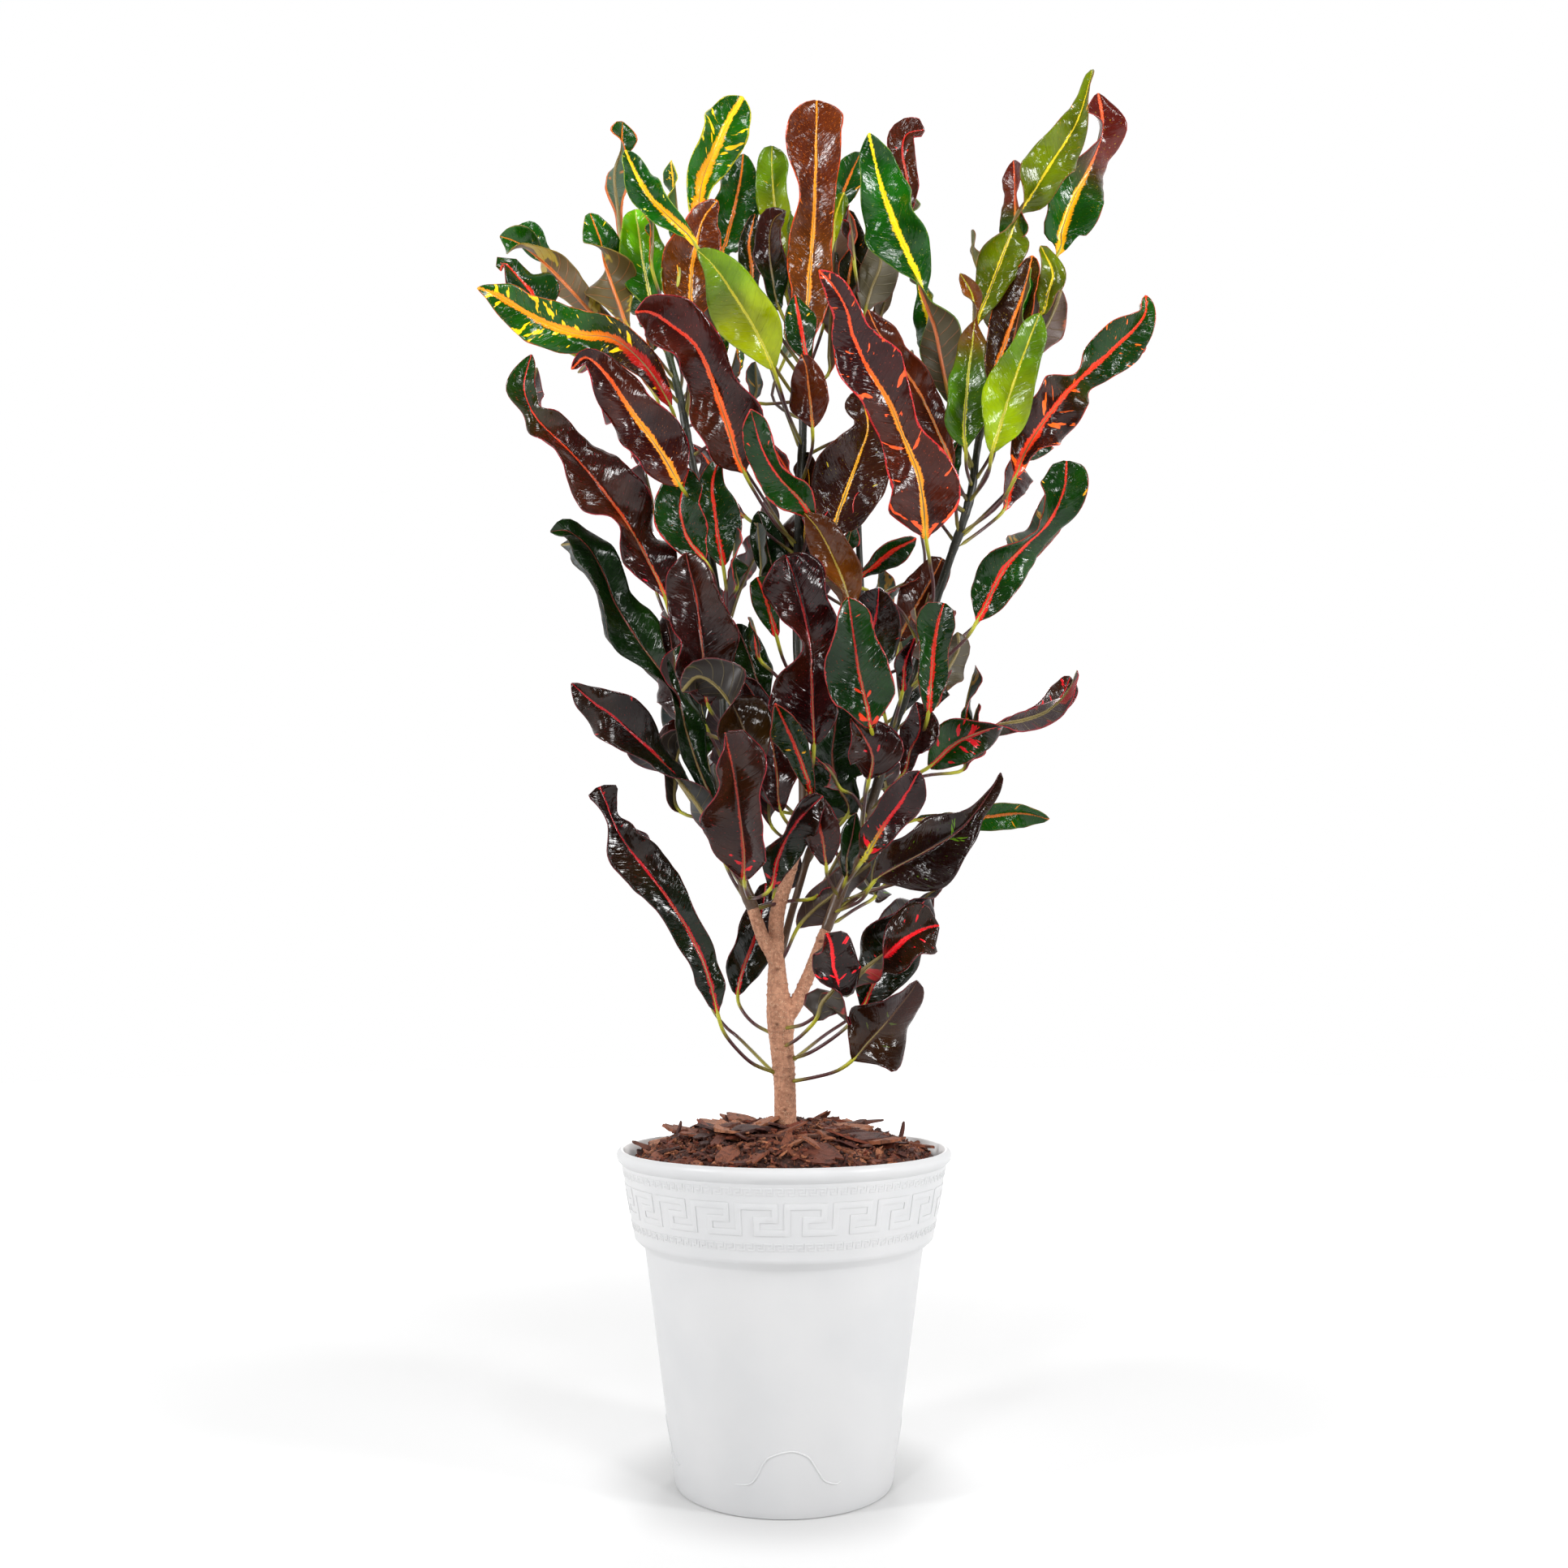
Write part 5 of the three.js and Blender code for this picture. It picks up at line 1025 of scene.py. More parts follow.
@dataclass
class LeafyPiece:
    """A stem with the leaves that grow on it, or one low leaf: the fine form of one leafy node."""

    node: str
    slot: str
    blades: list[Blade]
    finishes: LeafFinishes
    stem: list[Station] = field(default_factory=list)
    stem_sides: int = 16
    foot_depth: float = 5.0
    green_above: float = 620.0

    def stem_tube(self) -> Thing:
        """Make the stem, swollen a little at each leaf and greener towards its top.

        Returns:
            The stem.
        """
        ways = EYE.sight(self.stem)
        radii = np.array([station[3] for station in self.stem], float)
        down = unit(ways[0] - ways[1])
        foot = ways[0] + down * self.foot_depth
        u = np.linspace(0, len(ways) - 1, 6 * len(ways))
        points, girth = through(ways, u), through(radii, u)
        for blade in self.blades:
            if not blade.leaf.far:
                near = np.linalg.norm(points - blade.points[0], axis=1)
                girth = girth + 0.28 * np.exp(-((near / 3.2) ** 2))
        points = np.vstack([foot, points])
        girth = np.concatenate([[0.55 * girth[0]], girth])
        heights = points[:, 2]
        stops = [heights[0], heights[0] + 60, heights[0] + 110, self.green_above, self.green_above + 110]
        colours = [GROWTH.stem_low] * 2 + [GROWTH.stem_middle] * 2 + [GROWTH.stem_top]

        def colour(t: Array) -> list[Array]:
            """Colour the stem by height."""
            return shades(np.interp(t, np.linspace(0, 1, len(heights)), heights), stops, colours)

        tube = Tube(points, girth, self.stem_sides, 150, ridges=5, ridge_height=0.1)
        return tube.build(f"{self.node}_stem", colour, 2.7)

    def build(self) -> Thing:
        """Build the stem, petioles and blades and join them.

        Returns:
            The finished piece.
        """
        faces = Bench.join([blade.lamina() for blade in self.blades], f"{self.node}_faces")
        faces.data.materials.append(self.finishes.upper)
        faces.data.materials.append(self.finishes.lower)
        Bench.modify(faces, "SOLIDIFY", thickness=GROWTH.thickness * MM, offset=0.0, material_offset=1)
        rods = [blade.petiole() for blade in self.blades]
        if self.stem:
            rods.append(self.stem_tube())
        wood = Bench.join(rods, f"{self.node}_rods")
        wood.data.materials.append(self.finishes.stalk)
        piece = Bench.join([faces, wood], f"{self.node}_grown")
        Bench.smooth(piece)
        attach(piece, BODY)
        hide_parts(self.node)
        return piece


# ---------------------------------------------------------------- shader writing


class Link:
    """A shader socket that takes part in Python expressions, which add the Math nodes they need."""

    def __init__(self, tree: ShaderTree, socket: bpy.types.NodeSocket) -> None:
        """Wrap a socket of a tree."""
        self.tree = tree
        self.socket = socket

    def __add__(self, other: Number) -> Link:
        """Add."""
        return self.tree.maths("ADD", self, other)

    __radd__ = __add__

    def __mul__(self, other: Number) -> Link:
        """Multiply."""
        return self.tree.maths("MULTIPLY", self, other)

    __rmul__ = __mul__

    def __sub__(self, other: Number) -> Link:
        """Subtract."""
        return self.tree.maths("SUBTRACT", self, other)

    def __rsub__(self, other: Number) -> Link:
        """Subtract from a number."""
        return self.tree.maths("SUBTRACT", other, self)

    def __truediv__(self, other: Number) -> Link:
        """Divide."""
        return self.tree.maths("DIVIDE", self, other)

    def __abs__(self) -> Link:
        """Drop the sign."""
        return self.tree.maths("ABSOLUTE", self)

    def __gt__(self, other: Number) -> Link:
        """1 where the value is greater."""
        return self.tree.maths("GREATER_THAN", self, other)

    def ease(self, low: Number, high: Number) -> Link:
        """Ease from 0 at low to 1 at high, which may be the smaller one."""
        ends = {"Value": self, "From Min": low, "From Max": high}
        return self.tree.node("ShaderNodeMapRange", {"interpolation_type": "SMOOTHSTEP"}, ends).out("Result")

    def fold(self, period: float) -> Link:
        """Go up to a period and down again."""
        return self.tree.maths("PINGPONG", self, period)


Number = float | Link


@dataclass
class NodeHandle:
    """A node of a shader tree."""

    tree: ShaderTree
    node: bpy.types.Node

    def out(self, name: str) -> Link:
        """Wrap the output of that name."""
        return Link(self.tree, self.node.outputs[name])


class ShaderTree:
    """A material, or a sky, whose nodes are written as Python expressions."""

    def __init__(self, name: str, sky: bool = False) -> None:
        """Start a material or a sky that holds only its shader.

        Args:
            name: what it is called.
            sky: whether it is a sky.
        """
        self.owner = (bpy.data.worlds if sky else bpy.data.materials).new(name)
        self.owner.use_nodes = True
        self.tree = self.owner.node_tree
        self.shader = self.tree.nodes["Background" if sky else "Principled BSDF"]

    def fill(self, node: bpy.types.Node, values: dict[str | int, Any]) -> None:
        """Set or link the inputs of a node.

        Args:
            node: the node.
            values: a number, colour or Link for each input by name or number.
        """
        for name, value in values.items():
            socket = node.inputs[name]
            if isinstance(value, Link):
                self.tree.links.new(value.socket, socket)
            else:
                socket.default_value = value

    def node(self, kind: str, settings: dict[str, Any], values: dict[str | int, Any]) -> NodeHandle:
        """Add a node.

        Args:
            kind: Blender's name for the node's type.
            settings: its settings by name, set first.
            values: a number, colour or Link for each input by name or number.

        Returns:
            The node.
        """
        made = self.tree.nodes.new(kind)
        for name, value in settings.items():
            setattr(made, name, value)
        self.fill(made, values)
        return NodeHandle(self, made)

    def maths(self, operation: str, *values: Number) -> Link:
        """Add a Math node for an operation on one or two values."""
        return self.node("ShaderNodeMath", {"operation": operation}, dict(enumerate(values))).out("Value")

    def spot(self, output: str = "Object") -> Link:
        """Read the place on the object, in metres, or another of the node's outputs."""
        return self.node("ShaderNodeTexCoord", {}, {}).out(output)

    def attribute(self, name: str, output: str = "Vector") -> Link:
        """Read an attribute of the mesh."""
        return self.node("ShaderNodeAttribute", {"attribute_name": name}, {}).out(output)

    def colour(self, name: str) -> Link:
        """Read a colour of the mesh."""
        return self.attribute(name, "Color")

    def fourth(self, name: str) -> Link:
        """Read the fourth number of a colour of the mesh."""
        return self.attribute(name, "Alpha")

    def split(self, vector: Link) -> tuple[Link, Link, Link]:
        """Take a vector apart."""
        handle = self.node("ShaderNodeSeparateXYZ", {}, {0: vector})
        return handle.out("X"), handle.out("Y"), handle.out("Z")

    def vector(self, x: Number, y: Number, z: Number) -> Link:
        """Put a vector together."""
        return self.node("ShaderNodeCombineXYZ", {}, {0: x, 1: y, 2: z}).out("Vector")

    def noise(self, vector: Link, scale: float, detail: float = 2.0, roughness: float = 0.5) -> Link:
        """Noise from 0 to 1 at a place."""
        values = {"Vector": vector, "Scale": scale, "Detail": detail, "Roughness": roughness}
        return self.node("ShaderNodeTexNoise", {}, values).out("Fac")

    def grain(self, x: Number, y: Number, z: Number, detail: float = 2.0, roughness: float = 0.5) -> Link:
        """Noise from 0 to 1 at a place that is given by its three numbers."""
        return self.noise(self.vector(x, y, z), 1.0, detail, roughness)

    def cells(self, vector: Link, scale: float) -> Link:
        """Distance from the middle of the nearest of many loose cells."""
        return self.node("ShaderNodeTexVoronoi", {}, {"Vector": vector, "Scale": scale}).out("Distance")

    def blend(self, low: Any, high: Any, factor: Number, mode: str = "MIX") -> Link:
        """Blend two colours.

        Args:
            low: the colour at factor 0.
            high: the colour at factor 1.
            factor: how far the blend goes.
            mode: how the colours are blended.

        Returns:
            The blended colour.
        """
        rgb = [value if isinstance(value, Link) else (*value, 1.0) for value in (low, high)]
        values = {0: factor, 6: rgb[0], 7: rgb[1]}
        handle = self.node("ShaderNodeMix", {"data_type": "RGBA", "blend_type": mode}, values)
        return Link(self, handle.node.outputs[2])

    def tint(self, colour: Link, by: Link | Rgb, factor: Number = 1.0) -> Link:
        """Multiply a colour.

        Args:
            colour: the colour.
            by: a number as a Link, or another colour.
            factor: how far the colour is changed.

        Returns:
            The changed colour.
        """
        if isinstance(by, Link):
            by = self.node("ShaderNodeCombineColor", {}, {0: by, 1: by, 2: by}).out("Color")
        return self.blend(colour, by, factor, "MULTIPLY")

    def finish(self, values: dict[str, Any]) -> Any:
        """Fill the shader's inputs by name, and return the material or sky."""
        self.fill(self.shader, values)
        return self.owner

    def skin(self, colour: Link, rough: Number, normal: Link) -> bpy.types.Material:
        """Finish a material by its colour, roughness and normal."""
        return self.finish({"Base Color": colour, "Roughness": rough, "Normal": normal})

    def relief(self, *layers: tuple[Link, float, float]) -> Link:
        """Stack heights into a normal.

        Args:
            layers: heights from 0 to 1, each with its depth in mm and its strength, the lowest layer first.

        Returns:
            The normal.
        """
        under: dict[str, Any] = {}
        for height, depth, strength in layers:
            values = {"Height": height, "Distance": depth * MM, "Strength": strength, **under}
            under = {"Normal": self.node("ShaderNodeBump", {}, values).out("Normal")}
        return under["Normal"]


@dataclass(frozen=True)
class Veins:
    """Side veins of a blade, in mm."""

    spacing: float = 3.1
    slant: float = 0.62
    bow: float = 0.008
    half: float = 0.45
    stagger: float = 0.9
    drift: float = 4.0
    drift_rate: float = 0.06

    def lines(self, tree: ShaderTree, x: Link, y: Link, seed: Link) -> tuple[Link, Link]:
        """Coordinate across the side veins, and a mask of the veins.

        Args:
            tree: the shader tree.
            x: distance from the midrib.
            y: distance along the blade.
            seed: the leaf's own number.

        Returns:
            The coordinate in mm, and the mask, which is 1 on a vein.
        """
        out = abs(x)
        shift = tree.grain(x * self.drift_rate, y * self.drift_rate, seed, 1.0) * self.drift
        v = y - out * self.slant - out * out * self.bow + (x > 0) * self.spacing * self.stagger + shift
        line = v.fold(self.spacing).ease(self.half, 0.0)
        return v, line * out.ease(0.4, 2.5)


@dataclass
class LeafFinishes:
    """The finishes of the leafy pieces: upper faces, undersides, and stems with their petioles."""

    veins: Veins = field(default_factory=Veins)
    specular: float = 0.32
    gloss: float = 0.05
    dull: float = 0.36
    warm: Rgb = (1.9, 2.1, 0.6)
    rib_side: Rgb = (0.75, 0.35, 0.12)
    rib_groove: Rgb = (0.75, 0.5, 0.3)
    pore: Rgb = (190, 160, 120)

    def __post_init__(self) -> None:
        """Write the three materials."""
        self.upper = self.make_upper()
        self.lower = self.make_lower()
        self.stalk = self.make_stalk()

    def make_upper(self) -> bpy.types.Material:
        """Glossy upper face: lamina, blotches and speckles, side veins, margin and feathered midrib.

        Returns:
            The material.
        """
        tree = ShaderTree("croton_leaf_upper")
        x, y, seed = tree.split(tree.attribute("place"))
        out, side = abs(x), x > 0
        v, vein = self.veins.lines(tree, x, y, seed)
        fine = tree.grain(v * 1.5, out * 0.28, seed, 3.0, 0.6)
        feather = tree.grain(v * 0.5, out * 0.1, seed + 7.0)
        cloud = tree.grain(x * 0.05, y * 0.04, seed + 3.0, 3.0)

        # Lamina, with warm patches, fine grain and side veins.
        colour = tree.tint(tree.colour("lamina"), cloud * 1.7 + 0.15)
        warmth = tree.grain(x * 0.03, y * 0.022, seed + 6.0).ease(0.42, 0.68)
        colour = tree.tint(colour, self.warm, warmth * 0.75)
        colour = tree.tint(colour, fine * 1.2 + 0.4, 0.45)
        colour = tree.blend(colour, (0.0, 0.0, 0.0), vein * 0.12)

        # Speckles, then blotches that run out along the side veins.
        accent, speckle, blotch = tree.colour("accent"), tree.fourth("accent"), tree.fourth("lamina")
        specks = tree.grain(v * 2.1, out * 0.75, seed + 1.0, 1.0)
        dots = (specks - (0.74 - speckle * 0.12)).ease(0.0, 0.04) * (0.2 + speckle * 0.45)
        colour = tree.blend(colour, accent, dots)
        patch = tree.grain(v * 0.2, out * 0.1, seed + 9.0)
        frayed = patch + (fine - 0.5) * 0.1 + (feather - 0.5) * 0.12
        mask = (frayed - (0.8 - blotch * 0.34)).ease(-0.008, 0.012)
        colour = tree.blend(colour, accent, mask * blotch.ease(0.0, 0.05))

        # Ragged margin.
        rim = tree.grain(y * 0.13, side * 5.0, seed + 5.0, 3.0, 0.6)
        ragged = (rim - 0.5) * 2.6 + (fine - 0.5) * 1.2
        reach = tree.fourth("edge") * STORED * (0.45 + ragged)
        colour = tree.blend(colour, tree.colour("edge"), self.margin(tree, reach).ease(-0.15, 0.2) * 0.8)

        # Midrib with feathered sides and a darker groove.
        rib_width = tree.fourth("rib") * STORED
        slow = tree.grain(y * 0.05, side * 3.0, seed)
        teeth = (fine - 0.5) * 1.3 + (feather - 0.5) * 0.7 + (slow - 0.5) * 1.6
        band = (rib_width * (1.0 + teeth) + teeth * 0.5 - out).ease(-0.2, 0.35)
        sides = (out / (rib_width + 0.2)).ease(0.25, 1.1)
        colour = tree.blend(colour, tree.tint(tree.colour("rib"), self.rib_side, sides * 0.45), band)
        colour = tree.tint(colour, self.rib_groove, out.ease(0.34, 0.16) * band * 0.5)

        crumple = tree.grain(x * 0.11, y * 0.11, seed + 2.0)
        wrinkle = tree.grain(v * 0.5, out * 0.18, seed)
        crackle = tree.grain(v * 1.5, out * 0.6, seed, 2.0, 0.6)
        fine_layers = (wrinkle, 0.5, 0.45), (crackle, 0.15, 0.4), (vein, -0.2, 0.35)
        normal = tree.relief((crumple, 1.5, 0.65), *fine_layers)
        worn = tree.grain(v * 0.85, out * 0.4, seed + 11.0, 3.0, 0.65).ease(0.5, 0.56)
        rough = self.gloss + cloud * 0.04 + band * 0.08 + worn * 0.17
        tree.finish({"Specular IOR Level": self.specular})
        return tree.skin(colour, rough, normal)

    @staticmethod
    def margin(tree: ShaderTree, reach: Number) -> Link:
        """How far, in mm, a place lies inside a reach from the blade's edge."""
        return reach - tree.attribute("margin", "Fac")

    def make_lower(self) -> bpy.types.Material:
        """Duller underside: its own colour, with the veins raised and the margin showing through.

        Returns:
            The material.
        """
        tree = ShaderTree("croton_leaf_underside")
        x, y, seed = tree.split(tree.attribute("place"))
        out = abs(x)
        v, vein = self.veins.lines(tree, x, y, seed)
        cloud = tree.grain(x * 0.05, y * 0.05, seed + 3.0, 3.0)
        feather = tree.grain(v * 0.6, out * 0.12, seed, 3.0, 0.6)
        patch = tree.grain(v * 0.07, out * 0.04, seed + 9.0, 3.0, 0.6)
        wrinkle = tree.grain(v * 0.8, out * 0.2, seed, 3.0, 0.6)
        rib = tree.colour("under_rib")
        colour = tree.tint(tree.colour("under"), cloud * 0.9 + 0.5)
        colour = tree.blend(colour, tree.colour("lamina"), 0.25 + cloud * 0.3)
        mask = (patch - (0.66 - tree.fourth("lamina") * 0.2)).ease(-0.01, 0.03)
        colour = tree.blend(colour, tree.colour("accent"), mask * 0.35)
        colour = tree.blend(colour, rib, vein * 0.3)
        margin = self.margin(tree, tree.fourth("edge") * STORED).ease(-0.3, 0.2)
        colour = tree.blend(colour, tree.colour("edge"), margin * 0.7)
        colour = tree.blend(colour, rib, (0.5 + feather * 0.9 - out).ease(-0.25, 0.3))
        normal = tree.relief((vein, 0.3, 0.6), (wrinkle, 0.35, 0.5))
        return tree.skin(colour, self.dull + cloud * 0.18, normal)

    def make_stalk(self) -> bpy.types.Material:
        """Stems and petioles: their own colours, streaked lengthwise, with pale pores.

        Returns:
            The material.
        """
        tree = ShaderTree("croton_stalk")
        x, y, seed = tree.split(tree.attribute("place"))
        streak = tree.grain(x * 1.1, y * 0.05, seed, 3.0)
        pores = tree.noise(tree.vector(x, y * 0.6, seed + 4.0), 1.3, 1.0).ease(0.66, 0.74)
        colour = tree.tint(tree.colour("lamina"), streak * 1.1 + 0.45)
        colour = tree.blend(colour, linear(self.pore), pores * 0.3)
        return tree.skin(colour, 0.26 + streak * 0.2, tree.relief((streak, 0.35, 0.6), (pores, 0.2, 0.6)))


# ---------------------------------------------------------------- trunk


@dataclass
class Trunk:
    """The woody trunk with its fork, its bark, rings and leaf scars."""

    node: str = "trunk"
    foot: float = 118
    foot_radius: float = 4.9
    soil_height: float = 160
    soil_radius: float = 6.1
    voxel: float = 0.55
    rings: tuple[float, ...] = (221.5, 226.0, 247.0, 268.0, 274.0, 301.0, 322.0, 341.0)
    scars: tuple[Station, ...] = (
        (967, 1367, 0), (973, 1302, 0), (957, 1262, 0), (957, 1195, 2), (1012, 1160, 2),
    )
    scar_half: tuple[float, float] = (2.3, 1.5)
    ring_half: float = 0.6

    def rod(self, name: str, low: Sequence[Station] = ()) -> Thing:
        """Make one rod of wood.

        Args:
            name: its name among the ways of the wood.
            low: rows of x, y, z and radius in mm that go before the way.

        Returns:
            The rod.
        """
        ways = np.vstack([*[row[:3] for row in low], EYE.sight(WOOD[name])])
        radii = np.array([row[3] for row in [*low, *WOOD[name]]], float)
        return Tube(ways, radii, 28, 120).build(name)

    def build(self) -> Thing:
        """Melt the rods into one piece of wood and carve its rings and scars.

        Returns:
            The finished trunk.
        """
        x = EYE.sight([WOOD["trunk"][0]])[0][0]
        low = [(x, 0, self.foot, self.foot_radius), (x, 0, self.soil_height, self.soil_radius)]
        rods = [self.rod("trunk", low), self.rod("left_branch"), self.rod("right_branch")]
        piece = Bench.join(rods, "trunk_wood")
        Bench.modify(piece, "REMESH", mode="VOXEL", voxel_size=self.voxel * MM)
        Bench.modify(piece, "SMOOTH", factor=0.5, iterations=6)
        self.carve(piece.data)
        Bench.smooth(piece)
        piece.data.materials.append(self.bark())
        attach(piece, BODY)
        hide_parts(self.node)
        return piece

    def carve(self, mesh: bpy.types.Mesh) -> None:
        """Raise the bark's ridges, rings and leaf scars along the wood's normals.

        Args:
            mesh: the wood's mesh.
        """
        points, normals = read(mesh) / MM, read(mesh, "normal")
        x, y, z = points.T
        angle = np.arctan2(y, x)
        swell = 0.16 * np.sin(5 * angle + 0.06 * z)
        swell += 0.1 * np.sin(11 * angle - 0.21 * z + 2 * np.sin(0.3 * z))
        swell += 0.08 * np.sin(2.1 * z + 1.3 * np.sin(4 * angle))
        mark = np.zeros(len(points))
        for height in self.rings:
            ring = np.exp(-(((z - height - 0.5 * np.sin(2 * angle + height)) / self.ring_half) ** 2))
            swell += 0.5 * ring
            # Painted shade: the ring is also darkened, standing in for the shade under its raised step.
            mark += 0.55 * ring
        for middle in EYE.sight(self.scars):
            ring = np.hypot((x - middle[0]) / self.scar_half[0], (z - middle[2]) / self.scar_half[1])
            front = y < middle[1]
            swell += front * (0.6 * np.exp(-(((ring - 1) / 0.3) ** 2)) - 0.5 * np.exp(-((ring / 0.7) ** 2)))
            # The leaf scars are darkened in colour as well.
            mark += front * 0.62 * np.exp(-((ring / 0.9) ** 4))
        place(mesh, points + normals * swell[:, None])
        tag(mesh, "mark", np.clip(mark, 0, 1))

    def bark(self) -> bpy.types.Material:
        """Tan-brown bark: fine fissures, pale pores, darker streaks, darker leaf scars and painted shade at
        the rings.

        Returns:
            The material.
        """
        tree = ShaderTree("croton_bark")
        x, y, z = (part / MM for part in tree.split(tree.spot()))
        here = tree.vector(x, y, z)
        mottle = tree.noise(here, 0.45, 4.0, 0.7)
        fissure = tree.noise(tree.vector(x, y, z * 0.26), 1.1, 4.0, 0.7)
        crack = tree.noise(tree.vector(x * 0.3, y * 0.3, z), 0.8, 3.0, 0.65)
        pores = tree.cells(here, 0.8).ease(0.36, 0.18)
        colour = tree.blend(linear((166, 112, 84)), linear((216, 160, 128)), mottle.ease(0.3, 0.7))
        colour = tree.blend(colour, linear((118, 74, 56)), fissure.ease(0.56, 0.74) * 0.8)
        colour = tree.blend(colour, linear((240, 208, 176)), pores * crack.ease(0.4, 0.6) * 0.7)
        # Darker where the rings and leaf scars are: painted shade on the rings, a darker mark on the scars.
        mark = tree.attribute("mark", "Fac") + (fissure - 0.5) * 0.5
        colour = tree.blend(colour, linear((84, 50, 38)), mark.ease(0.3, 0.8) * 0.75)
        normal = tree.relief((fissure, 0.9, 0.8), (crack, 0.5, 0.6), (pores, 0.4, 0.7))
        return tree.skin(colour, 0.62 + mottle * 0.25, normal)


# ---------------------------------------------------------------- soil and mulch


@dataclass(frozen=True)
class FlakeKind:
    """A size of bark flake, in mm: how many lie there, and how large they are."""

    count: int
    length: tuple[float, float]
    width: tuple[float, float]
    thickness: tuple[float, float]
    tilt: float
    lift: float
    cuts: tuple[int, int]


@dataclass
class Mulch:
    """The cover of bark: a crumbly bed, and flakes of several sizes laid on it."""

    node: str = "bark_mulch"
    heights: tuple[float, ...] = (192.5, 193, 193.5, 192, 190, 187, 183.5, 179, 174.5)
    reach: float = 92
    edge: float = 86.4
    top_share: float = 0.84
    sunk: float = 0.8
    depth: float = 5.0
    trunk_gap: float = 8.5
    kinds: tuple[FlakeKind, ...] = (
        FlakeKind(24, (26, 44), (12, 20), (1.4, 2.4), 0.26, 2.4, (14, 7)),
        FlakeKind(80, (11, 24), (5, 11), (1.2, 2.2), 0.4, 1.6, (7, 4)),
        FlakeKind(560, (3.5, 9), (2, 4.4), (0.8, 1.8), 0.8, 0.7, (3, 2)),
        FlakeKind(2800, (1.2, 3.2), (0.9, 2.0), (0.8, 1.6), 1.6, 0.6, (1, 1)),
    )
    splinters: tuple[Station, ...] = ((835, 1402, 0.25), (898, 1393, -0.2), (1110, 1402, 0.3))
    splinter: Station = (15, 3.2, 1.5)
    crumb: Rgb = (84, 44, 30)
    browns: tuple[Rgb, ...] = (
        (122, 62, 40), (150, 84, 54), (96, 46, 32), (192, 126, 88), (140, 66, 38), (76, 38, 28),
        (164, 98, 64), (110, 64, 48),
    )

    def height(self, r: Array) -> Array:
        """Height of the mound at a distance from the trunk."""
        return np.interp(r / self.reach * (len(self.heights) - 1), range(len(self.heights)), self.heights)

    @staticmethod
    def rough(x: Array, y: Array) -> Array:
        """Work out the unevenness of the bed, in mm.

        Args:
            x: places to the right.
            y: places to the back.

        Returns:
            How far the bed rises at each place.
        """
        wide = np.sin(0.11 * x + 1.3) * np.cos(0.13 * y - 0.4) + 0.6 * np.sin(0.31 * x - 0.27 * y)
        fine = np.sin(0.9 * x + 2 * np.sin(0.7 * y)) * np.cos(0.83 * y + 1.7 * np.sin(0.6 * x))
        return 0.9 * wide + 0.7 * fine

    def bed(self) -> Thing:
        """Make the bed of crumbs as a closed, dished disc.

        Returns:
            The bed.
        """

        def bend(s: Array, t: Array) -> Array:
            """Roll the sheet into the disc: its top from the middle out, then its underside back in.

            Args:
                s: place round the disc, -1 to 1.
                t: place from the top's middle to the underside's, 0 to 1.

            Returns:
                Points in mm.
            """
            top = t < self.top_share
            r = self.edge * np.where(top, (t / self.top_share) ** 0.9, (1 - t) / (1 - self.top_share))
            angle = s * math.pi
            x, y = r * np.cos(angle), r * np.sin(angle)
            bumpy = self.rough(x, y) * smoothstep(self.edge - r, 0, 4)
            return np.stack([x, y, self.height(r) + np.where(top, bumpy - self.sunk, -self.depth)], axis=1)

        thing = sheet("mulch_bed", 220, 90, bend)[0]
        tag(thing.data, "place", *(read(thing.data) / MM).T)
        tag(thing.data, "lamina", *linear(self.crumb), 1.0)
        Bench.merge(thing, 0.01)
        with Bench.edit(thing):
            bpy.ops.mesh.normals_make_consistent(inside=False)
        return thing

    def master(self, kind: FlakeKind) -> Pair:
        """Model one plain flake of a kind with a cube, of size 1 each way.

        Args:
            kind: the kind of flake.

        Returns:
            Its vertices, and its faces as rows of four vertex numbers.
        """
        Bench.clear()
        bpy.ops.mesh.primitive_cube_add(size=1)
        cube = bpy.context.object
        with Bench.edit(cube):
            for axis, cuts in enumerate(kind.cuts):
                across = np.eye(3)[axis]
                for k in range(1, cuts):
                    bpy.ops.mesh.select_all(action="SELECT")
                    bpy.ops.mesh.bisect(plane_co=across * (k / cuts - 0.5), plane_no=across)
        points = read(cube.data)
        faces = np.array([list(face.vertices) for face in cube.data.polygons])
        bpy.data.objects.remove(cube)
        return points, faces

    def flakes(self) -> Thing:
        """Lay copies of the flakes on the mound, each torn, bent and turned in its own way.

        Returns:
            All flakes as one object.
        """
        random = np.random.default_rng(5)
        points, faces, grains, colours = [], [], [], []

        def add(plain: Pair, laid: Pair, brown: Rgb) -> None:
            """Add one flake to the heap.

            Args:
                plain: its vertices at size 1, and its faces.
                laid: its vertices where it lies, and their places along the grain.
                brown: its colour, 0 to 255.
            """
            faces.append(plain[1] + sum(map(len, points)))
            points.append(laid[0])
            grains.append(laid[1])
            colours.append(np.tile(linear(brown), (len(laid[0]), 1)))

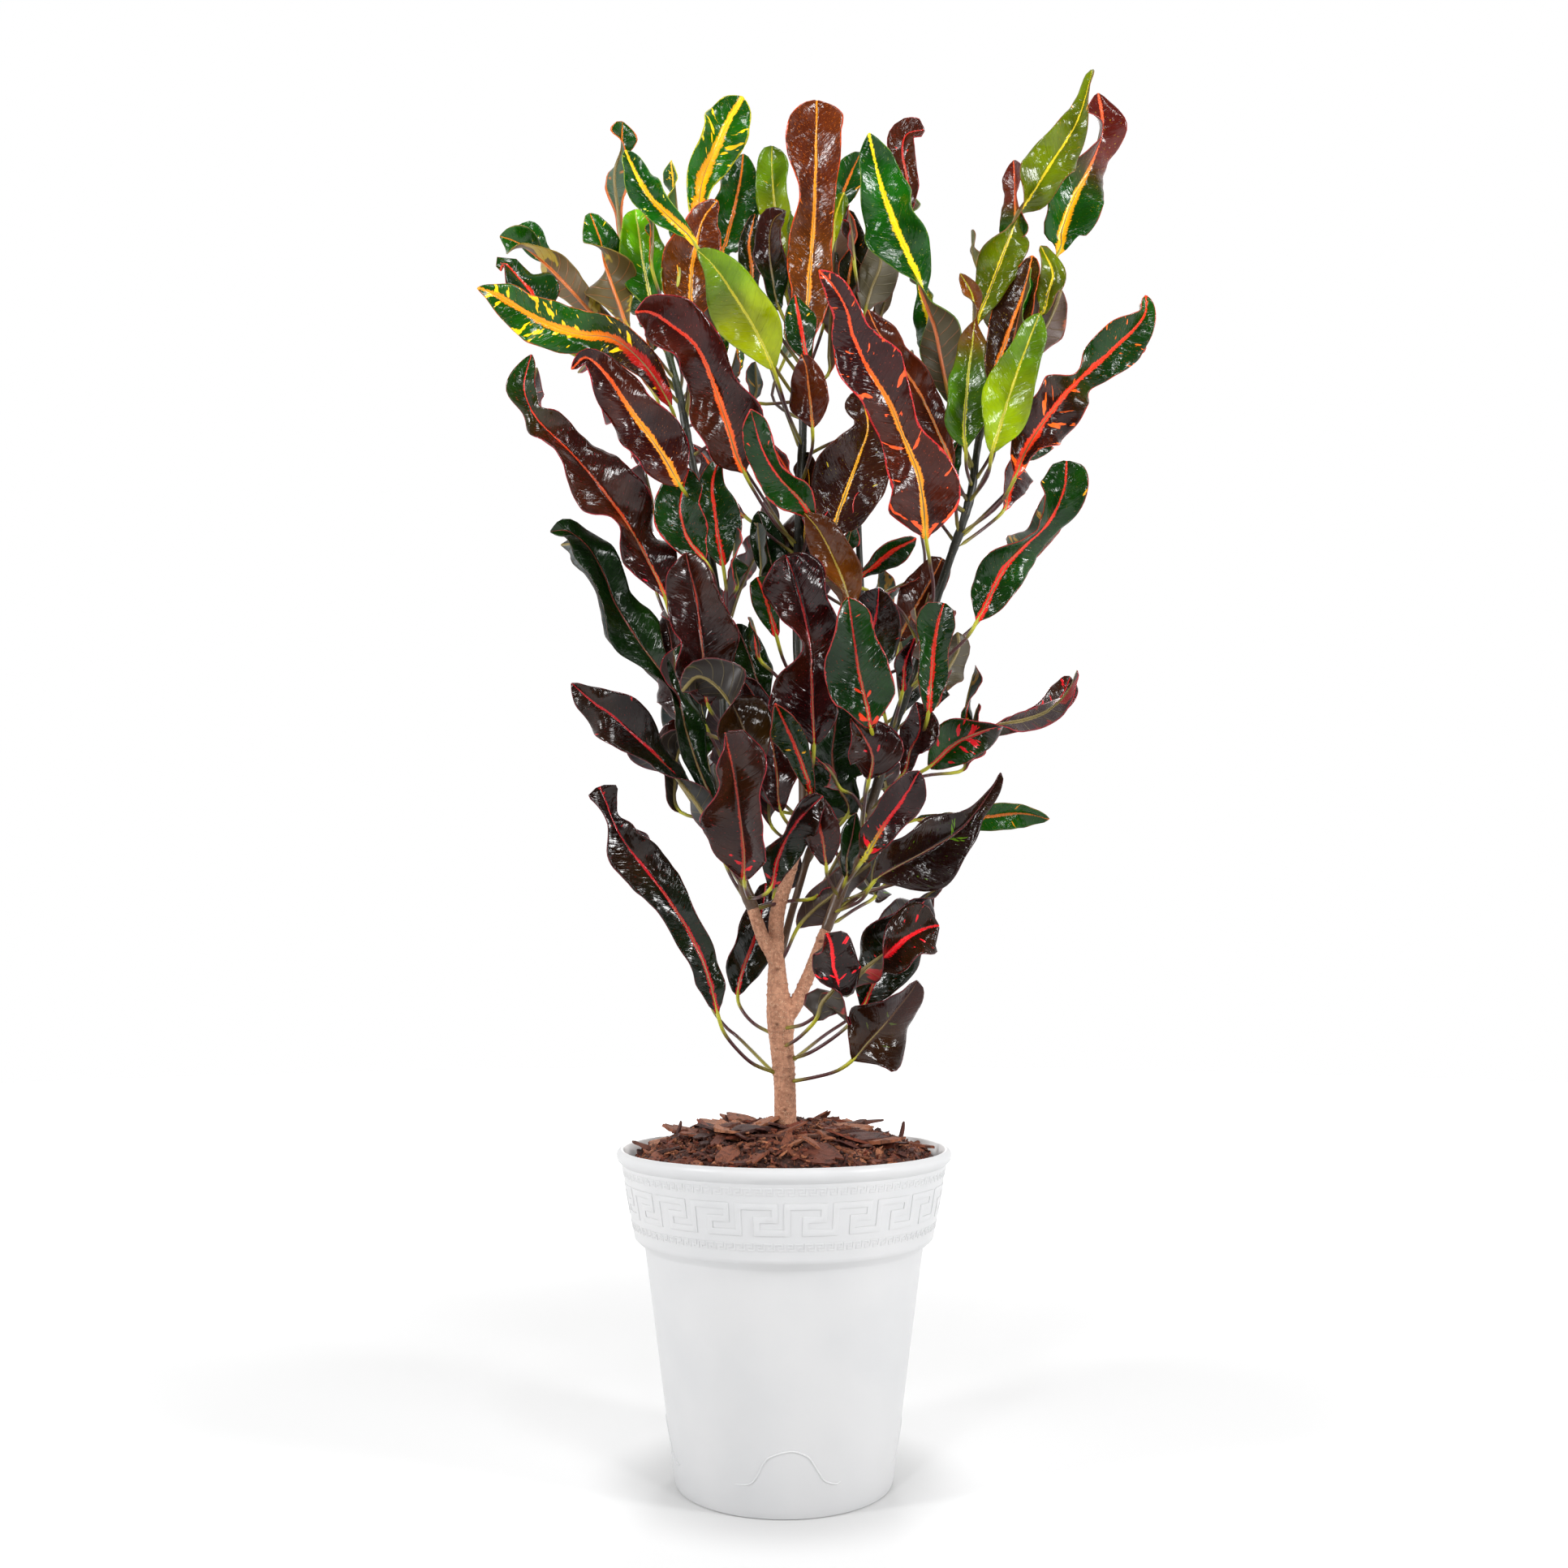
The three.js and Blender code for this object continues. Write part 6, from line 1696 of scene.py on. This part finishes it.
        for kind in self.kinds:
            plain, tilt = self.master(kind), kind.tilt / 2
            for _ in range(kind.count):
                size = [random.uniform(*ends) for ends in (kind.length, kind.width, kind.thickness)]
                r = math.sqrt(random.random()) * (self.edge - 0.34 * size[0] - 1.5)
                r = max(r, self.trunk_gap + 0.3 * size[0])
                angle = random.uniform(0, 2 * math.pi)
                z = float(self.height(np.array(r))) + random.uniform(0, kind.lift)
                turn = [random.normal(0, tilt), random.normal(0, tilt), random.uniform(0, 6.28)]
                laid = self.lay(plain[0], size, (r * math.cos(angle), r * math.sin(angle), z), turn, random)
                add(plain, laid, self.browns[random.integers(len(self.browns))])
        plain = self.master(self.kinds[1])
        for px, py, lean in self.splinters:
            middle = EYE.sight([(px, py, 4)])[0] + (0, 0, 1.0)
            turn = (0, math.pi / 2 + lean, 0.4)
            add(plain, self.lay(plain[0], self.splinter, middle, turn, random), self.browns[2])
        mesh = bpy.data.meshes.new("mulch_flakes")
        mesh.from_pydata((np.vstack(points) * MM).tolist(), [], np.vstack(faces).tolist())
        tag(mesh, "place", *np.vstack(grains).T)
        tag(mesh, "lamina", *np.vstack(colours).T, 1.0)
        thing = bpy.data.objects.new("mulch_flakes", mesh)
        bpy.context.scene.collection.objects.link(thing)
        return thing

    def lay(
        self, plain: Array, size: Station, middle: Station, turn: Station, random: np.random.Generator
    ) -> Pair:
        """Shape one copy of a flake and put it in its place.

        Args:
            plain: the flake's vertices at size 1.
            size: its length, width and thickness.
            middle: where it lies.
            turn: its tilt, lean and turn, in radians.
            random: the source of its unevenness.

        Returns:
            Its vertices, and their places along the grain, for its material.
        """
        x, y, z = plain.T
        taper = 1 - 0.5 * np.abs(2 * x) ** 2.2 * random.uniform(0.5, 1.1)
        torn = x + 0.07 * np.sin(9 * y + random.uniform(0, 6)) + 0.04 * np.sin(23 * y + random.uniform(0, 6))
        side = y * taper + 0.06 * np.sin(7 * x + random.uniform(0, 6))
        thin = z * (1 - 0.45 * np.abs(2 * x) ** 2) + random.normal(0, 0.07, len(z))
        shape = np.stack([torn, side, thin], axis=1) * size
        bow = random.normal(0, 0.7) / max(size[0], 8)
        shape[:, 2] += bow * 0.12 * (shape[:, 0] ** 2) + 0.05 * random.normal() * shape[:, 1] ** 2 / size[1]
        laid = shape @ np.array(Euler(turn).to_matrix()).T + middle
        r = np.hypot(laid[:, 0], laid[:, 1])
        laid[:, :2] *= np.minimum(1, (self.edge + 0.6) / np.maximum(r, 1e-6))[:, None]
        return laid, np.stack([shape[:, 0], shape[:, 1], np.full(len(x), random.uniform(0, 400))], axis=1)

    def build(self) -> Thing:
        """Join the bed and the flakes.

        Returns:
            The finished mulch.
        """
        flakes = self.flakes()
        Bench.smooth(flakes, 40)
        piece = Bench.join([self.bed(), flakes], "bark_mulch_laid")
        piece.data.materials.append(self.bark())
        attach(piece, BODY)
        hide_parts(self.node)
        return piece

    def bark(self) -> bpy.types.Material:
        """Fibrous red-brown bark, streaked along each flake's grain.

        Returns:
            The material.
        """
        tree = ShaderTree("croton_bark_chips")
        here = tree.attribute("place")
        x, y, seed = tree.split(here)
        fibre = tree.grain(x * 0.14, y * 1.1, seed, 4.0, 0.7)
        mottle = tree.noise(here, 0.24, 4.0, 0.65)
        grit = tree.noise(here, 1.7, 3.0, 0.7)
        colour = tree.tint(tree.colour("lamina"), fibre * 1.7 + 0.15)
        colour = tree.tint(colour, (0.72, 0.66, 0.62))
        colour = tree.blend(colour, linear((30, 17, 13)), mottle.ease(0.48, 0.66) * 0.75)
        colour = tree.blend(colour, linear((190, 140, 100)), grit.ease(0.64, 0.76) * 0.35)
        return tree.skin(colour, 0.6 + mottle * 0.3, tree.relief((fibre, 1.1, 0.9), (grit, 0.5, 0.7)))


def dress_soil(node: Thing) -> None:
    """Give the soil its dark, crumbly finish.

    Args:
        node: the soil's solid.
    """
    tree = ShaderTree("croton_soil")
    here = tree.spot()
    crumb = tree.noise(here, 400.0, 4.0, 0.7)
    grain = tree.noise(here, 1600.0, 3.0, 0.6)
    colour = tree.blend(linear((30, 20, 14)), linear((76, 52, 36)), crumb.ease(0.4, 0.65))
    normal = tree.relief((crumb, 2.0, 0.8), (grain, 0.6, 0.8))
    node.data.materials.clear()
    node.data.materials.append(tree.skin(colour, 0.85 + grain * 0.1, normal))


# ---------------------------------------------------------------- pot


@dataclass
class Pot:
    """The white plastic pot, with a raised key band, two fine bands and a bell line low on its body."""

    node: str = "pot"
    height: float = 181.4
    wall: float = 2.0
    floor: float = 4.0
    sides: int = 192
    base_radius: float = 61
    shoulder: tuple[float, float] = (79.0, 128.0)
    band: tuple[float, float] = (85.0, 134.0)
    lip: tuple[float, float] = (92.6, 173.2)
    rim: float = 95.6
    keys: int = 22
    key_height: float = 16.8
    key_low: float = 146.6
    fine_keys: int = 104
    fine_height: float = 4.0
    fine_lows: tuple[float, ...] = (138.8, 167.2)
    relief: float = 0.34
    fine_relief: float = 0.16
    bells: int = 4
    drains: int = 6
    drain_radius: float = 4
    drain_circle: float = 46
    key_way: tuple[tuple[int, int], ...] = ((0, 0), (0, 4), (6, 4), (6, 2), (3, 2), (3, 0), (8, 0))
    key_cells: tuple[int, int] = (8, 5)
    key_sunk: float = 0.3
    bell_depth: float = 66
    bell_radius: float = 0.5
    bell_end: float = 0.2
    bell_sunk: float = 0.28
    bell_way: tuple[tuple[int, int], ...] = (
        (895, 1836), (920, 1833), (932, 1820), (940, 1805), (950, 1796), (975, 1789), (995, 1796),
        (1003, 1805), (1012, 1818), (1022, 1830), (1040, 1836), (1050, 1834),
    )

    def outer(self, z: Array) -> Array:
        """Radius of the pot's outer face at a height."""
        heights = (0, self.shoulder[1], self.band[1], self.lip[1])
        return np.interp(z, heights, (self.base_radius, self.shoulder[0], self.band[0], self.lip[0]))

    def profile(self) -> list[tuple[float, float]]:
        """Lay out the pot's section, from the bottom's edge over the rim to the floor inside.

        Returns:
            Radius and height of each ring.
        """
        (neck, neck_z), (band, band_z), (lip, lip_z) = self.shoulder, self.band, self.lip
        base, rim, top = self.base_radius, self.rim, self.height
        outside = [
            (base - 2, 0), (base - 0.7, 0.6), (base, 3), (base + 0.35, 4.5), (neck - 2.0, neck_z * 0.9),
            (neck - 0.12, neck_z - 0.8), (neck + 0.4, neck_z + 0.4), (band - 1.6, band_z - 2.4),
            (band - 0.35, band_z - 1.1), (band, band_z + 0.4), (band + 0.3, band_z + 2.0),
            (lip - 0.6, lip_z - 3), (lip, lip_z), (rim - 2.0, lip_z + 0.9), (rim - 0.7, top - 5.9),
            (rim - 0.1, top - 4.4), (rim, top - 3.0), (rim - 0.35, top - 1.7), (rim - 1.2, top - 0.6),
            (rim - 2.4, top), (rim - 3.5, top - 0.4), (rim - 4.1, top - 1.6),
        ]
        inside = [(r - self.wall, z) for r, z in (self.lip, self.band, self.shoulder)]
        return outside + inside + [(float(self.outer(np.array(self.floor))) - self.wall, self.floor)]

    def shell(self) -> Thing:
        """Raise the pot ring by ring from a disc, as on a wheel.

        Returns:
            The shell.
        """
        rings = self.profile()
        Bench.clear()
        bpy.ops.mesh.primitive_circle_add(vertices=self.sides, radius=rings[0][0] * MM, fill_type="NGON")
        shell = bpy.context.object
        with Bench.edit(shell):
            bpy.ops.mesh.flip_normals()
            for (r0, z0), (r1, z1) in zip(rings, rings[1:]):
                bpy.ops.mesh.extrude_region_move(TRANSFORM_OT_translate={"value": (0, 0, (z1 - z0) * MM)})
                grow = r1 / r0
                bpy.ops.transform.resize(value=(grow, grow, 1), center_override=(0, 0, z1 * MM))
            bpy.ops.mesh.select_all(action="SELECT")
            bpy.ops.mesh.normals_make_consistent(inside=False)
        return shell

    def close_bottom(self, shell: Thing) -> None:
        """Fill the bottom where it is open and cut the drain holes.

        Args:
            shell: the pot's shell.
        """
        with Bench.edit(shell, "DESELECT"):
            bpy.ops.mesh.select_mode(type="EDGE")
            bpy.ops.mesh.select_non_manifold(extend=False)
            bpy.ops.mesh.edge_face_add()
            bpy.ops.mesh.select_all(action="SELECT")
            bpy.ops.mesh.normals_make_consistent(inside=False)
        holes = []
        for i in range(self.drains):
            angle = (i + 0.5) * 2 * math.pi / self.drains
            where = (self.drain_circle * math.cos(angle) * MM, self.drain_circle * math.sin(angle) * MM, 0)
            size = {"radius": self.drain_radius * MM, "depth": 4 * self.floor * MM}
            Bench.clear()
            bpy.ops.mesh.primitive_cylinder_add(vertices=32, location=where, **size)
            holes.append(bpy.context.object)
        cutter = Bench.join(holes, "drain_cutter")
        bpy.ops.object.transform_apply(location=True, rotation=True, scale=True)
        Bench.modify(shell, "BOOLEAN", operation="DIFFERENCE", object=cutter, solver="EXACT")
        bpy.data.objects.remove(cutter)

    def wrap(self, turn: Array, z: Array, above: Array | float) -> Array:
        """Lay points round the pot's outer face.

        Args:
            turn: how far round the pot, in radians.
            z: height in mm.
            above: distance above the face, in mm.

        Returns:
            The points in mm.
        """
        r = self.outer(z) + above
        return np.stack([r * np.sin(turn), -r * np.cos(turn), z], axis=1)

    def key_band(self, name: str, units: int, low: float, height: float, relief: float) -> Thing:
        """Raise a running key from a strip of cells.

        Args:
            name: the object's name.
            units: how many keys go round the pot.
            low: height of the band's lower edge.
            height: the band's height.
            relief: how far it stands out.

        Returns:
            The band.
        """
        wide, rows = self.key_cells
        kept = {
            (x % wide, y)
            for (x0, y0), (x1, y1) in zip(self.key_way, self.key_way[1:])
            for x in range(min(x0, x1), max(x0, x1) + 1)
            for y in range(min(y0, y1), max(y0, y1) + 1)
        }
        columns = wide * units
        arc = np.pi * float(self.outer(np.array(low)))
        band = sheet(name, columns, rows, lambda s, t: np.stack([s * arc, t * height, 0 * s], axis=1))[0]
        with Bench.edit(band, "DESELECT"):
            bpy.ops.mesh.select_mode(type="FACE")
        for face in band.data.polygons:
            column = int((face.center.x / arc / MM + 1) / 2 * columns)
            row = int(face.center.y / height / MM * rows)
            face.select = (column % wide, row) not in kept
        with Bench.edit(band, None):
            bpy.ops.mesh.delete(type="FACE")
        Bench.modify(band, "SOLIDIFY", thickness=(relief + self.key_sunk) * MM, offset=-1.0)
        Bench.modify(band, "BEVEL", width=0.5 * relief * MM, segments=2, limit_method="ANGLE")
        x, y, z = read(band.data).T / MM
        place(band.data, self.wrap(x / arc * np.pi, low + y, z + relief))
        Bench.smooth(band, 30)
        return band

    def bell_lines(self) -> list[Thing]:
        """Make the thin raised bell lines low on the body.

        Returns:
            The lines.
        """
        x, _, z = EYE.sight([(px, py, -self.bell_depth) for px, py in self.bell_way]).T
        radii = np.array([self.bell_end] + [self.bell_radius] * (len(z) - 2) + [self.bell_end])
        lines = []
        for i in range(self.bells):
            turn = np.arctan2(x, self.bell_depth) + i * 2 * math.pi / self.bells
            lines.append(Tube(self.wrap(turn, z, -self.bell_sunk), radii, 8, 90).build(f"bell_{i}"))
            Bench.smooth(lines[-1])
        return lines

    def plastic(self) -> bpy.types.Material:
        """White moulded plastic, a little uneven in gloss, with faint marks, and painted light on the inner
        wall, which is made paler than the rest.

        Returns:
            The material.
        """
        tree = ShaderTree("croton_pot_plastic")
        here = tree.spot()
        haze = tree.noise(here, 18.0, 3.0)
        peel = tree.noise(here, 900.0, 2.0)
        scuff = tree.noise(here, 60.0, 5.0, 0.7)
        colour = tree.blend((0.6, 0.604, 0.613), (0.635, 0.635, 0.64), haze.ease(0.3, 0.7))
        colour = tree.blend(colour, (0.62, 0.61, 0.6), scuff.ease(0.66, 0.8) * 0.15)
        x, y, z = tree.split(here)
        # Painted light: above the band, the inner wall is given a paler colour to brighten it where the crown
        # shades it.
        (band, band_z), (lip, lip_z) = self.band, self.lip
        slope = (lip - band) / (lip_z - band_z)
        inward = z * slope + (band - slope * band_z) * MM - tree.maths("SQRT", x * x + y * y)
        colour = tree.blend(colour, (0.95, 0.95, 0.95), inward.ease(0.0006, 0.0014) * z.ease(0.15, 0.16))
        return tree.skin(colour, 0.3 + scuff * 0.14, tree.relief((peel, 0.03, 0.5), (haze, 0.4, 0.2)))

    def build(self) -> Thing:
        """Build the shell with its reliefs.

        Returns:
            The finished pot.
        """
        shell = self.shell()
        self.close_bottom(shell)
        Bench.smooth(shell, 35)
        bands = [self.key_band("key_band", self.keys, self.key_low, self.key_height, self.relief)]
        fine = self.fine_height, self.fine_relief
        for i, low in enumerate(self.fine_lows):
            bands.append(self.key_band(f"fine_band_{i}", self.fine_keys, low, *fine))
        piece = Bench.join([shell, *bands, *self.bell_lines()], "pot_moulded")
        piece.data.materials.clear()
        piece.data.materials.append(self.plastic())
        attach(piece, BODY)
        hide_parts(self.node)
        return piece


# ---------------------------------------------------------------- plant


@dataclass(frozen=True)
class Plant:
    """The leafy pieces of the croton, near and far."""

    back: Back = field(default_factory=Back)
    petiole_start: float = 3.2
    side_size: float = 0.78
    side_drop: float = 14
    side_spread: float = 32
    front_every: int = 4
    front_size: float = 0.6

    def stem_blades(self, stem: str) -> list[Blade]:
        """Leaves of a stem, near ones and then far ones, with their roots on the stem.

        Args:
            stem: the stem's name.

        Returns:
            The leaves.
        """
        table = LEAVES[stem]
        far = [(f"{name}_far", self.back.behind(table[name], i)) for i, name in enumerate(FAR_LEAVES[stem])]
        way = np.array(STEMS[stem], float)
        blades = []
        for index, (name, leaf) in enumerate([*table.items(), *far]):
            i = int(np.clip(np.sum(way[1:-1, 1] > leaf.root), 0, len(way) - 2))
            t = (way[i, 1] - leaf.root) / (way[i, 1] - way[i + 1, 1])
            root = tuple(way[i, :3] + (way[i + 1, :3] - way[i, :3]) * t)
            blades.append(Blade(f"{stem}_{name}", leaf, root, index))
        return blades + self.side_blades(blades)

    def side_blades(self, blades: Sequence[Blade]) -> list[Blade]:
        """Smaller leaves that point away from the viewer or, now and then, towards it.

        Args:
            blades: the stem's other leaves, whose shapes these repeat.

        Returns:
            The leaves between the near and the far ones.
        """
        made = []
        for i, blade in enumerate(blade for blade in blades if not blade.leaf.far):
            reach = blade.points[-1] - blade.points[0]
            away = math.copysign(90, reach[0]) * (-1 if i % self.front_every == 0 else 1)
            root = blade.root[0], blade.root[1] + self.side_drop, blade.root[2]
            turn = away + self.side_spread * math.sin(i * GOLDEN)
            size = self.front_size if i % self.front_every == 0 else self.side_size
            name = f"{blade.name}_side"
            made.append(Blade(name, blade.leaf, root, blade.index + 40, turn, size))
        return made

    def low_blades(self) -> dict[str, Blade]:
        """Place the single leaves that grow from the trunk.

        Returns:
            The leaves by their nodes' names.
        """
        table = dict(LEAVES["low"])
        for i, name in enumerate(FAR_LEAVES["low"]):
            table[name.replace("low_leaf", "low_back_leaf")] = self.back.behind(LEAVES["low"][name], i)
        blades = {}
        for index, (name, leaf) in enumerate(table.items()):
            axis, via = EYE.sight([leaf.root, leaf.via[0]])
            share = self.petiole_start / float(np.linalg.norm(via - axis))
            root = tuple(a + (b - a) * share for a, b in zip(leaf.root, leaf.via[0]))
            blades[name] = Blade(name, leaf, root, index)
        return blades

    def pieces(self, finishes: LeafFinishes) -> list[LeafyPiece]:
        """Every leafy piece, ready to build.

        Args:
            finishes: the leafy finishes.

        Returns:
            The pieces.
        """
        slots = {m: "leaf_maroon" for m in ("low_leaf_front", "low_leaf_red", "low_leaf_small", "fork_leaf")}
        stems = {
            "left": "leaf_green_gold", "centre": "leaf_maroon", "slim": "leaf_dark", "right": "leaf_olive",
        }
        made = [
            LeafyPiece(f"{stem}_stem", slot, self.stem_blades(stem), finishes, STEMS[stem])
            for stem, slot in stems.items()
        ]
        for name, blade in self.low_blades().items():
            made.append(LeafyPiece(name, slots.get(name, "leaf_dark"), [blade], finishes))
        return made


# ---------------------------------------------------------------- studio


@dataclass(frozen=True)
class Lamp:
    """A soft lamp: place and aim in metres, size in metres and power in watts."""

    name: str
    place: tuple[float, float, float]
    aim: tuple[float, float, float]
    size: tuple[float, float]
    power: float


@dataclass(frozen=True)
class Studio:
    """Pale floor, soft light, and the camera at the photograph's angle."""

    lamps: tuple[Lamp, ...] = (
        Lamp("key_left", (-1.75, -0.95, 1.25), (0, 0, 0.5), (0.3, 0.56), 21),
        Lamp("key_right", (1.7, -0.9, 1.05), (0, 0, 0.5), (0.28, 0.52), 20),
        Lamp("front", (-0.6, -1.7, 1.45), (0, 0, 0.55), (0.2, 0.38), 7),
        Lamp("front_right", (0.75, -1.45, 1.75), (0, 0, 0.6), (0.2, 0.36), 7),
        Lamp("front_low", (0.25, -1.9, 0.75), (0, 0, 0.6), (0.12, 0.3), 3.5),
        Lamp("top", (0.1, -0.6, 2.0), (0, 0, 0.4), (0.3, 0.3), 6),
        Lamp("back", (0.2, 1.8, 1.4), (0, 0, 0.5), (0.5, 0.5), 9),
    )
    sky_front: float = 0.15
    sky_back: float = 1.0
    floor_radius: float = 3.5
    floor_shade: float = 0.5
    floor_near: float = 0.36
    floor_far: float = 0.85
    shadow: float = 0.35
    shadow_reach: tuple[float, float] = (0.06, 0.115)

    def build(self) -> None:
        """Set up the camera, the lamps, the floor and the sky."""
        self.camera()
        for lamp in self.lamps:
            self.hang(lamp)
        self.lay_floor()
        tree = ShaderTree("studio_sky", sky=True)
        _, y, z = tree.split(tree.spot("Generated"))
        side = tree.maths("MINIMUM", y.ease(-0.85, -0.45), z.ease(0.5, 0.25))
        light = tree.maths("MAXIMUM", y.ease(-0.25, 0.55), side).ease(0.0, 1.0)
        scene = bpy.context.scene
        scene.world = tree.finish({"Color": light * (self.sky_back - self.sky_front) + self.sky_front})
        scene.view_settings.view_transform = "Standard"

    @staticmethod
    def hang(lamp: Lamp) -> None:
        """Hang one area lamp and turn it to what it lights.

        Args:
            lamp: the lamp.
        """
        Bench.clear()
        bpy.ops.object.light_add(type="AREA", location=lamp.place)
        light = bpy.context.object
        light.name = lamp.name
        x, y, z = np.subtract(lamp.aim, lamp.place)
        light.rotation_euler = (math.atan2(math.hypot(x, y), -z), 0, math.atan2(-x, y))
        light.data.shape = "RECTANGLE"
        light.data.size, light.data.size_y = lamp.size
        light.data.energy = lamp.power

    def lay_floor(self) -> None:
        """Lay the pale, glowing floor, with a painted shadow close round the pot; its glow fades out towards
        the viewer.
        """
        Bench.clear()
        bpy.ops.mesh.primitive_circle_add(vertices=96, radius=self.floor_radius, fill_type="NGON")
        floor = bpy.context.object
        floor.name = "studio_floor"
        tree = ShaderTree("studio_floor")
        x, y, _ = tree.split(tree.spot())
        away = tree.maths("SQRT", x * x + y * y)
        glow = away.ease(0.3, 1.5) * (self.floor_far - self.floor_near) + self.floor_near
        glow = glow * (1.0 - y.ease(-1.0, -2.8))
        # Painted shadow: the glow is dimmed close round the pot's foot.
        glow = glow * (away.ease(*self.shadow_reach) * (1.0 - self.shadow) + self.shadow)
        light = tree.node("ShaderNodeCombineColor", {}, {0: glow, 1: glow, 2: glow}).out("Color")
        shade = (self.floor_shade, self.floor_shade, self.floor_shade, 1)
        values = {"Base Color": shade, "Roughness": 0.9, "Emission Color": light, "Emission Strength": 1.0}
        floor.data.materials.append(tree.finish(values))

    @staticmethod
    def camera() -> None:
        """Put the camera where the viewer of the photograph stands."""
        Bench.clear()
        bpy.ops.object.camera_add(
            location=(0, EYE.y * MM, EYE.z * MM), rotation=(math.pi / 2 + EYE.pitch, 0, 0)
        )
        camera = bpy.context.object
        camera.data.sensor_width = 36
        camera.data.lens = 36 * EYE.focal / (2 * EYE.middle)
        camera.data.clip_start = 0.01
        bpy.context.scene.camera = camera


# ---------------------------------------------------------------- main


def main() -> None:
    """Build every piece in order and report it."""
    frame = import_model()
    Studio().build()
    dress_soil(frame["nodes"]["soil"])
    for part in (Pot(), Mulch(), Trunk(), *Plant().pieces(LeafFinishes())):
        piece = part.build()
        LOG.info("%s: %d faces", piece.name, len(piece.data.polygons))
    Bench.clear()


if __name__ == "__main__":
    logging.basicConfig(level=logging.INFO, format="%(name)s: %(message)s")
    main()
